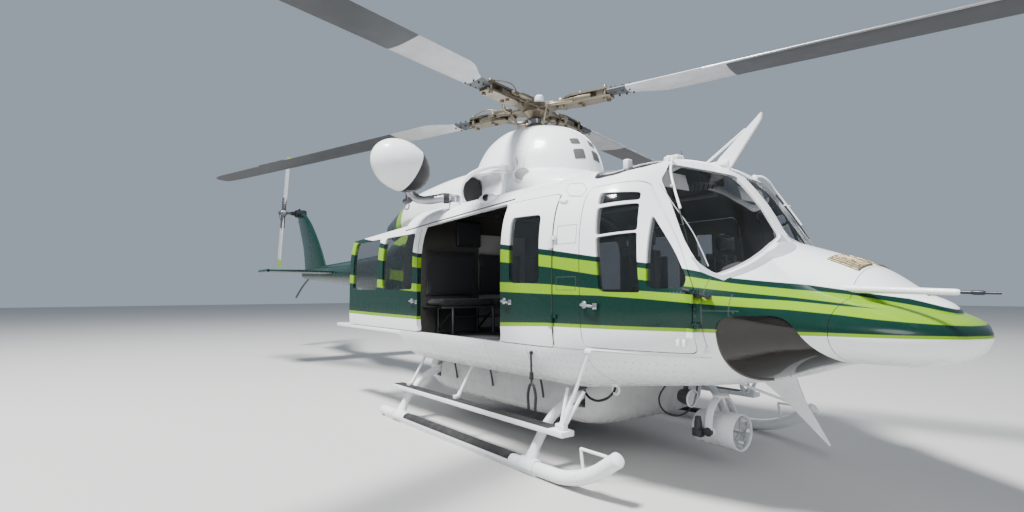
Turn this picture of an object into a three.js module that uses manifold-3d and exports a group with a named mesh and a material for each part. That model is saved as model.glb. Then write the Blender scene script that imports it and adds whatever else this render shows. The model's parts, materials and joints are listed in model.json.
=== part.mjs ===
// A twin-engine utility helicopter on skids, parked, with its right sliding door open:
// four-blade main rotor, tail rotor on the right of a swept fin, belly tank, rescue hoist and searchlight.
// Millimetres, +X towards the nose, +Y to the left side, +Z up. Drawn with the main rotor mast on the Z axis
// and the ground at Z = 0, then moved so that the origin is under the middle of the whole object.
import * as THREE from "three";
import { mergeVertices } from "three/addons/utils/BufferGeometryUtils.js";
import Module from "manifold-3d";

// Driving dimensions
const ROTOR_RADIUS = 7010;
const ROTOR_HEIGHT = 3460;
const MAST_TUBE_RADIUS = 62;
const ROTOR_AZIMUTH = THREE.MathUtils.degToRad(16.7);
const TAIL_ROTOR_RADIUS = 1295;
const TAIL_ROTOR_HUB = { x: -8760, y: -400, z: 3210 };
const TAIL_ROTOR_TILT = THREE.MathUtils.degToRad(12);
const HALF_TRACK = 1315;
const SKID_TUBE_RADIUS = 52;
const SKID_TAIL_X = -1120;
const CROSSTUBE_RADIUS = 38;
const CROSSTUBE_X = { front: 1490, aft: -730 };

const WALL = 40; // cabin wall and door thickness
const SKIN = 18; // tail boom, aft fuselage and cowling walls
const GLASS = 6;
const FACE_GAP = 0.3; // between pieces that touch
const DOOR_GAP = 5; // around each door
const PANE_INSET = 12; // how far a pane lies under the outer skin

const CABIN_AFT_X = -760;
const NOSE_BULKHEAD_X = 3450;
const SILL_Z = 950;
const FLOOR_Z = { low: 880, high: 915 };
const DECK_Z = 2340; // roof deck that carries the engines

const SLIDE_OPEN = 1450; // how far back the right sliding door stands
const DOOR_CORNER = 55;
const SEARCHLIGHT = { x: 2290, y: 0, z: 290, seatZ: 560 };
// Hinge barrels of each door kind: x and y of the axis, and the heights of the two barrels
const HINGES = {
  crew_door: { x: 2816, y: 1102, heights: [1090, 1300] },
  hinged_panel: { x: 1760, y: 1318, heights: [1120, 1700] },
};
const HINGE_BARREL = { radius: 12, length: 60 };
const RUNNER = { y: [1266, 1290], z: [960.3, 1000], x: [-600, 900], length: 60 };
const PANEL_SWING = 648; // the hinged panel's free edge stays within this radius of its hinge
const CARGO_FLOOR = { x: [-250, 1900], y: 1150, rise: 6 }; // the panel over the cabin floor
const HOIST = {
  x: 0,
  y: -1080,
  seatZ: 2280,
  bends: [[-60, -1190, 2322], [-150, -1330, 2302], [-230, -1430, 2335], [-262, -1480, 2430]],
  dome: [-265, -1560, 2650],
};
const LANDING_LAMP = { x: 2200, y: -245, z: 541, radius: 67, length: 110 };

// Fuselage sections, from the nose back. x: station, w: half width, zb: bottom, zm: height of the widest point,
// zt: top, nl and nu: how square the lower and the upper half are (2 is an ellipse)
const HULL = [
  { x: 3988, w: 110, zb: 1065, zm: 1115, zt: 1165, nl: 2.0, nu: 2.0 },
  { x: 3950, w: 270, zb: 1010, zm: 1115, zt: 1205, nl: 2.2, nu: 2.2 },
  { x: 3860, w: 420, zb: 960, zm: 1118, zt: 1245, nl: 2.3, nu: 2.3 },
  { x: 3720, w: 570, zb: 925, zm: 1127, zt: 1295, nl: 2.3, nu: 2.3 },
  { x: 3450, w: 750, zb: 925, zm: 1150, zt: 1370, nl: 2.3, nu: 2.2 },
  { x: 3240, w: 875, zb: 880, zm: 1180, zt: 1455, nl: 2.3, nu: 2.1 },
  { x: 2990, w: 1005, zb: 790, zm: 1240, zt: 1650, nl: 2.4, nu: 2.0 },
  { x: 2850, w: 1075, zb: 750, zm: 1280, zt: 1770, nl: 2.6, nu: 1.8 },
  { x: 2700, w: 1140, zb: 720, zm: 1290, zt: 2030, nl: 2.7, nu: 1.65 },
  { x: 2450, w: 1215, zb: 680, zm: 1260, zt: 2320, nl: 2.8, nu: 2.15 },
  { x: 2250, w: 1255, zb: 655, zm: 1250, zt: 2415, nl: 2.9, nu: 3.2 },
  { x: 1990, w: 1290, zb: 625, zm: 1250, zt: 2365, nl: 3.1, nu: 4.2 },
  { x: 1500, w: 1320, zb: 575, zm: 1250, zt: 2355, nl: 3.8, nu: 4.8 },
  { x: CABIN_AFT_X - 40, w: 1320, zb: 575, zm: 1250, zt: 2350, nl: 3.8, nu: 4.8 },
];
// The raised deck between the windshield and the radome, sections as above
const DECK = [
  { x: 3865, w: 130, zb: 1100, zm: 1180, zt: 1260, nl: 2.0, nu: 2.0 },
  { x: 3820, w: 220, zb: 1100, zm: 1180, zt: 1310, nl: 2.0, nu: 2.0 },
  { x: 3700, w: 310, zb: 1100, zm: 1200, zt: 1365, nl: 2.0, nu: 2.2 },
  { x: 3450, w: 450, zb: 1100, zm: 1250, zt: 1535, nl: 2.0, nu: 2.2 },
  { x: 3240, w: 520, zb: 1100, zm: 1300, zt: 1620, nl: 2.0, nu: 2.2 },
  { x: 2900, w: 700, zb: 1100, zm: 1350, zt: 1735, nl: 2.0, nu: 2.1 },
];
const AFT = [
  { x: CABIN_AFT_X - FACE_GAP, w: 1250, zb: 600, zm: 1250, zt: 2300, nl: 3.2, nu: 3.2 },
  { x: -1500, w: 1215, zb: 680, zm: 1290, zt: 2260, nl: 2.6, nu: 2.8 },
  { x: -2100, w: 960, zb: 860, zm: 1400, zt: 2200, nl: 2.4, nu: 2.5 },
  { x: -2640, w: 640, zb: 1120, zm: 1560, zt: 2130, nl: 2.2, nu: 2.3 },
  { x: -3000, w: 430, zb: 1290, zm: 1660, zt: 2070, nl: 2.1, nu: 2.1 },
];
const BOOM = [
  { x: -3000 - FACE_GAP, w: 425, zb: 1295, zm: 1660, zt: 2065, nl: 2.1, nu: 2.1 },
  { x: -4600, w: 315, zb: 1420, zm: 1690, zt: 1960, nl: 2.1, nu: 2.1 },
  { x: -7000, w: 190, zb: 1590, zm: 1740, zt: 1900, nl: 2.1, nu: 2.1 },
  { x: -8200, w: 125, zb: 1660, zm: 1770, zt: 1880, nl: 2.1, nu: 2.1 },
  { x: -8330, w: 60, zb: 1700, zm: 1780, zt: 1850, nl: 2.0, nu: 2.0 },
];
const COWL = [
  { x: 1330, w: 330, zb: 2100, zm: 2300, zt: 2425, nl: 2.0, nu: 2.4 },
  { x: 1080, w: 580, zb: 2100, zm: 2300, zt: 2540, nl: 2.0, nu: 2.8 },
  { x: 560, w: 730, zb: 2100, zm: 2300, zt: 2660, nl: 2.0, nu: 3.2 },
  { x: 0, w: 810, zb: 2100, zm: 2300, zt: 2715, nl: 2.0, nu: 3.6 },
  { x: -620, w: 830, zb: 2100, zm: 2330, zt: 2765, nl: 2.0, nu: 3.4 },
  { x: -1500, w: 790, zb: 2080, zm: 2320, zt: 2750, nl: 2.0, nu: 2.9 },
  { x: -2300, w: 600, zb: 2080, zm: 2320, zt: 2680, nl: 2.0, nu: 2.5 },
  { x: -3250, w: 330, zb: 2120, zm: 2320, zt: 2510, nl: 2.0, nu: 2.2 },
];
// Engine intakes: a scoop in the cowling's side with the dark mouth at its rear. y, z: the scoop's axis,
// ry, rz: its half sizes, front: how far it runs out ahead of x, mouth: the mouth's half sizes and its depth
const INTAKE = { x: 0, y: 840, z: 2480, ry: 190, rz: 185, front: 380, rear: -320 };
const INTAKE_MOUTH = { ry: 125, rz: 165, depth: 500 };
const EXHAUST = { from: { x: -3100, y: 150, z: 2360 }, to: { x: -3400, y: 190, z: 2400 }, radius: 100 };
// Mast fairing, from its foot up. z: height, a: half length, b: half width
const FAIRING = [
  { z: 2500, a: 900, b: 640 },
  { z: 2750, a: 850, b: 600 },
  { z: 2900, a: 785, b: 545 },
  { z: 3020, a: 690, b: 480 },
  { z: 3110, a: 560, b: 400 },
  { z: 3160, a: 430, b: 330 },
  { z: 3178, a: 330, b: 270 },
];
// Fin, from its root up. z: height, le and te: leading and trailing edge, t: half thickness
const FIN = [
  { z: 1790, le: -6850, te: -8330, t: 62 },
  { z: 2300, le: -7300, te: -8480, t: 58 },
  { z: 2900, le: -7980, te: -8850, t: 52 },
  { z: 3170, le: -8420, te: -9010, t: 45 },
];
// Main blade, from its root out. r: radius, chord, t: thickness,
// lead: how far the leading edge is ahead of the axis
const BLADE = [
  { r: 940 + FACE_GAP, chord: 190, t: 70, lead: 95 },
  { r: 1150, chord: 230, t: 62, lead: 100 },
  { r: 1500, chord: 400, t: 50, lead: 110 },
  { r: 6500, chord: 400, t: 44, lead: 110 },
  { r: ROTOR_RADIUS, chord: 220, t: 22, lead: 70 },
];
const TAIL_BLADE = [
  { r: 40, chord: 110, t: 60, lead: 55 },
  { r: 200, chord: 120, t: 56, lead: 60 },
  { r: 380, chord: 290, t: 36, lead: 95 },
  { r: TAIL_ROTOR_RADIUS, chord: 290, t: 24, lead: 95 },
];
const STABILISER = [
  { r: 120, chord: 760, t: 90, lead: 330 },
  { r: 1430, chord: 620, t: 60, lead: 290 },
];
const STABILISER_PLACE = { x: -6150, z: 1760 };

// Belly tank, sections as above
const TANK = [
  { x: 1630, w: 690, zb: 330, zm: 450, zt: 700, nl: 3.4, nu: 4 },
  { x: 1580, w: 770, zb: 265, zm: 445, zt: 700, nl: 3.4, nu: 4 },
  { x: 1430, w: 820, zb: 235, zm: 440, zt: 700, nl: 3.4, nu: 4 },
  { x: -500, w: 850, zb: 225, zm: 440, zt: 700, nl: 3.4, nu: 4 },
  { x: -1000, w: 780, zb: 290, zm: 460, zt: 700, nl: 2.8, nu: 4 },
];

// Outlines seen from the side: [x, z]
const CREW_DOOR = [[2035, 990], [2800, 990], [2815, 1370], [2345, 2160], [2010, 2125]];
const CREW_WINDOW = [[2190, 1375], [2492, 1370], [2352, 2072], [2118, 2080]];
const QUARTER_WINDOW = [[2535, 1390], [2750, 1402], [2746, 1460], [2445, 1910]];
const HINGED_PANEL = [[1115, 965], [1755, 965], [1755, 2120], [1115, 2120]];
const HINGED_WINDOW = [[1240, 1445], [1615, 1442], [1605, 1972], [1225, 1985]];
const SLIDING_DOOR = [[-755, 965], [1105, 965], [1105, 2120], [-755, 2120]];
const SLIDING_WINDOWS = [
  [[-640, 1400], [100, 1400], [100, 2000], [-640, 2000]],
  [[240, 1400], [980, 1400], [980, 2000], [240, 2000]],
];
const CHIN_WINDOW = [[2935, 1225], [3270, 1238], [3440, 930], [3440, 640], [2870, 640]];
// Windshield pane seen from the front: [y, z], right side
const WINDSHIELD = [[60, 1775], [60, 2270], [700, 2205], [790, 2110], [945, 1540], [915, 1482]];
// Roof window seen from above: [x, y], right side
const ROOF_WINDOW = [[1930, 300], [2230, 300], [2285, 790], [2070, 985], [1950, 1030]];

// The inside. low and high: the corners of each block, heights above the cabin floor; a crew seat's y from its middle
const CREW_SEAT = {
  y: 560,
  blocks: [
    { low: [2000, -240, 260], high: [2480, 240, 370] },
    { low: [1960, -240, 300], high: [2060, 240, 980] },
    { low: [2050, -150, 0], high: [2400, 150, 270] },
  ],
};
const BENCH = [
  { low: [-740, -1050, 280], high: [-300, 1050, 380] },
  { low: [-750, -1050, 280], high: [-660, 1050, 950] },
  { low: [-700, -900, 0], high: [-350, 900, 290] },
];
const PANEL = [
  { low: [2820, -620, 235], high: [2900, 620, 645] },
  { low: [2560, -160, 0], high: [2830, 160, 405] },
  { low: [2800, -160, 0], high: [2880, 160, 285] },
];

const PAINT = {
  white: 0xe9ebec,
  green: 0x123f33,
  grey: 0x6e7275,
  dark: 0x2a2c2e,
  steel: 0x9a9da0,
  glass: 0x39424a,
  seat: 0x33363a,
};

const wasm = await Module();
wasm.setup();

// A closed geometry as a solid that can be joined and cut
function solidOf(geometry) {
  const bare = geometry.clone();
  bare.deleteAttribute("normal");
  bare.deleteAttribute("uv");
  const merged = mergeVertices(bare, 1e-3);
  return new wasm.Manifold(
    new wasm.Mesh({
      numProp: 3,
      vertProperties: merged.getAttribute("position").array,
      triVerts: new Uint32Array(merged.index.array),
    }),
  );
}

// A solid as a geometry with flat faces
function geometryOf(solid) {
  const mesh = solid.getMesh();
  const position = new Float32Array(mesh.numVert * 3);
  for (let i = 0; i < mesh.numVert; i++) {
    position.set(mesh.vertProperties.subarray(i * mesh.numProp, i * mesh.numProp + 3), i * 3);
  }
  const geometry = new THREE.BufferGeometry();
  geometry.setAttribute("position", new THREE.BufferAttribute(position, 3));
  geometry.setIndex(new THREE.BufferAttribute(mesh.triVerts, 1));
  const flat = geometry.toNonIndexed();
  flat.computeVertexNormals();
  return flat;
}

function joined(...solids) {
  return solids.reduce((all, next) => all.add(next));
}

function without(solid, ...cutters) {
  return cutters.reduce((left, cutter) => left.subtract(cutter), solid);
}

// The largest of the pieces that cutting left
function largest(solid) {
  return solid.decompose().reduce((best, piece) => (piece.volume() > best.volume() ? piece : best));
}

function box(x0, x1, y0, y1, z0, z1) {
  const geometry = new THREE.BoxGeometry(x1 - x0, y1 - y0, z1 - z0);
  return solidOf(geometry.translate((x0 + x1) / 2, (y0 + y1) / 2, (z0 + z1) / 2));
}

// A round bar from one point to another, tapered where the radii differ
function rod(from, to, radius, endRadius = radius, sides = 12) {
  const a = new THREE.Vector3(...from);
  const b = new THREE.Vector3(...to);
  const geometry = new THREE.CylinderGeometry(endRadius, radius, a.distanceTo(b), sides);
  const along = b.clone().sub(a).normalize();
  const turn = new THREE.Quaternion().setFromUnitVectors(new THREE.Vector3(0, 1, 0), along);
  const middle = a.clone().add(b).multiplyScalar(0.5);
  return solidOf(geometry.applyQuaternion(turn).translate(middle.x, middle.y, middle.z));
}

// A round tube bent through points
function bentTube(points, radius, steps, sides = 10) {
  const path = new THREE.CatmullRomCurve3(points.map((p) => new THREE.Vector3(...p)), false, "centripetal");
  const round = new THREE.Shape().absarc(0, 0, radius, 0, 2 * Math.PI);
  return solidOf(new THREE.ExtrudeGeometry(round, { steps, curveSegments: sides / 2, extrudePath: path }));
}

// A convex outline moved outwards by a distance, or inwards where it is negative
function offsetOutline(points, distance) {
  const count = points.length;
  const area = points.reduce((sum, [x, y], i) => {
    const [nx, ny] = points[(i + 1) % count];
    return sum + x * ny - nx * y;
  }, 0);
  const outward = Math.sign(area) * distance;
  const edges = points.map(([x, y], i) => {
    const [nx, ny] = points[(i + 1) % count];
    const length = Math.hypot(nx - x, ny - y);
    const normal = [(ny - y) / length, (x - nx) / length];
    return { at: [x + normal[0] * outward, y + normal[1] * outward], way: [nx - x, ny - y] };
  });
  return edges.map((edge, i) => {
    const before = edges[(i + count - 1) % count];
    const cross = before.way[0] * edge.way[1] - before.way[1] * edge.way[0];
    const dx = edge.at[0] - before.at[0];
    const dy = edge.at[1] - before.at[1];
    const t = (dx * edge.way[1] - dy * edge.way[0]) / cross;
    return [before.at[0] + before.way[0] * t, before.at[1] + before.way[1] * t];
  });
}

// An outline with its corners rounded
function roundedShape(points, radius) {
  const shape = new THREE.Shape();
  const count = points.length;
  points.forEach((point, i) => {
    const here = new THREE.Vector2(...point);
    const before = new THREE.Vector2(...points[(i + count - 1) % count]);
    const after = new THREE.Vector2(...points[(i + 1) % count]);
    const reach = Math.min(radius, before.distanceTo(here) / 2.2, after.distanceTo(here) / 2.2);
    const start = here.clone().add(before.sub(here).setLength(reach));
    const end = here.clone().add(after.sub(here).setLength(reach));
    if (i === 0) shape.moveTo(start.x, start.y);
    else shape.lineTo(start.x, start.y);
    shape.quadraticCurveTo(here.x, here.y, end.x, end.y);
  });
  return shape;
}

// How an outline drawn flat is turned so that it is pulled out along each axis
const AXES = {
  x: new THREE.Matrix4().set(0, 0, 1, 0, 1, 0, 0, 0, 0, 1, 0, 0, 0, 0, 0, 1),
  y: new THREE.Matrix4().set(1, 0, 0, 0, 0, 0, -1, 0, 0, 1, 0, 0, 0, 0, 0, 1),
  z: new THREE.Matrix4(),
};

// An outline extruded along an axis, from one distance to another
function prism(outline, axis, from, to, corner = 0, curveSegments = 3) {
  const sharp = () => new THREE.Shape(outline.map((p) => new THREE.Vector2(...p)));
  const shape = corner > 0 ? roundedShape(outline, corner) : sharp();
  const geometry = new THREE.ExtrudeGeometry(shape, { depth: to - from, bevelEnabled: false, curveSegments });
  geometry.translate(0, 0, axis === "y" ? -to : from);
  return solidOf(geometry.applyMatrix4(AXES[axis]));
}

// A side outline cut through one side of the cabin, from a distance off the middle. side: -1 right, 1 left
function throughSide(outline, side, corner, from = 400) {
  return side < 0 ? prism(outline, "y", -1600, -from, corner) : prism(outline, "y", from, 1600, corner);
}

// The sliding door's outline run out to the rear, where the doorway has no post
function openToRear(outline) {
  const rear = Math.min(...outline.map(([x]) => x));
  return outline.map(([x, z]) => [x === rear ? x - 200 : x, z]);
}

// A closed skin over rings of points, each ring in the same order, with flat ends
function skinOver(rings) {
  const around = rings[0].length;
  const position = rings.flat(2);
  const index = [];
  for (let i = 0; i + 1 < rings.length; i++) {
    for (let j = 0; j < around; j++) {
      const a = i * around + j;
      const b = i * around + ((j + 1) % around);
      index.push(a, b, a + around, b, b + around, a + around);
    }
  }
  [0, rings.length - 1].forEach((i) => {
    const ring = rings[i];
    const centre = position.length / 3;
    position.push(...[0, 1, 2].map((k) => ring.reduce((sum, p) => sum + p[k], 0) / around));
    for (let j = 0; j < around; j++) {
      const a = i * around + j;
      const b = i * around + ((j + 1) % around);
      index.push(...(i === 0 ? [centre, b, a] : [centre, a, b]));
    }
  });
  const geometry = new THREE.BufferGeometry();
  geometry.setAttribute("position", new THREE.Float32BufferAttribute(position, 3));
  geometry.setIndex(index);
  return solidOf(geometry);
}

// A ring of a section table: a superellipse with its own lower and upper half, inset by a wall
function sectionRing(row, inset, around) {
  const power = (value, exponent) => Math.sign(value) * Math.abs(value) ** (2 / exponent);
  return Array.from({ length: around }, (_, k) => {
    const angle = (2 * Math.PI * k) / around;
    const upper = Math.sin(angle) >= 0;
    const n = upper ? row.nu : row.nl;
    const height = (upper ? row.zt - row.zm : row.zm - row.zb) - inset;
    return [row.x, power(Math.cos(angle), n) * (row.w - inset), row.zm + power(Math.sin(angle), n) * height];
  });
}

// A body through a section table, inset by a wall; the ends may be trimmed
function lengthwise(table, inset = 0, around = 32) {
  const rings = table.map((row) => sectionRing(row, inset, around));
  return skinOver(table[0].x > table[1].x ? rings.reverse() : rings);
}

// A blade-like body along +X from a table of radius, chord, thickness and lead, its leading edge towards -Y
function bladeAlongX(table, around = 12) {
  return skinOver(
    table.map((row) =>
      Array.from({ length: around }, (_, k) => {
        const angle = (2 * Math.PI * k) / around;
        const along = (1 - Math.cos(angle)) / 2;
        const nose = Math.sqrt(along) * (1 - along) * 2.6;
        return [row.r, -row.lead + along * row.chord, (-Math.sign(Math.sin(angle)) * nose * row.t) / 2];
      }),
    ),
  );
}

const group = new THREE.Group();

function addPart(name, solid, colour, place = null, finish = {}) {
  const { roughness = 0.45, metalness = 0.1 } = finish;
  const material = new THREE.MeshStandardMaterial({ color: colour, roughness, metalness });
  const mesh = new THREE.Mesh(geometryOf(solid), material);
  mesh.name = name;
  if (place) mesh.applyMatrix4(place);
  group.add(mesh);
  return mesh;
}

const SIDES = { right: -1, left: 1 };

const hullOuter = joined(lengthwise(HULL, 0, 40), lengthwise(DECK, 0, 24));
const hullInner = lengthwise(HULL, WALL, 40).intersect(box(-900, NOSE_BULKHEAD_X - 20, -1500, 1500, 0, 3000));
const cabinShell = without(hullOuter, hullInner).intersect(box(CABIN_AFT_X, 5000, -1500, 1500, 0, 3000));
const paneLayer = without(lengthwise(HULL, PANE_INSET, 40), lengthwise(HULL, PANE_INSET + GLASS, 40));
const aftOuter = lengthwise(AFT);
const boomOuter = lengthwise(BOOM, 0, 24);
const cowlOuter = lengthwise(COWL);

// The cabin shell with every door and window opening cut through it
function cutCabin() {
  const cutters = [];
  Object.values(SIDES).forEach((side) => {
    [CREW_DOOR, HINGED_PANEL, openToRear(SLIDING_DOOR)].forEach((outline) => {
      cutters.push(throughSide(offsetOutline(outline, DOOR_GAP), side, DOOR_CORNER));
    });
    cutters.push(throughSide(CHIN_WINDOW, side, 90, 280));
    cutters.push(prism(WINDSHIELD.map(([y, z]) => [y * side, z]), "x", 2300, 3150, 60));
    cutters.push(prism(ROOF_WINDOW.map(([x, y]) => [x, y * side]), "z", 2100, 2500, 80));
  });
  return without(cabinShell, ...cutters);
}

// The wire cutter over the windshield: a forward-raked blade with its brace
function upperWireCutter() {
  const blade = prism([[2280, 2380], [2400, 2330], [2690, 2690], [2700, 2745], [2330, 2450]], "y", -12, 12);
  const brace = rod([2150, 0, 2365], [2560, 0, 2640], 10, 10, 6);
  return joined(blade, brace);
}

// The wire cutter under the chin: a blade raked forward and down
function lowerWireCutter() {
  const blade = prism([[2600, 745], [2880, 800], [2960, 590], [3115, 325], [2830, 580]], "y", -12, 12);
  const brace = rod([2350, 0, 690], [2890, 0, 570], 10, 10, 6);
  return joined(blade, brace);
}

// The landing lamp under the chin, on its bracket
function landingLamp() {
  const { x, y, z, radius, length } = LANDING_LAMP;
  const can = rod([x - length, y, z + 8], [x, y, z], radius * 0.8, radius, 16);
  return joined(can, box(x - length * 0.7, x - length * 0.4, y - 14, y + 14, z, 700));
}

function addCabin() {
  const cut = cutCabin();
  const belowSill = box(-1000, 5000, -1500, 1500, 0, SILL_Z);
  const aboveSill = box(-1000, NOSE_BULKHEAD_X, -1500, 1500, SILL_Z + FACE_GAP, 3000);
  const ahead = box(NOSE_BULKHEAD_X + FACE_GAP, 5000, -1500, 1500, 0, 3000);
  const behind = box(-2000, NOSE_BULKHEAD_X, -1500, 1500, 0, 3000);
  const cutter = without(lowerWireCutter(), hullInner);
  const slab = box(CABIN_AFT_X, 2890, -1500, 1500, FLOOR_Z.low, FLOOR_Z.high);
  const floor = slab.intersect(lengthwise(HULL, WALL - 2, 40));
  const cargo = CARGO_FLOOR;
  const panel = box(cargo.x[0], cargo.x[1], -cargo.y, cargo.y, FLOOR_Z.high - 1, FLOOR_Z.high + cargo.rise);
  const lamp = SEARCHLIGHT;
  const boss = rod([lamp.x, lamp.y, 680], [lamp.x, lamp.y, lamp.seatZ], 70, 60, 16);
  const fittings = without(joined(boss, landingLamp()), hullInner);
  const lower = joined(cut.intersect(belowSill).intersect(behind), floor, panel, cutter, fittings);
  addPart("lower_hull", largest(lower), PAINT.white);
  const knuckles = Object.values(SIDES).flatMap((side) =>
    Object.values(HINGES).flatMap((hinge) => hingeBarrels(hinge, side, true)),
  );
  const pedestal = rod([HOIST.x, HOIST.y, 2100], [HOIST.x, HOIST.y, HOIST.seatZ], 62, 58, 16);
  const onRoof = without(joined(upperWireCutter(), pedestal), hullInner);
  const roof = joined(cut.intersect(aboveSill), onRoof, ...knuckles);
  addPart("cabin_frame", largest(roof), PAINT.white);
  const pitot = joined(
    rod([3400, -400, 1392], [3960, -400, 1372], 24, 17, 10),
    rod([3950, -400, 1372.4], [4145, -400, 1366], 9, 7, 8),
  );
  addPart("nose_cone", joined(hullOuter, pitot).intersect(ahead), PAINT.white);
}

function addGlass() {
  Object.entries(SIDES).forEach(([name, side]) => {
    const screen = offsetOutline(WINDSHIELD, -0.6).map(([y, z]) => [y * side, z]);
    const front = paneLayer.intersect(prism(screen, "x", 2301, 3149, 60));
    addPart(`windshield_${name}`, largest(front), PAINT.glass);
    const chin = throughSide(offsetOutline(CHIN_WINDOW, -0.6), side, 90, 280.6);
    addPart(`chin_window_${name}`, largest(paneLayer.intersect(chin)), PAINT.glass);
    const roof = offsetOutline(ROOF_WINDOW, -0.6).map(([x, y]) => [x, y * side]);
    addPart(`roof_window_${name}`, largest(paneLayer.intersect(prism(roof, "z", 2101, 2499, 80))), PAINT.glass);
  });
}

// A door panel cut from the cabin shell, and the panes in its windows joined by a thin inner rim
function addDoor(kind, sideName, outline, windows, shift = 0) {
  const side = SIDES[sideName];
  const panel = without(hullOuter, hullInner).intersect(throughSide(outline, side, DOOR_CORNER));
  const skin = doorEdge(kind, side, panel);
  const holes = windows.map((window) => throughSide(window, side, 50));
  const move = new THREE.Matrix4().makeTranslation(shift, 0, 0);
  const fittings = kind in HINGES ? hingeBarrels(HINGES[kind], side) : runners(side);
  addPart(`${kind}_${sideName}`, largest(joined(without(skin, ...holes), ...fittings)), PAINT.white, move);
  windows.forEach((window, i) => {
    const pane = paneLayer.intersect(throughSide(offsetOutline(window, -0.6), side, 50));
    const suffix = windows.length > 1 ? `_${i + 1}` : "";
    addPart(`${kind}_glass_${sideName}${suffix}`, largest(pane), PAINT.glass, move);
  });
}

// Trims a door's rear edge: the sliding door's is square, the hinged panel's clears its neighbour as it swings
function doorEdge(kind, side, panel) {
  if (kind === "sliding_door") {
    return panel.intersect(box(SLIDING_DOOR[0][0], 2000, -1500, 1500, 0, 3000));
  }
  if (kind === "hinged_panel") {
    const { x, y } = HINGES.hinged_panel;
    return panel.intersect(rod([x, side * y, 0], [x, side * y, 3000], PANEL_SWING, PANEL_SWING, 120));
  }
  return panel;
}

// A box whose near and far y are mirrored to one side
function sideBox(x0, x1, y0, y1, side, z0, z1) {
  return side > 0 ? box(x0, x1, y0, y1, z0, z1) : box(x0, x1, -y1, -y0, z0, z1);
}

// The barrels of a door's hinge, each on a leaf let into the door, or into the frame ahead of it, right above
function hingeBarrels({ x, y, heights }, side, onFrame = false) {
  return heights.map((z) => {
    const low = onFrame ? z + HINGE_BARREL.length + FACE_GAP : z;
    const high = onFrame ? low + HINGE_BARREL.length / 2 : z + HINGE_BARREL.length;
    const barrel = rod([x, side * y, low], [x, side * y, high], HINGE_BARREL.radius);
    const [near, far, end] = onFrame ? [x + 4, x + 10, x + 34] : [x - 60, x - 16, x - 4];
    const leaf = sideBox(Math.min(near, end), Math.max(near, end), y - 8, y + 6, side, low, high);
    const [rootLow, rootHigh] = onFrame ? [far, end] : [near, far];
    const root = sideBox(rootLow, rootHigh, y - 45, y, side, low, high);
    return joined(barrel, leaf, root);
  });
}

// The feet on which a sliding door runs
function runners(side) {
  const { x, y, z, length } = RUNNER;
  return x.map((at) => sideBox(at, at + length, y[0], y[1], side, z[0], z[1]));
}

function addDoors() {
  Object.keys(SIDES).forEach((sideName) => {
    addDoor("crew_door", sideName, CREW_DOOR, [CREW_WINDOW, QUARTER_WINDOW]);
    addDoor("hinged_panel", sideName, HINGED_PANEL, [HINGED_WINDOW]);
    const shift = sideName === "right" ? -SLIDE_OPEN : 0;
    addDoor("sliding_door", sideName, openToRear(SLIDING_DOOR), SLIDING_WINDOWS, shift);
  });
}

function addAftFuselage() {
  const inner = lengthwise(AFT, SKIN).intersect(box(-3100, CABIN_AFT_X - WALL, -1500, 1500, 0, 3000));
  addPart("aft_fuselage", largest(without(aftOuter, inner)), PAINT.white);
  Object.entries(SIDES).forEach(([name, side]) => {
    const rail = sideBox(-2680, CABIN_AFT_X - FACE_GAP, 1150, 1305, side, 920, RUNNER.z[0] - FACE_GAP);
    addPart(`door_rail_${name}`, largest(without(rail, lengthwise(AFT, -FACE_GAP))), PAINT.white);
  });
  const boomInner = lengthwise(BOOM.slice(0, 4), SKIN, 24);
  const tailSkid = bentTube([[-8000, 0, 1690], [-8500, 0, 1500], [-9000, 0, 1240]], 22, 8, 8);
  addPart("tail_boom", joined(without(boomOuter, boomInner), without(tailSkid, boomInner)), PAINT.green);
}

function addTail() {
  const fin = skinOver(
    FIN.map(({ z, le, te, t }) =>
      Array.from({ length: 14 }, (_, k) => {
        const angle = (2 * Math.PI * k) / 14;
        return [(le + te) / 2 + (Math.cos(angle) * (le - te)) / 2, Math.sin(angle) * t, z];
      }),
    ),
  );
  const boomGrown = lengthwise(BOOM, -FACE_GAP, 24);
  const { x, z } = TAIL_ROTOR_HUB;
  const pocket = rod([x, 110, z], [x, -140, z], 100 + FACE_GAP, 90 + FACE_GAP, 16);
  addPart("tail_fin", largest(without(fin, boomGrown, pocket)), PAINT.green);
  const gearbox = joined(
    rod([x, 110, z], [x, -140, z], 100, 90, 16),
    rod([x, -130, z], [x, -230, z], 50, 40, 12),
  );
  addPart("tail_gearbox", gearbox, PAINT.dark);
  Object.entries(SIDES).forEach(([name, side]) => {
    const turn = new THREE.Matrix4().makeRotationZ((side * Math.PI) / 2);
    const flip = new THREE.Matrix4().makeScale(1, side, 1);
    const root = new THREE.Matrix4().makeTranslation(STABILISER_PLACE.x, 0, STABILISER_PLACE.z);
    const half = root.multiply(turn).multiply(flip);
    const wing = solidOf(placed(geometryOf(bladeAlongX(STABILISER)), half));
    addPart(`stabiliser_${name}`, largest(without(wing, boomGrown)), PAINT.green);
  });
}

// A copy of a geometry under a matrix, with its faces turned back where the matrix mirrors
function placed(geometry, matrix) {
  const moved = geometry.clone().applyMatrix4(matrix);
  if (matrix.determinant() < 0) {
    const p = moved.getAttribute("position").array;
    for (let i = 0; i < p.length; i += 9) {
      for (let k = 0; k < 3; k++) [p[i + 3 + k], p[i + 6 + k]] = [p[i + 6 + k], p[i + 3 + k]];
    }
  }
  return moved;
}

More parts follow.
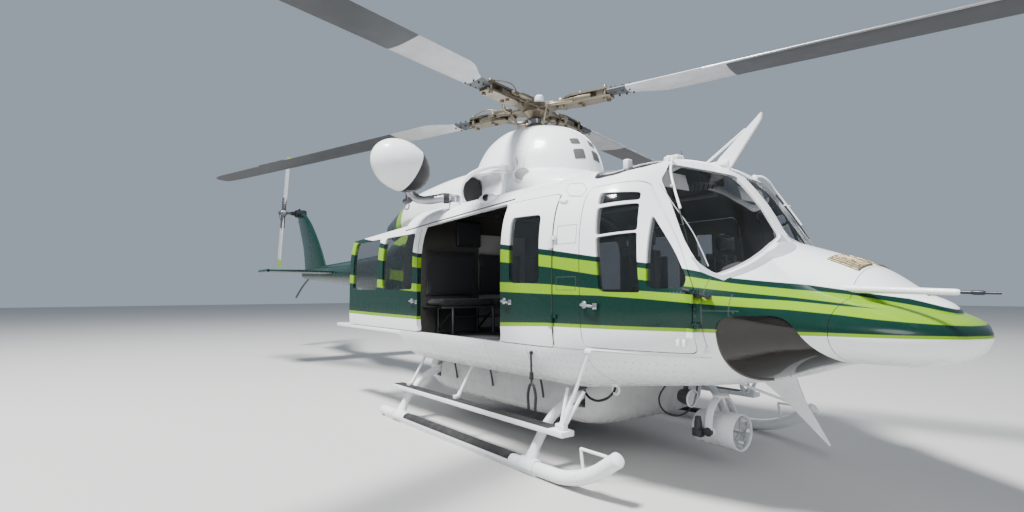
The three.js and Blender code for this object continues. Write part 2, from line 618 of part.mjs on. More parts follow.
// An elliptical tube along X on an intake's axis
function intakeTube(side, { ry, rz }, from, to) {
  const tube = new THREE.CylinderGeometry(1, 1, to - from, 20).rotateZ(Math.PI / 2).scale(1, ry, rz);
  return solidOf(tube.translate((from + to) / 2, side * INTAKE.y, INTAKE.z));
}

// The hollow of an intake's scoop: straight at the rear, running out in a rounded front
function intakeScoop(side, wall) {
  const { x, y, z, front, rear } = INTAKE;
  const [ry, rz] = [INTAKE.ry + wall, INTAKE.rz + wall];
  const bowl = new THREE.SphereGeometry(1, 20, 14).rotateZ(Math.PI / 2).scale(front + wall, ry, rz);
  const rounded = solidOf(bowl.translate(x, side * y, z)).intersect(box(rear, 1500, -1500, 1500, 2000, 3000));
  return joined(intakeTube(side, { ry, rz }, rear - wall, x), rounded);
}

function addCowlings() {
  const hullGrown = lengthwise(HULL, -FACE_GAP, 40).intersect(box(CABIN_AFT_X, 5000, -1500, 1500, 0, 3000));
  const aftGrown = lengthwise(AFT, -FACE_GAP);
  const boomGrown = lengthwise(BOOM, -FACE_GAP, 24);
  const inner = lengthwise(COWL, SKIN).intersect(box(-3200, 1100, -1500, 1500, 0, 3000));
  const bothSides = (make) => Object.values(SIDES).map(make);
  const scoops = bothSides((side) => intakeScoop(side, 0));
  const scoopWalls = bothSides((side) => intakeScoop(side, SKIN));
  const mouthStart = INTAKE.rear - INTAKE_MOUTH.depth;
  const mouths = bothSides((side) => intakeTube(side, INTAKE_MOUTH, mouthStart, INTAKE.rear + 60));
  const { from, to, radius } = EXHAUST;
  const exhausts = bothSides((side) =>
    rod([from.x, side * from.y, from.z], [to.x, side * to.y, to.z], radius, radius + 5, 16),
  );
  const mastHole = rod([0, 0, 2500], [0, 0, 2900], 110, 110, 20);
  const shell = without(cowlOuter, without(inner, ...scoopWalls), mastHole, ...scoops, ...mouths, ...exhausts);
  addPart("engine_cowling", largest(without(shell, hullGrown, aftGrown, boomGrown)), PAINT.white);

  const dome = (inset, top) =>
    skinOver(
      FAIRING.map(({ z, a, b }, i) =>
        Array.from({ length: 28 }, (_, k) => {
          const angle = (2 * Math.PI * k) / 28;
          const height = i === FAIRING.length - 1 ? z - top : z;
          return [Math.cos(angle) * (a - inset), Math.sin(angle) * (b - inset), height];
        }),
      ),
    );
  const throat = rod([0, 0, 3000], [0, 0, 3300], 95);
  const fairing = without(dome(0, 0), dome(SKIN, SKIN), lengthwise(COWL, -FACE_GAP), throat);
  addPart("mast_fairing", largest(fairing), PAINT.white);
  const gearbox = box(-330, 280, -280, 280, DECK_Z, 2540);
  const engines = box(-1900, -320, -360, 360, DECK_Z, 2560);
  addPart("engine_block", without(joined(gearbox, engines), hullGrown), PAINT.steel, null, { metalness: 0.8 });
}

function addMainRotor() {
  const top = ROTOR_HEIGHT;
  const mast = rod([0, 0, 2540 + FACE_GAP], [0, 0, top - 110], MAST_TUBE_RADIUS, MAST_TUBE_RADIUS, 20);
  addPart("rotor_mast", mast, PAINT.steel);
  const [tip, waist] = [{ x: 940, y: 55 }, { x: 420, y: 95 }];
  const front = [[-tip.x, -tip.y], [-waist.x, -waist.y], [waist.x, -waist.y], [tip.x, -tip.y]];
  const yokes = [0, 1].map((k) => {
    const arm = prism([...front, ...front.map(([x, y]) => [-x, -y])], "z", -28, 28);
    const place = new THREE.Matrix4().makeRotationZ((k * Math.PI) / 2);
    return solidOf(placed(geometryOf(arm), place));
  });
  const core = rod([0, 0, -110 + FACE_GAP], [0, 0, 120], 150, 120, 20);
  const turned = new THREE.Matrix4().makeRotationZ(ROTOR_AZIMUTH);
  const spin = new THREE.Matrix4().makeTranslation(0, 0, top).multiply(turned);
  addPart("rotor_hub", joined(core, ...yokes), PAINT.dark, spin);
  for (let k = 0; k < 4; k++) {
    const turn = new THREE.Matrix4().makeRotationZ((k * Math.PI) / 2);
    addPart(`main_blade_${k + 1}`, bladeAlongX(BLADE), PAINT.grey, spin.clone().multiply(turn));
  }
  const plate = joined(
    rod([0, 0, 3205], [0, 0, 3245], 215, 215, 20),
    ...[0, 1, 2, 3].map((k) => {
      const angle = ROTOR_AZIMUTH + (k * Math.PI) / 2 + 0.5;
      const [x, y] = [Math.cos(angle), Math.sin(angle)];
      return rod([x * 190, y * 190, 3225], [x * 290, y * 290, top - 40], 14, 14, 8);
    }),
  );
  const bore = rod([0, 0, 3100], [0, 0, 3300], MAST_TUBE_RADIUS + FACE_GAP, MAST_TUBE_RADIUS + FACE_GAP, 20);
  addPart("swashplate", without(plate, bore), PAINT.dark);
}

function addTailRotor() {
  const { x, y, z } = TAIL_ROTOR_HUB;
  const tilt = new THREE.Matrix4().makeRotationY(TAIL_ROTOR_TILT);
  const place = new THREE.Matrix4().makeTranslation(x, y, z).multiply(tilt);
  const flat = new THREE.Matrix4().makeRotationX(Math.PI / 2);
  const blades = [1, -1].map((way) => {
    const turn = new THREE.Matrix4().makeRotationY((-way * Math.PI) / 2).multiply(flat);
    return solidOf(placed(geometryOf(bladeAlongX(TAIL_BLADE)), turn));
  });
  const hub = rod([0, 60, 0], [0, -80, 0], 90, 70, 16);
  const shaft = rod([0, 400 - 230 - FACE_GAP, 0], [0, 40, 0], 32, 32, 12);
  addPart("tail_rotor", joined(hub, shaft, ...blades), PAINT.white, place);
}

// A solid with what lies inside the cabin or the aft fuselage taken off
function besideFuselage(solid) {
  return without(solid, lengthwise(HULL, -FACE_GAP, 40), lengthwise(AFT, -FACE_GAP));
}

function addLandingGear() {
  Object.entries(SIDES).forEach(([name, side]) => {
    const y = side * HALF_TRACK;
    const r = SKID_TUBE_RADIUS;
    const straight = rod([SKID_TAIL_X, y, r], [1700, y, r], r, r, 14);
    const toe = bentTube([[1690, y, r], [1900, y, r + 14], [2150, y, r + 95], [2390, y, 300]], r, 8, 14);
    const shoe = box(SKID_TAIL_X + 100, 1600, y - 40, y + 40, 0, 20);
    addPart(`skid_${name}`, joined(straight, toe, shoe), PAINT.white);
    const struts = [1750, 300, -650].map((x) => rod([x, side * 1240, 350], [x, side * 980, 800], 14, 14, 6));
    const step = box(-900, 1870, ...[side * 1200, side * 1325].sort((a, b) => a - b), 330, 372);
    addPart(`step_${name}`, besideFuselage(joined(step, ...struts)), PAINT.white);
  });
}

function crosstube(x, radius) {
  const foot = [HALF_TRACK - 10, SKID_TUBE_RADIUS + 30];
  const half = [foot, [1235, 210], [1050, 415], [820, 513], [500, 534], [160, 538]];
  const right = half.map(([y, z]) => [x, -y, z]);
  const left = half.map(([y, z]) => [x, y, z]).reverse();
  const tube = bentTube([...right, ...left], radius, 28, 10);
  const aroundSkid = (side, r, reach) => {
    const [y, z] = [side * HALF_TRACK, SKID_TUBE_RADIUS];
    return rod([x - reach, y, z], [x + reach, y, z], r, r, 14);
  };
  const upper = box(x - 100, x + 100, -1400, 1400, 40, 200);
  const saddles = [-1, 1].map((side) => aroundSkid(side, SKID_TUBE_RADIUS + 14, 90).intersect(upper));
  const tubes = [-1, 1].map((side) => aroundSkid(side, SKID_TUBE_RADIUS + FACE_GAP, 200));
  return without(joined(tube, ...saddles), lengthwise(HULL, -FACE_GAP, 40), ...tubes);
}

function addBelly() {
  Object.entries(CROSSTUBE_X).forEach(([name, x]) => {
    addPart(`crosstube_${name}`, crosstube(x, CROSSTUBE_RADIUS), PAINT.white);
  });
  const tank = lengthwise(TANK, 0, 28);
  const clear = Object.values(CROSSTUBE_X).map((x) => box(x - 60, x + 60, -1400, 1400, 430, 800));
  addPart("belly_tank", largest(without(besideFuselage(tank), ...clear)), PAINT.white);
}

function addHoist() {
  const { x, y, seatZ, dome } = HOIST;
  const path = [[x, y, 2330], ...HOIST.bends];
  const collar = rod([x, y, seatZ + FACE_GAP], [x, y, seatZ + 75], 58, 55, 14);
  addPart("hoist_arm", joined(bentTube(path, 42, 12, 12), collar), PAINT.steel);
  const pod = new THREE.SphereGeometry(1, 20, 14).scale(250, 320, 250).rotateX(THREE.MathUtils.degToRad(-24));
  const end = solidOf(new THREE.SphereGeometry(44, 12, 8).translate(...path.at(-1)));
  const socket = joined(bentTube(path, 42 + FACE_GAP, 12, 12), end);
  addPart("hoist_winch", largest(without(solidOf(pod.translate(...dome)), socket)), PAINT.white);
}

function addSearchlight() {
  const { x, y, z, seatZ } = SEARCHLIGHT;
  const top = seatZ - FACE_GAP;
  const arms = [y - 185, y + 165].map((near) => box(x - 30, x + 30, near, near + 20, z - 25, top));
  const yoke = joined(box(x - 60, x + 60, y - 185, y + 185, top - 20, top), ...arms);
  addPart("searchlight_yoke", yoke, PAINT.white);
  const pins = rod([x, y - 164.7, z], [x, y + 164.7, z], 30, 30, 10);
  const lamp = joined(rod([x - 195, y, z], [x + 180, y, z], 132, 140, 24), pins);
  addPart("searchlight_lamp", lamp, PAINT.white);
}

// Blocks given by their corners above the cabin floor, joined, and moved sideways by y
function blocksOnFloor(blocks, y = 0) {
  const floor = FLOOR_Z.high + FACE_GAP;
  const solids = blocks.map(({ low, high }) =>
    box(low[0], high[0], y + low[1], y + high[1], floor + low[2], floor + high[2]),
  );
  return joined(...solids);
}

function addInterior() {
  Object.entries(SIDES).forEach(([name, side]) => {
    addPart(`crew_seat_${name}`, blocksOnFloor(CREW_SEAT.blocks, side * CREW_SEAT.y), PAINT.seat);
  });
  const panel = blocksOnFloor(PANEL).intersect(lengthwise(HULL, WALL + FACE_GAP, 40));
  addPart("instrument_panel", panel, PAINT.dark);
  addPart("cabin_bench", blocksOnFloor(BENCH), PAINT.seat);
}

addCabin();
addGlass();
addDoors();
addAftFuselage();
addTail();
addCowlings();
addMainRotor();
addTailRotor();
addLandingGear();
addBelly();
addHoist();
addSearchlight();
addInterior();

const extent = new THREE.Box3().setFromObject(group, true);
const middleX = (extent.min.x + extent.max.x) / 2;
group.position.set(-middleX, 0, 0);
group.updateMatrixWorld(true);

export default group;
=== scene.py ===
"""A twin-engine utility helicopter on skids, with its right sliding door open."""

from __future__ import annotations

import json
import logging
import math
from dataclasses import dataclass, field
from enum import Enum
from typing import Callable, Iterable, Sequence

import bmesh
import bpy
from mathutils import Matrix, Vector

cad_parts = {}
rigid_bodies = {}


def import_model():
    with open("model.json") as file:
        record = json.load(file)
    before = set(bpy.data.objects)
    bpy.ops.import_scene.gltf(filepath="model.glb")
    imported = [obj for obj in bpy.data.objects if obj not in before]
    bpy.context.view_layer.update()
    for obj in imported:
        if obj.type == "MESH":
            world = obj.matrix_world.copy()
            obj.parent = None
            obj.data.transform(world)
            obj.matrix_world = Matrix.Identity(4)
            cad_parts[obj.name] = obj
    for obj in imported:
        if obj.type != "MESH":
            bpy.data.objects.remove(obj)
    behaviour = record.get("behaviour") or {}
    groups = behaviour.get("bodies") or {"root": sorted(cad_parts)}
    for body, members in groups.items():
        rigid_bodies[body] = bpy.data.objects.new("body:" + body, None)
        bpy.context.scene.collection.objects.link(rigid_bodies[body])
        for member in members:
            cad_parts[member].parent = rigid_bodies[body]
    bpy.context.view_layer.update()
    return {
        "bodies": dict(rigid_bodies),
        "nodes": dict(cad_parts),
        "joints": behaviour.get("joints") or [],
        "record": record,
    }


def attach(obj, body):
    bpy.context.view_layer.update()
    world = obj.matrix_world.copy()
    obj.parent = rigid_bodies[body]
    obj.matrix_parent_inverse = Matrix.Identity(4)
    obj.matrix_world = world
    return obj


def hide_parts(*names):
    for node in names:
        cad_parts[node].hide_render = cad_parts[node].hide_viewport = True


log = logging.getLogger("helicopter")

Point = tuple[float, float, float]
Outline = Sequence[tuple[float, float]]

MAST_X = 1.19386


class Axis(Enum):
    """The axis along which an outline is pulled out."""

    X = Matrix(((0, 0, 1, 0), (1, 0, 0, 0), (0, 1, 0, 0), (0, 0, 0, 1)))
    Y = Matrix(((1, 0, 0, 0), (0, 0, 1, 0), (0, 1, 0, 0), (0, 0, 0, 1)))
    Z = Matrix.Identity(4)


class Side(Enum):
    """The two sides of the aircraft, by the sign of Y."""

    RIGHT = -1
    LEFT = 1

    @property
    def word(self) -> str:
        """The side's name as the nodes spell it."""
        return self.name.lower()


class Cut(Enum):
    """How one solid acts on another."""

    AWAY = "DIFFERENCE"
    COMMON = "INTERSECT"
    TOGETHER = "UNION"


class Socket:
    """A value in a material's node tree, with arithmetic."""

    def __init__(self, tree: bpy.types.NodeTree, output: bpy.types.NodeSocket) -> None:
        """Wraps an output of a node in that tree."""
        self.tree = tree
        self.output = output

    def _math(self, operation: str, *values: Socket | float) -> Socket:
        """Adds a Math node.

        Args:
            operation: The Math node's operation.
            values: Its inputs, links or numbers.

        Returns:
            The node's result.
        """
        node = self.tree.nodes.new("ShaderNodeMath")
        node.operation = operation
        for slot, value in zip(node.inputs, values):
            if isinstance(value, Socket):
                self.tree.links.new(value.output, slot)
            else:
                slot.default_value = value
        return Socket(self.tree, node.outputs[0])

    def __add__(self, other: Socket | float) -> Socket:
        """The sum."""
        return self._math("ADD", self, other)

    def __radd__(self, other: float) -> Socket:
        """The sum, from the right."""
        return self._math("ADD", other, self)

    def __sub__(self, other: Socket | float) -> Socket:
        """The difference."""
        return self._math("SUBTRACT", self, other)

    def __rsub__(self, other: float) -> Socket:
        """The difference, from the right."""
        return self._math("SUBTRACT", other, self)

    def __mul__(self, other: Socket | float) -> Socket:
        """The product."""
        return self._math("MULTIPLY", self, other)

    def __rmul__(self, other: float) -> Socket:
        """The product, from the right."""
        return self._math("MULTIPLY", other, self)

    def __truediv__(self, other: Socket | float) -> Socket:
        """The quotient."""
        return self._math("DIVIDE", self, other)

    def __gt__(self, other: Socket | float) -> Socket:
        """One where this is larger, zero elsewhere."""
        return self._math("GREATER_THAN", self, other)

    def __lt__(self, other: Socket | float) -> Socket:
        """One where this is smaller, zero elsewhere."""
        return self._math("LESS_THAN", self, other)

    def __abs__(self) -> Socket:
        """The size without the sign."""
        return self._math("ABSOLUTE", self)

    def wrap(self, period: float) -> Socket:
        """How far the value lies from the nearest multiple of a period.

        Args:
            period: The distance between two multiples.

        Returns:
            The distance, never negative.
        """
        return abs(self._math("WRAP", self, period / 2, -period / 2))

    def edge(self, at: Socket | float, blur: float) -> Socket:
        """A soft step from zero to one.

        Args:
            at: Where the step is half way.
            blur: The width of the step.

        Returns:
            The step, clamped.
        """
        node = ((self - at) / blur + 0.5)
        return node._math("MINIMUM", node._math("MAXIMUM", node, 0.0), 1.0)


class Finish:
    """A material under construction: a Principled shader and the nodes that feed it."""

    def __init__(self, name: str, **settings: float | tuple[float, ...]) -> None:
        """Starts a material.

        Args:
            name: The material's name.
            settings: Values of the shader's own sockets, spaces spelt as underscores.
        """
        self.material = bpy.data.materials.new(name)
        self.material.use_nodes = True
        self.tree = self.material.node_tree
        self.shader = next(n for n in self.tree.nodes if n.type == "BSDF_PRINCIPLED")
        for key, value in settings.items():
            self.shader.inputs[key.replace("_", " ")].default_value = value

    def node(
        self, kind: str, settings: dict | None = None, output: int | str = 0, **values: object,
    ) -> Socket:
        """Adds a node.

        Args:
            kind: The node's type.
            settings: Attributes that are set first, such as an operation.
            output: Which output is given back.
            values: Values or links of its sockets, spaces spelt as underscores.

        Returns:
            The chosen output.
        """
        made = self.tree.nodes.new(kind)
        for key, value in (settings or {}).items():
            setattr(made, key, value)
        for key, value in values.items():
            slot = made.inputs[int(key[1:])] if key[0] == "i" and key[1:].isdigit() else made.inputs[
                key.replace("_", " ")
            ]
            if isinstance(value, Socket):
                self.tree.links.new(value.output, slot)
            else:
                slot.default_value = value
        return Socket(self.tree, made.outputs[output])

    def feed(self, name: str, value: Socket) -> None:
        """Links a value to one of the shader's sockets."""
        self.tree.links.new(value.output, self.shader.inputs[name])

    def place(self, shift: Point = (0, 0, 0)) -> Socket:
        """The place on the piece, in metres from the mast's foot.

        Args:
            shift: Added to the place, for a piece that stands away from where its pattern belongs.

        Returns:
            The vector.
        """
        where = self.node("ShaderNodeTexCoord", output="Object")
        offset = (shift[0] - MAST_X, shift[1], shift[2])
        return self.node("ShaderNodeMapping", Vector=where, Location=offset)

    def parts(self, vector: Socket) -> tuple[Socket, Socket, Socket]:
        """A vector's three parts."""
        made = self.node("ShaderNodeSeparateXYZ", Vector=vector)
        outputs = made.output.node.outputs
        return tuple(Socket(self.tree, o) for o in outputs)

    def noise(self, vector: Socket, scale: float, detail: float = 3.0) -> Socket:
        """Cloudy noise between 0 and 1."""
        return self.node("ShaderNodeTexNoise", Vector=vector, Scale=scale, Detail=detail)

    def curve(self, value: Socket, points: Sequence[tuple[float, float]]) -> Socket:
        """A curve through points of value and height.

        Args:
            value: Where on the curve.
            points: Pairs in rising order of their first number.

        Returns:
            The height there.
        """
        low, high = points[0][0], points[-1][0]
        made = self.tree.nodes.new("ShaderNodeFloatCurve")
        line = made.mapping.curves[0]
        made.mapping.use_clip = False
        for i, (x, y) in enumerate(points):
            at = (x - low) / (high - low)
            if i < 2:
                line.points[i].location = (at, y)
            else:
                line.points.new(at, y)
        for point in line.points:
            point.handle_type = "VECTOR"
        made.mapping.update()
        self.tree.links.new(((value - low) / (high - low)).output, made.inputs["Value"])
        return Socket(self.tree, made.outputs[0])

    def blend(self, mask: Socket, base: Socket | tuple, over: Socket | tuple) -> Socket:
        """Two colours mixed by a mask.

        Args:
            mask: Zero shows the base, one the other colour.
            base: A colour or a link.
            over: A colour or a link.

        Returns:
            The mixed colour.
        """
        made = self.tree.nodes.new("ShaderNodeMix")
        made.data_type = "RGBA"
        self.tree.links.new(mask.output, made.inputs[0])
        for slot, colour in ((made.inputs[6], base), (made.inputs[7], over)):
            if isinstance(colour, Socket):
                self.tree.links.new(colour.output, slot)
            else:
                slot.default_value = (*colour[:3], 1.0)
        return Socket(self.tree, made.outputs[2])

    def bump(self, height: Socket, strength: float, distance: float) -> None:
        """Feeds a height to the shader's Normal through a Bump node."""
        self.feed("Normal", self.node("ShaderNodeBump", Height=height, Strength=strength, Distance=distance))


class Bench:
    """The modelling bench: every piece is started, cut and finished here."""

    @staticmethod
    def clear() -> None:
        """Nothing stays selected or in edit mode."""
        if bpy.context.object and bpy.context.object.mode != "OBJECT":
            bpy.ops.object.mode_set(mode="OBJECT")
        bpy.ops.object.select_all(action="DESELECT")

    @staticmethod
    def pick(piece: bpy.types.Object) -> None:
        """Makes one piece the selected and active one."""
        Bench.clear()
        piece.select_set(True)
        bpy.context.view_layer.objects.active = piece

    @staticmethod
    def settle(piece: bpy.types.Object, name: str) -> bpy.types.Object:
        """Applies a piece's place to its mesh and names it."""
        Bench.pick(piece)
        bpy.ops.object.transform_apply(location=True, rotation=True, scale=True)
        piece.name = name
        piece.data.name = name
        return piece

    @staticmethod
    def from_mesh(name: str, build: Callable[[bmesh.types.BMesh], None]) -> bpy.types.Object:
        """A piece whose mesh is written face by face.

        Args:
            name: The piece's name.
            build: Fills the mesh.

        Returns:
            The new piece.
        """
        mesh = bpy.data.meshes.new(name)
        work = bmesh.new()
        build(work)
        work.to_mesh(mesh)
        work.free()
        piece = bpy.data.objects.new(name, mesh)
        bpy.context.scene.collection.objects.link(piece)
        return piece

    @staticmethod
    def skin(name: str, rings: Sequence[Sequence[Point]], closed: bool = True) -> bpy.types.Object:
        """A skin over rings of points.

        Args:
            name: The piece's name.
            rings: Rings in order, each with as many points.
            closed: Whether the two ends are closed.

        Returns:
            The new piece, with its faces pointing out.
        """

        def build(work: bmesh.types.BMesh) -> None:
            rows = [[work.verts.new(p) for p in ring] for ring in rings]
            around = len(rows[0])
            for low, high in zip(rows, rows[1:]):
                for j in range(around):
                    k = (j + 1) % around
                    work.faces.new((low[j], low[k], high[k], high[j]))
            if closed:
                work.faces.new(rows[0])
                work.faces.new(rows[-1])
            bmesh.ops.remove_doubles(work, verts=work.verts, dist=1e-5)
            bmesh.ops.recalc_face_normals(work, faces=work.faces)

        return Bench.from_mesh(name, build)

    @staticmethod
    def block(name: str, low: Point, high: Point, bevel: float = 0.0, segments: int = 2) -> bpy.types.Object:
        """A block between two corners, with its edges rounded."""
        Bench.clear()
        centre = [(a + b) / 2 for a, b in zip(low, high)]
        bpy.ops.mesh.primitive_cube_add(size=1, location=centre)
        piece = bpy.context.object
        piece.scale = [b - a for a, b in zip(low, high)]
        Bench.settle(piece, name)
        if bevel > 0:
            Bench.modify(piece, "BEVEL", width=bevel, segments=segments, limit_method="ANGLE")
        return piece

    @staticmethod
    def modify(piece: bpy.types.Object, kind: str, **settings: object) -> bpy.types.Object:
        """Adds a modifier and applies it at once.

        Args:
            piece: The piece to change.
            kind: The modifier's type.
            settings: Its settings.

        Returns:
            The same piece.
        """
        Bench.pick(piece)
        made = piece.modifiers.new(kind.title(), kind)
        for key, value in settings.items():
            setattr(made, key, value)
        bpy.ops.object.modifier_apply(modifier=made.name)
        return piece

    @staticmethod
    def rod(
        name: str, start: Point, end: Point, radius: float, far: float | None = None, sides: int = 32,
    ) -> bpy.types.Object:
        """A round bar between two points, tapered where a far radius is given."""
        a, b = Vector(start), Vector(end)
        Bench.clear()
        bpy.ops.mesh.primitive_cone_add(
            vertices=sides,
            radius1=radius,
            radius2=radius if far is None else far,
            depth=(b - a).length,
            location=(a + b) / 2,
            rotation=(b - a).to_track_quat("Z", "Y").to_euler(),
        )
        return Bench.settle(bpy.context.object, name)

    @staticmethod
    def tube(
        name: str, points: Sequence[
            Point
        ], radius: float, smooth: bool = True, rings: int = 4, loop: bool = False
    ) -> bpy.types.Object:
        """A round tube along points, with closed ends, or as a closed loop."""
        line = bpy.data.curves.new(name, "CURVE")
        line.dimensions = "3D"
        line.bevel_depth = radius
        line.bevel_resolution = rings
        line.use_fill_caps = True
        line.resolution_u = 8
        spline = line.splines.new("BEZIER" if smooth else "POLY")
        if smooth:
            spline.bezier_points.add(len(points) - 1)
            for knot, point in zip(spline.bezier_points, points):
                knot.co = point
                knot.handle_left_type = knot.handle_right_type = "AUTO"
        else:
            spline.points.add(len(points) - 1)
            for knot, point in zip(spline.points, points):
                knot.co = (*point, 1.0)
        spline.use_cyclic_u = loop
        piece = bpy.data.objects.new(name, line)
        bpy.context.scene.collection.objects.link(piece)
        Bench.pick(piece)
        bpy.ops.object.convert(target="MESH")
        piece = bpy.context.object
        piece.name = name
        return piece

    @staticmethod
    def lead(
        name: str, knots: Sequence[Point], radius: float, material: bpy.types.Material, body: str,
    ) -> None:
        """A flexible lead from one fitting of the object to another.

        Args:
            name: The lead's name.
            knots: The points that it passes.
            radius: Its radius.
            material: What it is made of.
            body: The body that it rides on.
        """
        guide = Bench.tube("guide", knots, 0.0)
        route = [tuple(point.co) for point in guide.data.vertices]
        bpy.data.objects.remove(guide)
        piece = Bench.tube(name, route, radius, smooth=False)
        Bench.dress(piece, material, body, "dark_paint", degrees=60.0)
        2 * radius

    @staticmethod
    def prism(
        name: str, outline: Outline, axis: Axis, low: float, high: float, corner: float = 0.0,
        steps: int = 8,
    ) -> bpy.types.Object:
        """An outline with rounded corners, pulled out along an axis.

        Args:
            name: The piece's name.
            outline: Pairs in the plane across the axis: (y, z), (x, z) or (x, y).
            axis: The direction of the pull.
            low: Where it starts.
            high: Where it ends.
            corner: How far the rounding reaches from each corner.
            steps: How many points round one corner.

        Returns:
            The new piece, closed.
        """
        ring = rounded(outline, corner, steps)

        def build(work: bmesh.types.BMesh) -> None:
            base = [work.verts.new(axis.value @ Vector((a, b, low))) for a, b in ring]
            top = [work.verts.new(axis.value @ Vector((a, b, high))) for a, b in ring]
            count = len(ring)
            for j in range(count):
                k = (j + 1) % count
                work.faces.new((base[j], base[k], top[k], top[j]))
            work.faces.new(base)
            work.faces.new(top)
            bmesh.ops.recalc_face_normals(work, faces=work.faces)

        return Bench.from_mesh(name, build)

    @staticmethod
    def turned(
        name: str, start: Point, profile: Outline, way: Point = (0, 0, 1), sides: int = 32,
    ) -> bpy.types.Object:
        """A closed body turned about an axis.

        Args:
            name: The piece's name.
            start: Where the profile starts.
            profile: Pairs of distance along the axis and radius.
            way: The direction of the axis.
            sides: How many facets go round.

        Returns:
            The new piece.
        """
        frame = Vector(way).normalized().to_track_quat("Z", "Y").to_matrix()
        base = Vector(start)
        rings = []
        for along, radius in profile:
            ring = [
                base + frame @ Vector((radius * math.cos(a), radius * math.sin(a), along))
                for a in full_turn(sides)
            ]
            rings.append(ring)
        return Bench.skin(name, rings)

    @staticmethod
    def kit(name: str, *rows: tuple) -> bpy.types.Object:
        """Small parts joined as one piece; each row names a method of the bench and gives its settings."""
        return Bench.merge(name, [getattr(Bench, row[0])(*row) for row in rows])

    @staticmethod
    def copy(piece: bpy.types.Object, name: str, matrix: Matrix | None = None) -> bpy.types.Object:
        """A copy with its own mesh, moved by a matrix where one is given."""
        made = bpy.data.objects.new(name, piece.data.copy())
        bpy.context.scene.collection.objects.link(made)
        if matrix is not None:
            made.data.transform(matrix)
            if matrix.determinant() < 0:
                made.data.flip_normals()
        return made

    @staticmethod
    def merge(name: str, pieces: Sequence[bpy.types.Object]) -> bpy.types.Object:
        """Several pieces as one."""
        Bench.clear()
        for piece in pieces:
            piece.select_set(True)
        bpy.context.view_layer.objects.active = pieces[0]
        if len(pieces) > 1:
            bpy.ops.object.join()
        made = bpy.context.object
        made.name = name
        made.data.name = name
        return made

    @staticmethod
    def cut(
        piece: bpy.types.Object, tool: bpy.types.Object, how: Cut, keep: bool = False,
    ) -> bpy.types.Object:
        """Cuts, joins or intersects a piece with a tool.

        Args:
            piece: The piece to change.
            tool: The other solid.
            how: What the tool does.
            keep: Whether the tool is kept.

        Returns:
            The same piece.
        """
        Bench.modify(piece, "BOOLEAN", operation=how.value, object=tool, solver="MANIFOLD")
        if not keep:
            bpy.data.objects.remove(tool)
        return piece

    @staticmethod
    def smooth(piece: bpy.types.Object, degrees: float = 30.0) -> bpy.types.Object:
        """Shades a piece smooth, with sharp edges over an angle."""
        Bench.pick(piece)
        bpy.ops.object.shade_smooth_by_angle(angle=math.radians(degrees))
        return piece

    @staticmethod
    def dress(
        piece: bpy.types.Object,
        material: bpy.types.Material,
        body: str,
        slot: str,
        stands_for: Iterable[str] = (),
        degrees: float | None = 30.0,
    ) -> bpy.types.Object:
        """Gives a finished piece its material and its body, and fills any empty material slot it has.

        Args:
            piece: The finished piece.
            material: What it is made of.
            body: The body it rides on.
            slot: The record's material slot; not used.
            stands_for: The nodes it is shown in place of.
            degrees: The smoothing angle, or None to leave the shading.

        Returns:
            The same piece.
        """
        if degrees is not None:
            Bench.smooth(piece, degrees)
        if not any(piece.data.materials):
            piece.data.materials.clear()
            piece.data.materials.append(material)
        for index, held in enumerate(piece.data.materials):
            if held is None:
                piece.data.materials[index] = material
        piece.data.transform(Matrix.Translation((MAST_X, 0.0, 0.0)))
        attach(piece, body)
        nodes = list(stands_for)
        if nodes:
            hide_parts(*nodes)
        log.info("%s: %d faces", piece.name, len(piece.data.polygons))
        return piece


def full_turn(count: int) -> list[float]:
    """Evenly spaced angles once round, in radians."""
    return [2 * math.pi * k / count for k in range(count)]


def rounded(outline: Outline, corner: float, steps: int) -> list[tuple[float, float]]:
    """An outline with its corners rounded.

    Args:
        outline: The corner points.
        corner: How far the rounding reaches from each corner.
        steps: How many points round one corner.

    Returns:
        The points of the rounded outline.
    """
    if corner <= 0:
        return list(outline)
    ring = []
    count = len(outline)
    for i, here in enumerate(outline):
        at = Vector(here)
        before = Vector(outline[i - 1]) - at
        after = Vector(outline[(i + 1) % count]) - at
        reach = min(corner, before.length / 2.2, after.length / 2.2)
        start, end = at + before.normalized() * reach, at + after.normalized() * reach
        for k in range(steps + 1):
            t = k / steps
            ring.append(tuple(start * (1 - t) ** 2 + at * 2 * t * (1 - t) + end * t**2))
    return ring


def shifted(outline: Outline, distance: float) -> list[tuple[float, float]]:
    """A convex outline moved outwards by a distance, or inwards where it is negative.

    Args:
        outline: The corner points.
        distance: How far each edge moves.

    Returns:
        The new corner points.
    """
    count = len(outline)
    area = sum(a[0] * b[1] - b[0] * a[1] for a, b in zip(outline, [*outline[1:], outline[0]]))
    edges = []
    for a, b in zip(outline, [*outline[1:], outline[0]]):
        way = Vector(b) - Vector(a)
        out = Vector((way.y, -way.x)).normalized() * math.copysign(distance, area)
        edges.append((Vector(a) + out, way))
    ring = []
    for i in range(count):
        (p, u), (q, v) = edges[i - 1], edges[i]
        t = ((q.x - p.x) * v.y - (q.y - p.y) * v.x) / (u.x * v.y - u.y * v.x)
        ring.append((p.x + u.x * t, p.y + u.y * t))
    return ring


def gentle_slopes(xs: Sequence[float], ys: Sequence[float]) -> list[float]:
    """Slopes of a smooth curve through points, which never swings past them.

    Args:
        xs: Places in rising order.
        ys: A value at each place.

    Returns:
        The slope at each place.
    """
    rates = [(y1 - y0) / (x1 - x0) for x0, x1, y0, y1 in zip(xs, xs[1:], ys, ys[1:])]
    slopes = [rates[0]]
    for before, after in zip(rates, rates[1:]):
        slopes.append(0.0 if before * after <= 0 else 2 * before * after / (before + after))
    slopes.append(rates[-1])
    return slopes


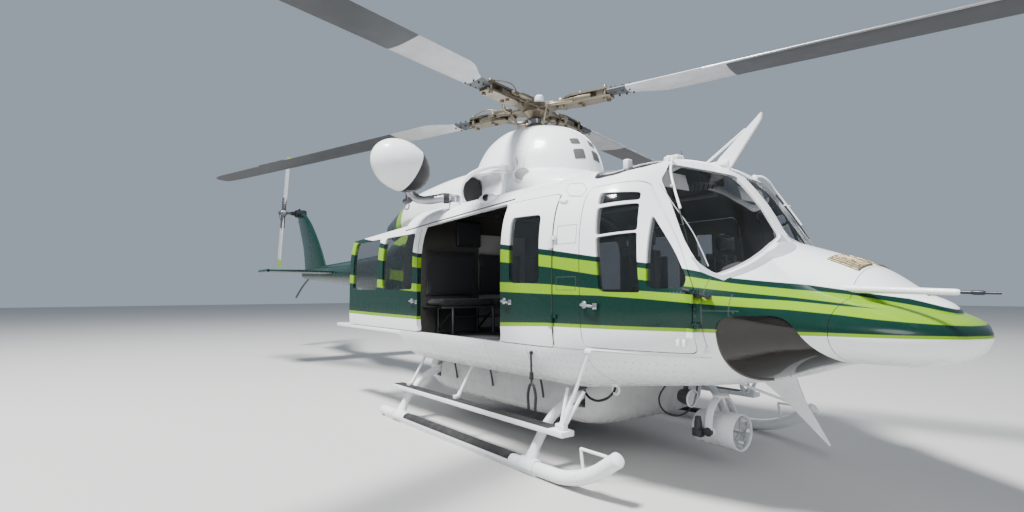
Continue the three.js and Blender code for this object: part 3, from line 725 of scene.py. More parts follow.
class SmoothTable:
    """Columns of numbers over a rising first column, smooth between the rows."""

    def __init__(self, rows: Sequence[Sequence[float]]) -> None:
        """Takes rows of a place and the values there."""
        ordered = sorted(rows)
        self.xs = [row[0] for row in ordered]
        self.columns = [[row[i] for row in ordered] for i in range(1, len(ordered[0]))]
        self.slopes = [gentle_slopes(self.xs, column) for column in self.columns]

    def at(self, x: float) -> list[float]:
        """The values at a place between the first and the last row."""
        x = min(max(x, self.xs[0]), self.xs[-1])
        i = next((k for k in range(1, len(self.xs) - 1) if x < self.xs[k]), len(self.xs) - 1) - 1
        span = self.xs[i + 1] - self.xs[i]
        t = (x - self.xs[i]) / span
        near, far = (1 + 2 * t) * (1 - t) ** 2, t * t * (3 - 2 * t)
        near_slope, far_slope = t * (1 - t) ** 2 * span, t * t * (t - 1) * span
        return [
            near * y[i] + far * y[i + 1] + near_slope * s[i] + far_slope * s[i + 1]
            for y, s in zip(self.columns, self.slopes)
        ]

    def stations(self, step: float, low: float | None = None, high: float | None = None) -> list[float]:
        """Places at every row and at most a step apart between two ends."""
        low = self.xs[0] if low is None else low
        high = self.xs[-1] if high is None else high
        knots = [low, *(x for x in self.xs if low < x < high), high]
        found = [low]
        for a, b in zip(knots, knots[1:]):
            count = max(1, math.ceil((b - a) / step))
            found += [a + (b - a) * k / count for k in range(1, count + 1)]
        return found


def quarter_arc(width: float, height: float, power: float, count: int) -> list[tuple[float, float]]:
    """A quarter of a superellipse, its points closest where it bends most.

    Args:
        width: Its half width, where it starts.
        height: Its height, where it ends.
        power: How square it is; 2 is an ellipse.
        count: How many steps.

    Returns:
        The points from (width, 0) to (0, height).
    """
    fine = 96
    raw = []
    for k in range(fine + 1):
        angle = math.pi / 2 * k / fine
        raw.append(
            (width * math.cos(angle) ** (2 / power), height * max(math.sin(angle), 0.0) ** (2 / power))
        )
    raw[-1] = (0.0, height)
    weight = [0.0]
    heading = math.pi / 2
    for a, b in zip(raw, raw[1:]):
        turn = math.atan2(b[1] - a[1], b[0] - a[0])
        length = math.hypot(b[0] - a[0], b[1] - a[1]) / (width + height)
        weight.append(weight[-1] + length + 0.5 * abs(turn - heading) / math.pi)
        heading = turn
    arc = []
    i = 0
    for k in range(count + 1):
        goal = weight[-1] * k / count
        while i < fine - 1 and weight[i + 1] < goal:
            i += 1
        t = (goal - weight[i]) / max(weight[i + 1] - weight[i], 1e-9)
        arc.append((raw[i][0] + (raw[i + 1][0] - raw[i][0]) * t, raw[i][1] + (raw[i + 1][1] - raw[i][1]) * t))
    return arc


class Loft:
    """A body along X through sections with their own lower and upper half, in metres."""

    def __init__(self, rows: Sequence[Sequence[float]]) -> None:
        """Takes rows of x, half width, bottom, widest height and top in millimetres, and the two powers."""
        self.table = SmoothTable([[*(v / 1000 for v in row[:5]), *row[5:]] for row in rows])

    def ring(self, x: float, inset: float = 0.0, quarter: int = 30) -> list[Point]:
        """The section at a station.

        Args:
            x: The station.
            inset: How far the section lies inside the surface.
            quarter: How many steps a quarter has.

        Returns:
            The points, once round.
        """
        half, bottom, middle, top, low_power, high_power = self.table.at(x)
        above = quarter_arc(half - inset, top - middle - inset, high_power, quarter)
        below = quarter_arc(half - inset, middle - bottom - inset, low_power, quarter)
        ring = [(x, y, middle + z) for y, z in above[:-1]]
        ring += [(x, -y, middle + z) for y, z in reversed(above[1:])]
        ring += [(x, -y, middle - z) for y, z in below[:-1]]
        ring += [(x, y, middle - z) for y, z in reversed(below[1:])]
        return ring

    def solid(
        self,
        name: str,
        inset: float = 0.0,
        quarter: int = 30,
        step: float = 0.06,
        low: float | None = None,
        high: float | None = None,
    ) -> bpy.types.Object:
        """A closed body between two stations."""
        stations = self.table.stations(step, low, high)
        return Bench.skin(name, [self.ring(x, inset, quarter) for x in stations])

    def within(self, point: Vector, inset: float) -> bool:
        """Whether a point lies deeper than an inset under the surface."""
        half, bottom, middle, top, low_power, high_power = self.table.at(point.x)
        over = point.z > middle
        height = (top - middle if over else middle - bottom) - inset
        power = high_power if over else low_power
        across = abs(point.y) / (half - inset)
        return across**power + abs((point.z - middle) / height) ** power < 1.0

    def side(self, x: float, z: float) -> float:
        """The half width at a station and a height."""
        half, bottom, middle, top, low_power, high_power = self.table.at(x)
        over = z > middle
        height = top - middle if over else middle - bottom
        power = high_power if over else low_power
        share = min(abs((z - middle) / height), 1.0)
        return half * (1 - share**power) ** (1 / power)

    def roof(self, x: float, y: float) -> float:
        """The height of the upper surface at a station and a distance from the middle."""
        half, _, middle, top, _, power = self.table.at(x)
        share = min(abs(y) / half, 1.0)
        return middle + (top - middle) * (1 - share**power) ** (1 / power)

    def keel(self, x: float, y: float) -> float:
        """The height of the lower surface at a station and a distance from the middle."""
        half, bottom, middle, _, power, _ = self.table.at(x)
        share = min(abs(y) / half, 1.0)
        return middle - (middle - bottom) * (1 - share**power) ** (1 / power)


class Tone(Enum):
    """The colours of the aircraft, as linear red, green and blue."""

    WHITE = (0.80, 0.81, 0.82)
    GREEN = (0.0015, 0.022, 0.015)
    LIME = (0.175, 0.335, 0.004)
    GREY = (0.50, 0.51, 0.52)
    CHARCOAL = (0.022, 0.023, 0.025)
    SOOT = (0.008, 0.008, 0.009)
    STEEL = (0.42, 0.43, 0.45)
    BRONZE = (0.26, 0.21, 0.13)
    SAND = (0.23, 0.20, 0.15)


@dataclass(frozen=True)
class Stripes:
    """The sweeping bands along the side, each edge a list of station and height in metres."""

    dark_top: Outline = ((-9.0, 2.62), (-3.2, 2.46), (-1.6, 2.22), (0.0, 1.975), (1.07, 1.778), (1.68, 1.696),
                         (
                             2.16, 1.619,
                         ), (2.50, 1.565), (2.74, 1.517), (2.96, 1.460), (3.22, 1.420), (3.45, 1.380),
                         (3.69, 1.333), (3.83, 1.285), (3.97, 1.215), (4.2, 1.09))
    lime_top: Outline = ((-9.0, 2.50), (-3.2, 2.36), (-1.6, 2.14), (0.0, 1.915), (1.08, 1.735), (1.69, 1.649),
                         (
                             2.17, 1.582,
                         ), (2.51, 1.526), (2.75, 1.471), (2.97, 1.427), (3.23, 1.386), (3.46, 1.355),
                         (3.72, 1.294), (3.83, 1.262), (3.98, 1.204), (4.2, 1.08))
    lime_foot: Outline = ((-9.0, 2.22), (-3.2, 2.14), (-1.6, 1.97), (0.0, 1.765), (
        1.11, 1.624,
    ), (1.70, 1.562),
                          (
                              2.17, 1.492,
                          ), (2.52, 1.450), (2.76, 1.409), (3.25, 1.341), (3.48, 1.302), (3.61, 1.276),
                          (4.2, 1.16))
    low_top: Outline = ((-9.0, 1.97), (-3.2, 1.83), (-1.6, 1.67), (0.0, 1.53), (1.13, 1.455), (1.71, 1.432),
                        (
                            2.18, 1.395,
                        ), (2.52, 1.380), (2.93, 1.348), (3.25, 1.321), (3.48, 1.290), (3.61, 1.276),
                        (4.2, 1.16))
    low_foot: Outline = ((-9.0, 1.80), (-3.2, 1.68), (-1.6, 1.55), (0.0, 1.435), (1.13, 1.376), (1.71, 1.359),
                         (
                             2.18, 1.350,
                         ), (2.52, 1.330), (2.93, 1.295), (3.26, 1.271), (3.49, 1.243), (3.62, 1.223),
                         (3.88, 1.192), (4.2, 1.16))
    hem_top: Outline = ((-9.0, 1.2), (
        -3.2, 1.17,
    ), (-1.6, 1.15), (0.0, 1.13), (1.1, 1.123), (1.7, 1.145), (2.7, 1.150),
                        (3.45, 1.145), (3.88, 1.135), (4.2, 1.115))
    hem_foot: Outline = ((
        -9.0, 1.16,
    ), (-3.2, 1.13), (-1.6, 1.11), (0.0, 1.095), (1.1, 1.091), (1.7, 1.119), (2.7, 1.127),
                         (3.45, 1.125), (3.88, 1.118), (4.2, 1.10))
    blur: float = 0.004

    def colour(self, finish: Finish, x: Socket, z: Socket, white: Socket) -> Socket:
        """Paints the bands over white.

        Args:
            finish: The material.
            x: The station.
            z: The height.
            white: The ground colour.

        Returns:
            The colour.
        """
        edges = (
            self.dark_top, self.lime_top, self.lime_foot, self.low_top, self.low_foot, self.hem_top,
            self.hem_foot,
        )
        over = [z.edge(finish.curve(x, edge), self.blur) for edge in edges]
        painted = (1 - over[0]) * over[6]
        lime = (1 - over[1]) * over[2] + (1 - over[3]) * over[4] + (1 - over[5]) * over[6]
        banded = finish.blend(lime, Tone.GREEN.value, Tone.LIME.value)
        return finish.blend(painted, white, banded)


@dataclass(frozen=True)
class PanelLines:
    """Seams of the skin: stations of upright ones, heights of level ones, and fields of fasteners.

    A field is a pair of corners in x and z with the distance between its fasteners.
    """

    upright: tuple[tuple[float, float, float], ...] = ()
    level: tuple[tuple[float, float, float], ...] = ()
    fields: tuple[tuple[float, float, float, float, float], ...] = ()
    width: float = 0.0035

    def depth(self, x: Socket, z: Socket) -> tuple[Socket, Socket]:
        """How strongly seams and fasteners show.

        Args:
            x: The station.
            z: The height.

        Returns:
            The seams and the fasteners, each from 0 to 1.
        """
        seams = (x < -99.0)
        for at, low, high in self.upright:
            seams = seams + (abs(x - at) < self.width) * (z > low) * (z < high)
        for at, low, high in self.level:
            seams = seams + (abs(z - at) < self.width) * (x > low) * (x < high)
        dots = (x < -99.0)
        for x0, x1, z0, z1, pitch in self.fields:
            across, up = (x - x0).wrap(pitch), (z - z0).wrap(pitch)
            near = 1 - (across * across + up * up).edge(0.0055**2, 0.0045**2)
            dots = dots + near * (x > x0) * (x < x1) * (z > z0) * (z < z1)
        return seams, dots


class Paints:
    """Every finish of the aircraft, each made once."""

    def __init__(self) -> None:
        """Mixes the finishes."""
        self.livery = self.coat("striped_paint", stripes=Stripes(), lines=HULL_LINES)
        self.livery_open = self.coat(
            "striped_paint_of_the_open_door", stripes=Stripes(), lines=HULL_LINES, shift=1.45,
        )
        self.white = self.coat("white_paint")
        self.cowl = self.cowl_paint()
        self.green = self.coat("green_paint", ground=Tone.GREEN.value)
        self.lining = self.quilted()
        self.glass = self.tinted("tinted_glass", (0.010, 0.012, 0.013), 0.38)
        self.clear = self.tinted("clear_glass", (0.016, 0.019, 0.019), 0.14)
        self.roof_glass = self.tinted("roof_glass", (0.006, 0.010, 0.016), 0.60)
        self.smoked = self.tinted("smoked_glass", (0.010, 0.008, 0.006), 0.86)
        self.blade = self.composite("blade_skin", (0.032, 0.035, 0.041), 0.42)
        self.blade_root = self.composite("blade_root_skin", (0.36, 0.36, 0.37), 0.42)
        self.rubber = self.plain("black_rubber", Tone.SOOT.value, 0.6, 60.0, 0.15)
        self.plastic = self.plain("black_plastic", Tone.CHARCOAL.value, 0.42, 240.0, 0.1)
        self.grey = self.plain("grey_paint", Tone.GREY.value, 0.4, 120.0, 0.05)
        self.sealant = self.plain("grey_sealant", (0.34, 0.36, 0.38), 0.55, 60.0, 0.1)
        self.hood = self.cloth("hood_cover", (0.018, 0.018, 0.020))
        self.hub = self.metal("hub_metal", Tone.SAND.value, 0.42)
        self.lime_band = self.coat("lime_paint", ground=Tone.LIME.value)
        # Painted shade: the tank's pale paint is coloured grey for the shade under the belly.
        self.tank = self.coat("tank_gelcoat", ground=(0.56, 0.56, 0.55))
        self.lens = self.tinted("lamp_lens", (0.5, 0.52, 0.53), 0.18)
        self.steel = self.metal("brushed_steel", Tone.STEEL.value, 0.32)
        self.dull = self.metal("dull_metal", (0.16, 0.16, 0.17), 0.42)
        self.dark_metal = self.metal("dark_metal", (0.045, 0.046, 0.05), 0.38)
        self.bronze = self.metal("bronze_mesh", Tone.BRONZE.value, 0.5)
        self.hatch = self.plain("hatch_paint", (0.46, 0.46, 0.44), 0.5, 60.0, 0.08)
        self.screen = self.mesh()
        # Painted shade: the intakes' linings and screens are coloured near-black for the shade deep in the
        # intakes.
        self.soot = self.plain("sooty_duct", Tone.SOOT.value, 0.9, 20.0, 0.2)
        self.grip = self.tread()
        self.fabric = self.cloth("seat_cloth", (0.030, 0.031, 0.036))
        self.webbing = self.cloth("harness_webbing", (0.055, 0.055, 0.058))
        self.reflector = self.metal("lamp_reflector", (0.86, 0.87, 0.88), 0.08)
        self.paper = self.plain("white_plastic", (0.66, 0.68, 0.70), 0.5, 60.0, 0.05)
        self.floor = self.plain("cabin_floor_paint", (0.07, 0.072, 0.075), 0.55, 90.0, 0.3)

    def coat(
        self,
        name: str,
        ground: tuple[float, float, float] = Tone.WHITE.value,
        stripes: Stripes | None = None,
        lines: PanelLines | None = None,
        shift: float = 0.0,
    ) -> bpy.types.Material:
        """Glossy aircraft paint.

        Args:
            name: The material's name.
            ground: The ground colour.
            stripes: The bands over it.
            lines: The seams in it.
            shift: How far ahead of the piece its pattern belongs.

        Returns:
            The material.
        """
        finish = Finish(name, Coat_Weight=0.16, Coat_Roughness=0.05, Specular_IOR_Level=0.25)
        place = finish.place((shift, 0, 0))
        x, _, z = finish.parts(place)
        clouds = finish.noise(place, 2.2, 5.0)
        grime = finish.noise(place, 14.0, 6.0)
        pale = finish.blend(clouds.edge(0.55, 0.5) * 0.22, ground, tuple(v * 0.86 for v in ground))
        worn = finish.blend(
            grime.edge(0.66, 0.12) * (1 - z.edge(0.85, 0.5)) * 0.30, pale, tuple(v * 0.6 for v in ground),
        )
        colour = stripes.colour(finish, x, z, worn) if stripes else worn
        height = finish.noise(place, 420.0, 2.0) * 0.02
        if lines:
            seams, dots = lines.depth(x, z)
            colour = finish.blend(seams * 0.55, colour, (0.05, 0.055, 0.06))
            colour = finish.blend(dots * 0.5, colour, (0.12, 0.13, 0.14))
            height = height + dots * 0.6 - seams
        finish.feed("Base Color", colour)
        finish.feed("Roughness", grime * 0.16 + 0.20)
        finish.bump(height, 0.35, 0.0015)
        return finish.material

    def cowl_paint(self) -> bpy.types.Material:
        """The white paint of the cowling, green and lime at its aft end, with its panel seams."""
        finish = Finish("cowling_paint", Coat_Weight=0.16, Coat_Roughness=0.05, Specular_IOR_Level=0.25)
        place = finish.place()
        x, y, z = finish.parts(place)
        clouds = finish.noise(place, 2.2, 5.0)
        soot = finish.noise(place, 9.0, 5.0)
        white = finish.blend(clouds.edge(0.55, 0.5) * 0.22, Tone.WHITE.value, (0.69, 0.70, 0.71))
        back = -2.05 - x
        swept = back + (z - 2.42) * 0.55
        lime = swept.edge(0.0, 0.008)
        green = (swept - 0.34).edge(0.0, 0.008)
        colour = finish.blend(lime, white, Tone.LIME.value)
        colour = finish.blend(green, colour, Tone.GREEN.value)
        sooty = (-2.85 - x).edge(0.0, 0.5) * soot * 0.5
        colour = finish.blend(sooty, colour, Tone.SOOT.value)
        seams = (x < -99.0)
        for at in (1.04, 0.44, -0.52, -1.28, -2.05):
            seams = seams + (abs(x - at) < 0.003)
        seams = seams + (abs(y) < 0.0025) * (x > 0.4)
        colour = finish.blend(seams * 0.4, colour, (0.10, 0.11, 0.12))
        finish.feed("Base Color", colour)
        finish.feed("Roughness", soot * 0.16 + 0.20)
        finish.bump(finish.noise(place, 420.0, 2.0) * 0.02 - seams, 0.35, 0.0015)
        return finish.material

    def tinted(self, name: str, colour: tuple[float, float, float], cover: float) -> bpy.types.Material:
        """Tinted acrylic with faint smears."""
        finish = Finish(name, Base_Color=(*colour, 1.0), Alpha=cover, Specular_IOR_Level=0.55)
        place = finish.place()
        smear = finish.noise(place, 5.0, 6.0)
        finish.feed("Roughness", smear.edge(0.62, 0.3) * 0.08 + 0.03)
        finish.feed(
            "Base Color",
            finish.blend(smear.edge(0.6, 0.4) * 0.3, colour, tuple(v * 2.2 + 0.01 for v in colour)),
        )
        return finish.material

    def plain(
        self, name: str, colour: tuple[float, float, float], rough: float, scale: float, relief: float,
    ) -> bpy.types.Material:
        """A moulded or painted surface with fine grain and slight wear."""
        finish = Finish(name)
        place = finish.place()
        grain = finish.noise(place, scale, 4.0)
        wear = finish.noise(place, scale / 12, 5.0)
        finish.feed(
            "Base Color",
            finish.blend(wear.edge(0.58, 0.4) * 0.5, colour, tuple(v * 1.35 + 0.008 for v in colour)),
        )
        finish.feed("Roughness", grain * 0.18 + rough - 0.08)
        finish.bump(grain, relief, 0.002)
        return finish.material

    def metal(self, name: str, colour: tuple[float, float, float], rough: float) -> bpy.types.Material:
        """Worked metal with brush marks and stains."""
        finish = Finish(name, Metallic=0.9)
        place = finish.place()
        stains = finish.noise(place, 7.0, 6.0)
        brush = finish.noise(
            finish.node("ShaderNodeMapping", Vector=place, Scale=(30.0, 220.0, 220.0)), 1.0, 2.0,
        )
        finish.feed(
            "Base Color",
            finish.blend(stains.edge(0.56, 0.35) * 0.55, colour, tuple(v * 0.55 for v in colour)),
        )
        finish.feed("Roughness", brush * 0.16 + stains * 0.12 + rough - 0.12)
        finish.bump(brush, 0.06, 0.001)
        return finish.material

    def composite(self, name: str, colour: tuple[float, float, float], rough: float) -> bpy.types.Material:
        """Blade skin: matt paint, streaked pale outwards."""
        finish = Finish(name)
        place = finish.place()
        streak = finish.noise(finish.node("ShaderNodeMapping", Vector=place, Scale=(2.0, 2.0, 8.0)), 3.0, 6.0)
        grain = finish.noise(place, 260.0, 3.0)
        finish.feed(
            "Base Color",
            finish.blend(streak.edge(0.58, 0.3) * 0.4, colour, tuple(v * 1.5 + 0.01 for v in colour)),
        )
        finish.feed("Roughness", grain * 0.15 + rough)
        finish.bump(grain, 0.08, 0.001)
        return finish.material

    def mesh(self) -> bpy.types.Material:
        """Woven wire, with painted shade in its gaps for the dark hole behind it."""
        finish = Finish("wire_screen", Metallic=0.3, Roughness=0.5)
        x, y, z = finish.parts(finish.place())
        pitch = 0.009
        gap_depth_and_shade = ((x + z).wrap(pitch) > pitch * 0.30) + (y.wrap(pitch) > pitch * 0.30)
        # Painted shade: the gaps between the wires are coloured near-black for the dark hole behind the
        # screen.
        finish.feed("Base Color", finish.blend(gap_depth_and_shade * 0.5, (0.17, 0.17, 0.16), (0.03, 0.03, 0.028)))
        finish.bump(gap_depth_and_shade * -0.5, 0.6, 0.002)
        return finish.material

    def tread(self) -> bpy.types.Material:
        """Black grip tape with coarse grit."""
        finish = Finish("grip_tape")
        place = finish.place()
        grit = finish.noise(place, 520.0, 3.0)
        dust = finish.noise(place, 12.0, 5.0)
        finish.feed(
            "Base Color",
            finish.blend(dust.edge(0.6, 0.3) * 0.5, (0.012, 0.012, 0.013), (0.06, 0.058, 0.052)),
        )
        finish.feed("Roughness", grit * 0.2 + 0.7)
        finish.bump(grit, 0.7, 0.002)
        return finish.material

    def cloth(self, name: str, colour: tuple[float, float, float]) -> bpy.types.Material:
        """Woven cloth."""
        finish = Finish(name, Sheen_Weight=0.3)
        place = finish.place()
        fuzz = finish.noise(place, 90.0, 4.0)
        warp = finish.node(
            "ShaderNodeTexWave", {
                "bands_direction": "DIAGONAL"
            }, output="Fac", Vector=place, Scale=130.0, Distortion=0.4
        )
        weft = finish.node(
            "ShaderNodeTexWave", {"bands_direction": "Y"}, output="Fac", Vector=place, Scale=130.0,
            Distortion=0.4,
        )
        weave = warp * weft
        finish.feed("Base Color", finish.blend(
            weave * 0.5 + fuzz * 0.2, tuple(v * 0.7 for v in colour), tuple(v * 1.8 for v in colour),
        ))
        finish.feed("Roughness", fuzz * 0.1 + 0.82)
        finish.bump(weave, 0.5, 0.001)
        return finish.material

    def quilted(self) -> bpy.types.Material:
        """Grey vinyl lining, sewn in squares, with painted shade making it darker above 2 m."""
        finish = Finish("quilted_lining")
        place = finish.place()
        x, y, z = finish.parts(place)
        grain = finish.noise(place, 300.0, 3.0)
        rise = (x + z * 0.8 + abs(y) * 0.6).wrap(0.11) + (x * -1 + z * 0.8 + abs(y) * 0.6).wrap(0.11)
        stain = finish.noise(place, 3.0, 4.0)
        # Painted shade: the lining is coloured darker above 2 m, over the ceiling and the tops of the walls.
        finish.feed("Base Color", finish.blend(
            stain.edge(0.5, 0.6) * 0.35,
            finish.blend(z.edge(2.0, 0.15), (0.085, 0.083, 0.076), (0.022, 0.021, 0.018)),
            (0.10, 0.096, 0.088),
        ))
        finish.feed("Roughness", grain * 0.2 + 0.5)
        finish.bump(rise * 8 + grain * 0.1, 0.4, 0.006)
        return finish.material


HULL_LINES = PanelLines(
    upright=(
        (2.03, 0.62, 0.985),
        (0.86, 0.60, 0.95),
        (-0.1, 0.60, 0.95),
        (2.86, 1.0, 1.46),
        (3.0, 0.80, 1.36),
        (1.44, 0.60, 0.95),
        (1.80, 1.725, 1.86),
        (1.985, 1.725, 1.86),
        (1.80, 1.388, 1.483),
        (1.99, 1.388, 1.483),
    ),
    level=(
        (0.965, -0.7, 2.85),
        (1.26, 2.86, 3.05),
        (1.725, 1.80, 1.985),
        (1.86, 1.80, 1.985),
        (1.388, 1.80, 1.99),
        (1.483, 1.80, 1.99),
    ),
    fields=(
        (1.14, 1.40, 0.66, 0.90, 0.040),
        (1.50, 1.96, 0.70, 0.93, 0.055),
        (2.10, 2.70, 0.745, 0.93, 0.052),
        (2.825, 2.865, 1.0, 1.44, 0.045),
        (3.02, 3.06, 0.85, 1.30, 0.050),
        (0.0, 0.80, 0.66, 0.93, 0.060),
        (2.50, 2.80, 1.368, 1.382, 0.020),
    ),
)


WALL = 0.040
PANE_INSET = 0.012
GLASS = 0.006
DOOR_GAP = 0.005
DOOR_CORNER = 0.055
SLIDE_OPEN = 1.45
CABIN_AFT_X = -0.76
NOSE_SPLIT_X = 3.45
SILL_GAP = 0.003
INSET_SKIN_END_X = 3.6

# Sections: x, half width, bottom, height of the widest point, top in millimetres,
# and the lower and upper power
HULL = Loft(
    (
        (4008, 14, 1106, 1115, 1124, 2.0, 2.0),
        (4002, 60, 1085, 1115, 1145, 2.0, 2.0),
        (3988, 120, 1062, 1115, 1167, 2.0, 2.0),
        (3950, 265, 1012, 1115, 1204, 2.2, 2.2),
        (3860, 420, 960, 1118, 1245, 2.3, 2.3),
        (3720, 570, 925, 1127, 1295, 2.3, 2.3),
        (3450, 750, 925, 1150, 1370, 2.3, 2.2),
        (3240, 875, 880, 1180, 1455, 2.3, 2.1),
        (2990, 1005, 790, 1240, 1650, 2.4, 2.0),
        (2850, 1075, 750, 1280, 1770, 2.6, 1.8),
        (2700, 1140, 720, 1290, 2030, 2.7, 1.65),
        (2450, 1215, 680, 1260, 2320, 2.8, 2.15),
        (2250, 1255, 655, 1250, 2415, 2.9, 3.2),
        (1990, 1290, 625, 1250, 2365, 3.1, 4.2),
        (1500, 1320, 575, 1250, 2355, 3.8, 4.8),
        (-800, 1320, 575, 1250, 2350, 3.8, 4.8),
    )
)
NOSE_DECK = Loft(
    (
        (3885, 40, 1130, 1180, 1212, 2.0, 2.0),
        (3865, 130, 1100, 1180, 1262, 2.0, 2.0),
        (3820, 220, 1100, 1180, 1310, 2.0, 2.0),
        (3700, 310, 1100, 1200, 1365, 2.0, 2.2),
        (3450, 450, 1100, 1250, 1535, 2.0, 2.2),
        (3240, 520, 1100, 1300, 1620, 2.0, 2.2),
        (2900, 700, 1100, 1350, 1735, 2.0, 2.1),
    )
)
AFT = Loft(
    (
        (-760.3, 1250, 600, 1250, 2300, 3.2, 3.2),
        (-1500, 1215, 680, 1290, 2260, 2.6, 2.8),
        (-2100, 960, 860, 1400, 2200, 2.4, 2.5),
        (-2640, 640, 1120, 1560, 2130, 2.2, 2.3),
        (-3000, 430, 1290, 1660, 2070, 2.1, 2.1),
    )
)

# Outlines seen from the side, as x and z
CREW_DOOR = ((2.035, 0.990), (2.800, 0.990), (2.815, 1.370), (2.345, 2.160), (2.010, 2.125))
CREW_WINDOW = ((2.190, 1.375), (2.492, 1.370), (2.352, 2.072), (2.118, 2.080))
QUARTER_WINDOW = ((2.535, 1.390), (2.750, 1.402), (2.746, 1.460), (2.445, 1.910))
HINGED_PANEL = ((1.115, 0.965), (1.755, 0.965), (1.755, 2.120), (1.115, 2.120))
HINGED_WINDOW = ((1.240, 1.445), (1.615, 1.442), (1.605, 1.972), (1.225, 1.985))
SLIDING_DOOR = ((-0.755, 0.965), (1.105, 0.965), (1.105, 2.120), (-0.755, 2.020))
SLIDING_WINDOWS = (
    ((-0.640, 1.400), (0.100, 1.400), (0.100, 2.000), (-0.640, 2.000)),
    ((0.240, 1.400), (0.980, 1.400), (0.980, 2.000), (0.240, 2.000)),
)
# The crew door's window is parted by two bars
CREW_OPENINGS = (
    ((2.127, 1.988), (2.366, 2.011), (2.352, 2.072), (2.118, 2.080)),
    ((2.150, 1.768), (2.410, 1.791), (2.371, 1.988), (2.130, 1.965)),
    ((2.190, 1.375), (2.492, 1.370), (2.412, 1.777), (2.151, 1.754)),
)
CHIN_WINDOW = ((2.935, 1.225), (3.270, 1.238), (3.440, 0.930), (3.440, 0.640), (2.870, 0.640))
# The windshield pane seen from the front, as y and z, and the roof window from above, as x and y
WINDSHIELD = (
    (0.060, 1.775), (0.060, 2.270), (0.400, 2.297), (0.655, 2.322), (0.815, 2.180), (0.948, 1.560),
    (0.918, 1.478),
)
ROOF_WINDOW = (
    (1.870, 0.300), (2.250, 0.300), (2.290, 0.598), (2.298, 0.729), (2.262, 0.890), (2.147, 1.028),
    (1.980, 1.086), (1.880, 0.940),
)


def through_side(
    name: str, outline: Outline, side: Side, corner: float, start: float = 0.4,
) -> bpy.types.Object:
    """A side outline pulled out through one side of the cabin.

    Args:
        name: The cutter's name.
        outline: Its corners in x and z.
        side: Which side.
        corner: How far its corners are rounded.
        start: How far off the middle it starts.

    Returns:
        The cutter.
    """
    low, high = sorted((side.value * start, side.value * 1.6))
    return Bench.prism(name, outline, Axis.Y, low, high, corner)


def open_to_rear(outline: Outline) -> list[tuple[float, float]]:
    """The sliding door's outline run out to the rear, where the doorway has no post."""
    rear = min(x for x, _ in outline)
    return [(x - 0.2 if x == rear else x, z) for x, z in outline]


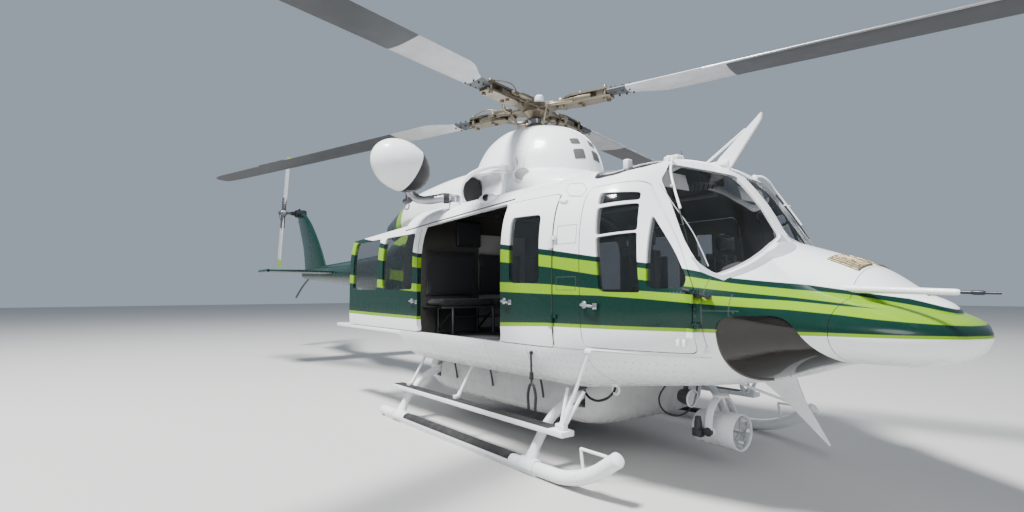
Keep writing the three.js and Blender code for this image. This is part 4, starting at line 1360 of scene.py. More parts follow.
class Cabin:
    """The cabin's shell, its doors and panes and the nose, cut from one smooth skin."""

    def __init__(self, paints: Paints) -> None:
        """Makes the whole skin that the pieces are cut from."""
        self.paints = paints
        self.outer = Bench.cut(HULL.solid("outer"), NOSE_DECK.solid("deck_outer", step=0.04), Cut.TOGETHER)
        inner = HULL.solid("inner", WALL, quarter=20, step=0.09, high=INSET_SKIN_END_X)
        room = Bench.block("room", (-0.9, -1.5, 0.0), (NOSE_SPLIT_X - 0.02, 1.5, 3.0))
        self.inner = Bench.cut(inner, room, Cut.COMMON)
        self.shell = Bench.copy(self.outer, "shell")
        Bench.cut(self.shell, self.inner, Cut.AWAY, keep=True)
        self.panes = HULL.solid("pane_outer", PANE_INSET, high=INSET_SKIN_END_X)
        within = HULL.solid("pane_inner", PANE_INSET + GLASS, high=INSET_SKIN_END_X + 0.01)
        Bench.cut(self.panes, within, Cut.AWAY)

    def line_inside(self, piece: bpy.types.Object, outside: bpy.types.Material, shift: float = 0.0) -> None:
        """Gives the faces of a piece's inner wall the lining.

        Args:
            piece: The piece.
            outside: The material of all other faces.
            shift: How far the piece stands behind the place where it was cut.
        """
        piece.data.materials.clear()
        piece.data.materials.append(outside)
        piece.data.materials.append(self.paints.lining)
        for face in piece.data.polygons:
            centre = face.center + Vector((shift, 0, 0))
            face.material_index = int(HULL.within(centre, WALL - 0.004))

    def skin(self) -> None:
        """The cabin and lower hull with every opening cut."""
        piece = Bench.cut(
            Bench.copy(self.shell, "cabin_skin"),
            Bench.block("ahead", (CABIN_AFT_X, -1.5, 0), (NOSE_SPLIT_X, 1.5, 3)), Cut.COMMON,
        )
        for side in Side:
            for outline in (CREW_DOOR, HINGED_PANEL, open_to_rear(SLIDING_DOOR)):
                Bench.cut(
                    piece, through_side("doorway", shifted(outline, DOOR_GAP), side, DOOR_CORNER),
                    Cut.AWAY,
                )
            Bench.cut(piece, through_side("chin", CHIN_WINDOW, side, 0.09, 0.28), Cut.AWAY)
            screen = [(y * side.value, z) for y, z in WINDSHIELD]
            Bench.cut(piece, Bench.prism("screen", screen, Axis.X, 2.3, 3.15, 0.03), Cut.AWAY)
            roof = [(x, y * side.value) for x, y in ROOF_WINDOW]
            Bench.cut(piece, Bench.prism("roof", roof, Axis.Z, 2.1, 2.5, 0.05), Cut.AWAY)
        self.line_inside(piece, self.paints.livery)
        Bench.dress(piece, self.paints.livery, "airframe", "white_paint", ("lower_hull", "cabin_frame"))

    def nose(self) -> None:
        """The radome ahead of the nose bulkhead."""
        piece = Bench.copy(self.outer, "nose_radome")
        Bench.cut(piece, Bench.block("front", (NOSE_SPLIT_X + SILL_GAP, -1.5, 0), (5, 1.5, 3)), Cut.COMMON)
        Bench.dress(piece, self.paints.livery, "airframe", "white_paint", ("nose_cone",))

    def pane(
        self, name: str, tool: bpy.types.Object, glass: bpy.types.Material, body: str, node: str,
        shift: float = 0.0,
    ) -> None:
        """A pane cut from the layer of glass.

        Args:
            name: The pane's name.
            tool: The cutter that gives its outline.
            glass: Its material.
            body: The body it rides on.
            node: The node it stands for.
            shift: How far it stands behind the place where it was cut.
        """
        piece = Bench.cut(Bench.copy(self.panes, name), tool, Cut.COMMON)
        Bench.modify(piece, "WELD", merge_threshold=0.0005)
        piece.data.transform(Matrix.Translation((-shift, 0, 0)))
        Bench.dress(piece, glass, body, "tinted_glass", (node,))

    def glazing(self) -> None:
        """The panes of the cabin itself."""
        for side in Side:
            screen = [(y * side.value, z) for y, z in shifted(WINDSHIELD, -0.0006)]
            tool = Bench.prism("screen", screen, Axis.X, 2.301, 3.149, 0.03)
            self.pane(
                f"windshield_pane_{side.word}", tool, self.paints.clear, "airframe",
                f"windshield_{side.word}",
            )
            tool = through_side("chin", shifted(CHIN_WINDOW, -0.0006), side, 0.09, 0.2806)
            self.pane(
                f"chin_pane_{side.word}", tool, self.paints.smoked, "airframe", f"chin_window_{side.word}",
            )
            roof = [(x, y * side.value) for x, y in shifted(ROOF_WINDOW, -0.0006)]
            tool = Bench.prism("roof", roof, Axis.Z, 2.101, 2.499, 0.05)
            self.pane(
                f"roof_pane_{side.word}", tool, self.paints.roof_glass, "airframe",
                f"roof_window_{side.word}",
            )

    def door(
        self, kind: str, side: Side, outline: Outline, windows: Sequence[Outline], shift: float = 0.0,
    ) -> None:
        """A door cut from the skin, with its panes.

        Args:
            kind: The door's name without its side.
            side: Which side.
            outline: Its corners in x and z.
            windows: The corners of its windows.
            shift: How far back it stands open.
        """
        node = f"{kind}_{side.word}"
        piece = Bench.cut(
            Bench.copy(self.shell, f"{node}_panel"), through_side("leaf", outline, side, DOOR_CORNER),
            Cut.COMMON,
        )
        if kind == "sliding_door":
            rear = SLIDING_DOOR[0][0]
            Bench.cut(piece, Bench.block("rear", (rear, -1.5, 0), (2, 1.5, 3)), Cut.COMMON)
        if kind == "hinged_panel":
            hinge_x, hinge_y = 1.760, 1.318 * side.value
            reach = Bench.rod("swing", (hinge_x, hinge_y, 0), (hinge_x, hinge_y, 3), 0.648, sides=256)
            Bench.cut(piece, reach, Cut.COMMON)
        for window in (*CREW_OPENINGS, QUARTER_WINDOW) if kind == "crew_door" else windows:
            Bench.cut(
                piece, through_side("window", window, side, 0.02 if window in CREW_OPENINGS else 0.05),
                Cut.AWAY,
            )
        paint = self.paints.livery_open if shift else self.paints.livery
        self.line_inside(piece, paint)
        piece.data.transform(Matrix.Translation((-shift, 0, 0)))
        Bench.dress(piece, paint, node, "white_paint", (node,))
        for i, window in enumerate(windows):
            tool = through_side("window", shifted(window, -0.0006), side, 0.05)
            last = f"_{i + 1}" if len(windows) > 1 else ""
            self.pane(
                f"{kind}_pane_{side.word}{last}", tool, self.paints.glass, node,
                f"{kind}_glass_{side.word}{last}", shift,
            )

    def doors(self) -> None:
        """The six doors."""
        for side in Side:
            self.door("crew_door", side, CREW_DOOR, (CREW_WINDOW, QUARTER_WINDOW))
            self.door("hinged_panel", side, HINGED_PANEL, (HINGED_WINDOW,))
            shift = SLIDE_OPEN if side is Side.RIGHT else 0.0
            self.door("sliding_door", side, open_to_rear(SLIDING_DOOR), SLIDING_WINDOWS, shift)

    def clear_tools(self) -> None:
        """Takes the skins that were only cut from off the bench."""
        for tool in (self.outer, self.inner, self.shell, self.panes):
            bpy.data.objects.remove(tool)

    def build(self) -> None:
        """Makes every piece of the cabin."""
        self.skin()
        self.nose()
        self.glazing()
        self.doors()
        self.clear_tools()


BOOM = Loft(
    (
        (-2900, 450, 1265, 1650, 2085, 2.1, 2.1),
        (-3000.3, 425, 1295, 1660, 2065, 2.1, 2.1),
        (-4600, 315, 1420, 1690, 1960, 2.1, 2.1),
        (-7000, 190, 1590, 1740, 1900, 2.1, 2.1),
        (-8200, 125, 1660, 1770, 1880, 2.1, 2.1),
        (-8330, 60, 1700, 1780, 1850, 2.0, 2.0),
        (-8340, 20, 1750, 1780, 1808, 2.0, 2.0),
    )
)
COWL = Loft(
    (
        (1345, 200, 2200, 2300, 2380, 2.0, 2.2),
        (1330, 330, 2100, 2300, 2425, 2.0, 2.4),
        (1080, 580, 2100, 2300, 2540, 2.0, 2.8),
        (560, 730, 2100, 2300, 2660, 2.0, 3.2),
        (0, 810, 2100, 2300, 2715, 2.0, 3.6),
        (-620, 830, 2100, 2330, 2765, 2.0, 3.4),
        (-1500, 790, 2080, 2320, 2750, 2.0, 2.9),
        (-2300, 600, 2080, 2320, 2680, 2.0, 2.5),
        (-3250, 330, 2120, 2320, 2510, 2.0, 2.2),
    )
)


@dataclass(frozen=True)
class Tail:
    """The aft fuselage, the boom and what the boom carries."""

    paints: Paints
    # The fin from its root up: height, leading edge, trailing edge, half thickness
    fin: tuple[tuple[float, ...], ...] = (
        (1.79, -6.85, -8.33, 0.062),
        (2.30, -7.30, -8.48, 0.058),
        (2.90, -7.98, -8.85, 0.052),
        (3.17, -8.42, -9.01, 0.045),
    )
    # A stabiliser from its root out: distance from the middle, chord, thickness,
    # how far the leading edge is ahead
    stabiliser: tuple[tuple[float, ...], ...] = ((0.10, 0.762, 0.09, 0.331), (1.43, 0.62, 0.06, 0.29))
    stabiliser_place: tuple[float, float] = (-6.15, 1.76)
    gearbox: Point = (-8.76, 0.0, 3.21)
    rail: tuple[float, float] = (-2.68, -0.7603)

    def build(self) -> None:
        """Makes every piece of the tail."""
        self.fuselage()
        self.boom()
        self.upright()
        self.level()
        self.gears()
        self.rails()
        self.fittings()

    def fuselage(self) -> None:
        """The tapering body behind the cabin."""
        piece = AFT.solid("aft_skin", step=0.05)
        for finish in (self.paints.livery, self.paints.lining):
            piece.data.materials.append(finish)
        for face in piece.data.polygons:
            face.material_index = int(face.normal.x > 0.99)
        Bench.dress(piece, self.paints.livery, "airframe", "white_paint", ("aft_fuselage",))

    def boom(self) -> None:
        """The boom with the tube that guards its end."""
        body = BOOM.solid("boom_skin", quarter=16, step=0.16)
        guard = Bench.tube(
            "guard", ((-8.0, 0, 1.69), (-8.5, 0, 1.50), (-8.75, 0, 1.375), (-9.0, 0, 1.24)), 0.022,
        )
        piece = Bench.merge("boom_skin", (body, guard))
        Bench.dress(piece, self.paints.green, "airframe", "green_paint", ("tail_boom",))

    def upright(self) -> None:
        """The swept fin, thick in the middle and thin at its edges."""
        table = SmoothTable(self.fin)
        rings = []
        for z in table.stations(0.06):
            lead, trail, half = table.at(z)
            rings.append([(x, y, z) for x, y in foil(lead, trail, half)])
        top, (lead, trail, half) = self.fin[-1][0], table.at(self.fin[-1][0])
        for k in (1, 2, 3):
            bend = math.sin(math.pi / 6 * k)
            tip = [
                (x, y * math.cos(math.pi / 6 * k), top + 0.03 * bend)
                for x, y in foil(lead - 0.03 * k / 3, trail + 0.02 * k / 3, half)
            ]
            rings.append(tip)
        piece = Bench.skin("fin_skin", rings)
        Bench.modify(piece, "WELD", merge_threshold=0.0002)
        Bench.dress(piece, self.paints.green, "airframe", "green_paint", ("tail_fin",))

    def level(self) -> None:
        """The stabilisers, one on each side of the boom."""
        at_x, at_z = self.stabiliser_place
        table = SmoothTable(self.stabiliser)
        for side in Side:
            rings = []
            for y in [*table.stations(0.12), *(1.43 + 0.018 * math.sin(math.pi / 6 * k) for k in (1, 2, 3))]:
                chord, thick, lead = table.at(y)
                round_off = math.sqrt(max(1 - (max(y - 1.43, 0) / 0.0181) ** 2, 0.0))
                wing = foil(at_x + lead, at_x + lead - chord, thick / 2 * 0.9)
                rings.append([(x, side.value * y, at_z + t * max(round_off, 0.05)) for x, t in wing])
            plate = Bench.skin("plate", rings)
            strip = Bench.rod(
                "strip", (at_x - 0.33, side.value * 1.42, at_z), (at_x + 0.29, side.value * 1.42, at_z),
                0.028,
            )
            piece = Bench.merge(f"stabiliser_skin_{side.word}", (plate, strip))
            Bench.dress(piece, self.paints.green, "airframe", "green_paint", (f"stabiliser_{side.word}",))

    def gears(self) -> None:
        """The gearbox that carries the tail rotor, with its bolts and filler."""
        x, _, z = self.gearbox
        rings = (
            (0.11, 0.07), (0.10, 0.095), (0.06, 0.10), (0.02, 0.097), (-0.09, 0.092), (-0.125, 0.088),
            (-0.14, 0.07),
        )
        rings += ((-0.145, 0.052), (-0.20, 0.046), (-0.23, 0.040))
        case = []
        for y, radius in rings:
            case.append([(x + radius * math.cos(a), y, z + radius * math.sin(a)) for a in full_turn(40)])
        parts = [Bench.skin("case", case)]
        for k in range(8):
            angle = k * math.pi / 4
            near = (x + 0.078 * math.cos(angle), 0.10, z + 0.078 * math.sin(angle))
            far = (near[0], 0.118, near[2])
            parts.append(Bench.rod("bolt", near, far, 0.009, sides=6))
        parts.append(Bench.rod("filler", (x, -0.04, z + 0.08), (x, -0.04, z + 0.125), 0.022))
        piece = Bench.merge("tail_gearbox_case", parts)
        Bench.dress(piece, self.paints.dark_metal, "airframe", "dark_paint", ("tail_gearbox",))

    def rails(self) -> None:
        """The rails on which the sliding doors run back."""
        start, end = self.rail
        for side in Side:
            low, high = sorted((side.value * 1.15, side.value * 1.305))
            piece = Bench.block(f"door_rail_bar_{side.word}", (start, low, 0.92), (end, high, 0.96), 0.004)
            Bench.dress(piece, self.paints.white, "airframe", "white_paint", (f"door_rail_{side.word}",))

    def fittings(self) -> None:
        """A lamp on the tail, two aerials under the boom and the drive shaft's cover along its top."""
        stations = BOOM.table.stations(0.3, -8.1, -3.0)
        rings = []
        for x in stations:
            top = BOOM.table.at(x)[3]
            rings.append([
                (x, 0.055 * math.cos(a), top - 0.012 + 0.045 * max(math.sin(a), -0.3))
                for a in full_turn(24)
            ])
        cover = Bench.skin("shaft_cover", rings)
        Bench.dress(cover, self.paints.green, "airframe", "green_paint")
        lamp = Bench.turned(
            "tail_lamp", (-8.95, 0.0, 3.04), ((0.0, 0.03), (0.02, 0.03), (0.035, 0.022), (0.04, 0.0)),
            Vector((-1, 0, 0.2)),
        )
        Bench.dress(lamp, self.paints.clear, "airframe", "white_paint")
        for x, tall in ((-4.2, 0.16), (-5.1, 0.12)):
            top = BOOM.keel(x, 0.0)
            blade = Bench.prism("aerial", (
                (x - 0.06, top + 0.01), (x + 0.07, top + 0.01), (x - 0.02, top - tall),
                (x - 0.07, top - tall),
            ), Axis.Y, -0.006, 0.006, 0.012)
            blade.name = f"belly_aerial_{abs(x):.0f}"
            Bench.dress(blade, self.paints.white, "airframe", "white_paint")


def foil(lead: float, trail: float, half: float, count: int = 22) -> list[tuple[float, float]]:
    """A symmetrical aerofoil, round at its leading edge.

    Args:
        lead: The leading edge's place.
        trail: The trailing edge's place.
        half: Half its thickness.
        count: How many points each face has.

    Returns:
        Pairs of place along the chord and height, once round.
    """
    face = []
    for k in range(count + 1):
        along = (1 - math.cos(math.pi * k / count)) / 2
        height = 2.6 * math.sqrt(along) * (1 - along) + 0.018
        face.append((lead + (trail - lead) * along, half * height))
    return face + [(x, -t) for x, t in reversed(face)]


@dataclass(frozen=True)
class Powerplant:
    """The engine cowling with its intakes, the mast's fairing and the roof's fittings."""

    paints: Paints
    intake: Point = (0.0, 0.80, 2.49)
    half: tuple[float, float] = (0.265, 0.180)
    mouth_y: float = 0.662
    front: float = 0.38
    rear: float = -0.32
    mouth: tuple[float, float] = (0.120, 0.158)
    lip: tuple[Point, ...] = (
        (-0.315, 0.80, 2.30),
        (-0.335, 0.806, 2.40),
        (-0.335, 0.788, 2.53),
        (-0.30, 0.735, 2.635),
        (-0.20, 0.685, 2.690),
        (-0.03, 0.660, 2.705),
        (0.16, 0.650, 2.690),
        (0.32, 0.650, 2.640),
    )
    exhaust: Point = (-3.18, 0.165, 2.375)
    # The fairing from its foot up: height, half length, half width
    fairing: tuple[tuple[float, ...], ...] = (
        (2.50, 0.90, 0.64),
        (2.75, 0.85, 0.60),
        (2.90, 0.785, 0.545),
        (3.02, 0.69, 0.48),
        (3.11, 0.56, 0.40),
        (3.16, 0.43, 0.33),
        (3.178, 0.33, 0.27),
    )

    def build(self) -> None:
        """Makes every piece on the roof."""
        self.cowling()
        self.ducts()
        self.dome()

    def scoop(self, side: Side) -> bpy.types.Object:
        """The hollow of one intake: square-shouldered, deep at its rear and running out ahead."""
        _, y, z = self.intake
        rings = []
        for k in range(17):
            ahead = math.sin(math.pi / 2 * k / 16) * 0.9995
            at = self.rear + (self.front - self.rear) * ahead
            deep, tall = math.sqrt(1 - ahead**2), (1 - ahead**6) ** (1 / 6)
            ring = []
            for a in full_turn(64):
                c, s = math.cos(a), math.sin(a)
                wide = self.half[0] * (deep if c < 0 else tall)
                ring.append((
                    at, (y + wide * math.copysign(abs(c) ** 0.5, c)) * side.value,
                    z + self.half[1] * tall * math.copysign(abs(s) ** 0.5, s),
                ))
            rings.append(ring)
        return Bench.skin("scoop", rings)

    def oval(
        self, name: str, side: Side, half: tuple[float, float], start: float, end: float,
    ) -> bpy.types.Object:
        """An oval bar along an intake's axis."""
        y, z = self.mouth_y, self.intake[2]
        rings = [
            [(x, side.value * (y + half[0] * math.cos(a)), z + half[1] * math.sin(a)) for a in full_turn(48)]
            for x in (start, end)
        ]
        return Bench.skin(name, rings)

    def cowling(self) -> None:
        """The cowling with scoops, mouths and exhaust holes cut, and a raised lip round each intake."""
        piece = COWL.solid("cowling_skin", quarter=26, step=0.07)
        Bench.cut(piece, HULL.solid("cabin", 0.008, quarter=20, step=0.12, high=3.3), Cut.AWAY)
        for side in Side:
            Bench.cut(piece, self.scoop(side), Cut.AWAY)
            Bench.cut(
                piece, self.oval("mouth", side, self.mouth, self.rear - 0.45, self.rear + 0.06), Cut.AWAY,
            )
            lip = [(px, py * side.value, pz) for px, py, pz in self.lip]
            Bench.dress(
                Bench.tube(f"intake_lip_{side.word}", lip, 0.026, rings=8), self.paints.cowl, "airframe",
                "white_paint",
            )
            x, y, z = self.exhaust
            hole = Bench.rod(
                "hole", (x + 0.25, y * side.value * 0.95, z - 0.03),
                (x - 0.2, y * side.value * 1.1, z + 0.03), 0.10, sides=40,
            )
            Bench.cut(piece, hole, Cut.AWAY)
        Bench.dress(piece, self.paints.cowl, "airframe", "white_paint", ("engine_cowling", "engine_block"))

    def ducts(self) -> None:
        """What lines the intakes and the exhausts: mouths coloured near-black as painted shade, with a
        screen, and sooty pipes.
        """
        mid_y, mid_z = self.mouth_y, self.intake[2]
        for side in Side:
            ring = Bench.modify(
                self.oval(
                    "sleeve", side, (self.mouth[0] - 0.002, self.mouth[1] - 0.002), self.rear - 0.44,
                    self.rear + 0.02,
                ),
                "SOLIDIFY", thickness=0.004, offset=-1.0,
            )
            back = self.rear - 0.24
            screen = [ring]
            for k in range(-4, 5):
                y = k * 0.027
                reach = self.mouth[1] * math.sqrt(max(1 - (y / self.mouth[0]) ** 2, 0.0))
                at_y = side.value * (mid_y + y)
                screen.append(Bench.rod(
                    "wire", (back, at_y, mid_z - reach), (back, at_y, mid_z + reach), 0.003, sides=6,
                ))
            for k in range(-5, 6):
                z = k * 0.03
                reach = self.mouth[0] * math.sqrt(max(1 - (z / self.mouth[1]) ** 2, 0.0))
                near, far = side.value * (mid_y - reach), side.value * (mid_y + reach)
                screen.append(
                    Bench.rod("wire", (back, near, mid_z + z), (back, far, mid_z + z), 0.003, sides=6)
                )
            piece = Bench.merge(f"intake_duct_{side.word}", screen)
            # Painted shade: the capped lining shows as a near-black oval in each intake's mouth.
            Bench.dress(piece, self.paints.soot, "airframe", "dark_paint")
            x, y, z = self.exhaust
            way = Vector((-0.45, side.value * 0.03, 0.06))
            pipe = Bench.turned(
                f"exhaust_pipe_{side.word}",
                (x + 0.22, y * side.value, z - 0.03),
                ((0.0, 0.088), (0.26, 0.092), (0.272, 0.094), (0.272, 0.086), (0.03, 0.082), (0.03, 0.0)),
                way,
                40,
            )
            Bench.dress(pipe, self.paints.dull, "airframe", "steel")

    def dome(self) -> None:
        """The fairing round the mast, drawn in to a flat rim, with its throat open, and its grilles."""
        table = SmoothTable(self.fairing)
        rings = []
        for z in table.stations(0.022):
            a, b = table.at(z)
            rings.append([(a * math.cos(t), b * math.sin(t), z) for t in full_turn(96)])
        piece = Bench.skin("mast_dome", rings)
        Bench.cut(piece, Bench.rod("throat", (0, 0, 2.9), (0, 0, 3.4), 0.095, sides=48), Cut.AWAY)
        for side in Side:
            Bench.cut(piece, self.scoop(side), Cut.AWAY)
        grown = Bench.modify(Bench.copy(piece, "grown"), "DISPLACE", strength=0.004, mid_level=0.0)
        boxes = []
        for x, z, length, wide in ((0.755, 2.914, 0.075, 0.05), (0.828, 2.772, 0.110, 0.06)):
            for way in (-1, 1):
                box = Bench.block("box", (-0.05, -wide, -length / 2), (0.05, wide, length / 2), 0.012)
                box.data.transform(Matrix.Translation((x, way * 0.115, z)) @ Matrix.Rotation(-0.5, 4, "Y"))
                boxes.append(box)
        grilles = Bench.cut(grown, Bench.merge("boxes", boxes), Cut.COMMON)
        grilles.name = "fairing_grilles"
        Bench.dress(grilles, self.paints.screen, "airframe", "steel")
        Bench.dress(piece, self.paints.cowl, "airframe", "white_paint", ("mast_fairing",))


@dataclass(frozen=True)
class MainRotor:
    """The four-blade main rotor: mast, yokes, grips, dampers, links and blades."""

    paints: Paints
    height: float = 3.46
    azimuth: float = math.radians(16.7)
    # A blade from its root out: radius, chord, thickness, how far the leading edge is ahead of the axis
    blade: tuple[tuple[float, ...], ...] = (
        (0.9403, 0.19, 0.070, 0.095),
        (1.15, 0.23, 0.062, 0.100),
        (1.50, 0.40, 0.050, 0.110),
        (1.60, 0.40, 0.049, 0.110),
        (6.50, 0.40, 0.044, 0.110),
        (6.80, 0.36, 0.036, 0.100),
        (6.95, 0.27, 0.028, 0.082),
        (7.01, 0.20, 0.018, 0.066),
    )

    def spin(self, quarter: int) -> Matrix:
        """The place of one blade's arm, drawn along X."""
        lift = Matrix.Translation((0, 0, self.height))
        return lift @ Matrix.Rotation(self.azimuth + quarter * math.pi / 2, 4, "Z")

    def build(self) -> None:
        """Makes every piece of the rotor."""
        self.mast()
        self.hub()
        self.swashplate()
        for quarter in range(4):
            self.make_blade(quarter)

    def mast(self) -> None:
        """The mast: a turned shaft with a splined band."""
        profile = ((2.5403, 0.0), (2.5403, 0.062), (3.19, 0.062), (3.20, 0.058), (3.348, 0.058), (3.35, 0.0))
        shaft = Bench.turned("shaft", (0, 0, 0), [(z, r) for z, r in profile], (0, 0, 1), 48)
        splines = [
            Bench.rod(
                "spline", (0.0585 * math.cos(a), 0.0585 * math.sin(a), 3.27),
                (0.0585 * math.cos(a), 0.0585 * math.sin(a), 3.345), 0.0035, sides=6,
            )
            for a in full_turn(30)
        ]
        Bench.dress(
            Bench.merge("mast_shaft", [shaft, *splines]), self.paints.steel, "main_rotor", "steel",
            ("rotor_mast",),
        )

    def arm(self) -> list[bpy.types.Object]:
        """One arm of the hub along X: a tapered flexing yoke, its grip, damper and pitch horn."""
        yoke = []
        for x, half, thick in (
            (0.0, 0.13, 0.030), (0.14, 0.12, 0.030), (0.30, 0.085, 0.018), (0.46, 0.078, 0.016),
            (0.60, 0.080, 0.026), (0.74, 0.072, 0.030),
        ):
            yoke.append([(x, y * half, z * thick) for y, z in (
                (-1, -0.7), (-0.94, -1), (0.94, -1), (1, -0.7), (1, 0.7), (0.94, 1), (-0.94, 1), (-1, 0.7),
            )])
        parts = [Bench.skin("yoke", yoke)]
        for lift in (-1, 1):
            plate = Bench.prism("grip", (
                (0.40, -0.055), (0.52, -0.088), (0.90, -0.080), (0.965, -0.055), (0.965, 0.055),
                (0.90, 0.080), (0.52, 0.088), (0.40, 0.055),
            ), Axis.Z, lift * 0.043 - 0.011, lift * 0.043 + 0.011, 0.02, 4)
            parts.append(plate)
        for x, y in ((0.60, 0.035), (0.60, -0.035), (0.90, 0.045), (0.90, -0.045)):
            parts.append(Bench.turned(
                "bolt", (x, y, -0.075),
                ((0.0, 0.02), (0.012, 0.022), (0.138, 0.022), (0.15, 0.018), (0.158, 0.010)), (0, 0, 1),
                12,
            ))
        parts.append(Bench.turned(
            "bearing", (0.34, 0, -0.052), ((0, 0.05), (0.02, 0.056), (0.084, 0.056), (0.104, 0.05)),
            (0, 0, 1), 24,
        ))
        parts.append(Bench.turned(
            "damper", (0.30, 0.145, 0.012),
            ((0, 0.0), (0, 0.026), (0.06, 0.030), (0.17, 0.030), (0.19, 0.016), (0.27, 0.014)),
            (1, -0.12, 0.02), 20,
        ))
        parts.append(Bench.block("lug", (0.52, 0.075, -0.012), (0.60, 0.135, 0.03), 0.006))
        parts.append(Bench.block("lug", (0.28, 0.08, -0.02), (0.335, 0.165, 0.035), 0.006))
        horn = Bench.tube(
            "horn",
            ((0.52, -0.07, -0.035), (0.42, -0.15, -0.045), (0.33, -0.19, -0.050), (0.265, -0.185, -0.050)),
            0.019,
        )
        parts.append(horn)
        parts.append(Bench.turned(
            "eye", (0.262, -0.185, -0.075), ((0, 0.018), (0.004, 0.024), (0.046, 0.024), (0.05, 0.018)),
            (0, 0, 1), 16,
        ))
        parts.append(Bench.tube(
            "bond", ((0.46, 0.06, 0.05), (0.62, 0.115, 0.085), (0.80, 0.09, 0.075), (0.93, 0.055, 0.055)),
            0.006,
        ))
        return parts

    def hub(self) -> None:
        """The hub: four arms, the cone that clamps them and the weights over them."""
        pieces = []
        for quarter in range(4):
            arm = Bench.merge("arm", self.arm())
            arm.data.transform(self.spin(quarter))
            pieces.append(arm)
        profile = (
            (-0.109, 0.0), (-0.109, 0.09), (-0.07, 0.125), (-0.045, 0.15), (0.03, 0.15), (0.045, 0.12),
            (0.055, 0.085), (0.085, 0.082), (0.10, 0.065), (0.116, 0.05), (0.118, 0.0),
        )
        core = Bench.turned("core", (0, 0, self.height), profile, (0, 0, 1), 48)
        bolts = [
            Bench.rod(
                "bolt", (0.1 * math.cos(a), 0.1 * math.sin(a), self.height + 0.04),
                (0.1 * math.cos(a), 0.1 * math.sin(a), self.height + 0.062), 0.011, sides=6,
            )
            for a in full_turn(12)
        ]
        piece = Bench.merge("hub_and_grips", [*pieces, core, *bolts])
        Bench.dress(piece, self.paints.hub, "main_rotor", "dark_paint", ("rotor_hub",), 35)
        for quarter in range(4):
            boot = Bench.turned(
                f"pendulum_{quarter + 1}", (0.185, 0, 0.034),
                ((0, 0.0), (0, 0.045), (0.012, 0.05), (0.05, 0.05), (0.066, 0.036), (0.07, 0.0)),
                (0, 0, 1), 24,
            )
            boot.data.transform(self.spin(quarter) @ Matrix.Rotation(math.pi / 4, 4, "Z"))
            Bench.dress(boot, self.paints.paper, "main_rotor", "white_paint")

    def swashplate(self) -> None:
        """The swashplate with its bearing ring, its boots and the pitch links up to the horns."""
        z = 3.205
        profile = (
            (0.0, 0.064), (0.0, 0.19), (0.008, 0.205), (0.018, 0.213), (0.028, 0.205), (0.04, 0.17),
            (0.05, 0.11), (0.075, 0.09), (0.085, 0.064), (0.0, 0.064),
        )
        rings = [[(r * math.cos(a), r * math.sin(a), z + up) for a in full_turn(48)] for up, r in profile]
        plate = Bench.skin("plate", rings, closed=False)
        parts = [plate]
        for quarter in range(4):
            angle = self.azimuth + quarter * math.pi / 2 - 0.61
            foot = Vector((0.205 * math.cos(angle), 0.205 * math.sin(angle), z + 0.02))
            angle = self.azimuth + quarter * math.pi / 2 - 0.615
            head = Vector((0.32 * math.cos(angle), 0.32 * math.sin(angle), self.height - 0.055))
            way = head - foot
            for share, radius in ((0.0, 0.022), (0.93, 0.022)):
                at = foot + way * share
                parts.append(Bench.turned(
                    "rod_end", at, ((0, 0.012), (0.004, radius), (0.022, radius), (0.028, 0.012)), way, 14,
                ))
            parts.append(Bench.rod("link", foot, head, 0.011, sides=12))
            parts.append(Bench.rod("sleeve", foot + way * 0.25, foot + way * 0.75, 0.015, sides=12))
        for angle in (self.azimuth + 0.25, self.azimuth + 0.25 + math.pi):
            near = (0.08 * math.cos(angle), 0.08 * math.sin(angle), 3.27)
            knee = (0.17 * math.cos(angle), 0.17 * math.sin(angle), 3.305)
            far = (0.1 * math.cos(angle), 0.1 * math.sin(angle), 3.352)
            parts.append(Bench.tube("scissor", (near, knee, far), 0.014, smooth=False))
        piece = Bench.merge("swashplate_and_links", parts)
        Bench.dress(piece, self.paints.hub, "main_rotor", "dark_paint", ("swashplate",), 35)

    def make_blade(self, quarter: int) -> None:
        """One blade: its skin, pale near the root, and the steel strip along its leading edge."""
        table = SmoothTable(self.blade)
        rings = []
        for r in table.stations(0.11):
            chord, thick, lead = table.at(r)
            twist = math.radians(
                4.0 - 8.0 * (r - 1.5) / 5.5
            ) if r > 1.5 else math.radians(4.0) * max(r - 1.0, 0) / 0.5
            ring = []
            for along, up in foil(0.0, 1.0, thick / 2, 16):
                y, z = -lead + along * chord, up * (0.88 if up < 0 else 1.0)
                ring.append((
                    r, y * math.cos(twist * 0.25) - z * math.sin(twist * 0.25),
                    y * math.sin(twist * 0.25) + z * math.cos(twist * 0.25),
                ))
            rings.append(ring)
        skin = Bench.skin(f"blade_skin_{quarter + 1}", rings)
        skin.data.materials.append(self.paints.blade)
        skin.data.materials.append(self.paints.blade_root)
        skin.data.materials.append(self.paints.steel)
        for face in skin.data.polygons:
            chord, thick, lead = table.at(face.center.x)
            ahead = (face.center.y + lead) / chord
            face.material_index = 2 if ahead < 0.035 and face.center.x > 1.9 else int(
                1.13 < face.center.x < 2.1
            )
        parts = [skin]
        for y in (-0.05, 0.055):
            for x in (1.02, 1.10, 1.18):
                parts.append(Bench.rod("bolt", (x, y, -0.037), (x, y, 0.042), 0.010, sides=6))
        for x in (4.6, 4.85, 5.1):
            parts.append(Bench.block("tab", (x, 0.284, -0.0015), (x + 0.22, 0.318, 0.0015)))
        piece = Bench.merge(f"blade_skin_{quarter + 1}", parts)
        piece.data.transform(self.spin(quarter))
        Bench.dress(piece, self.paints.blade, "main_rotor", "blade_paint", (f"main_blade_{quarter + 1}",), 40)


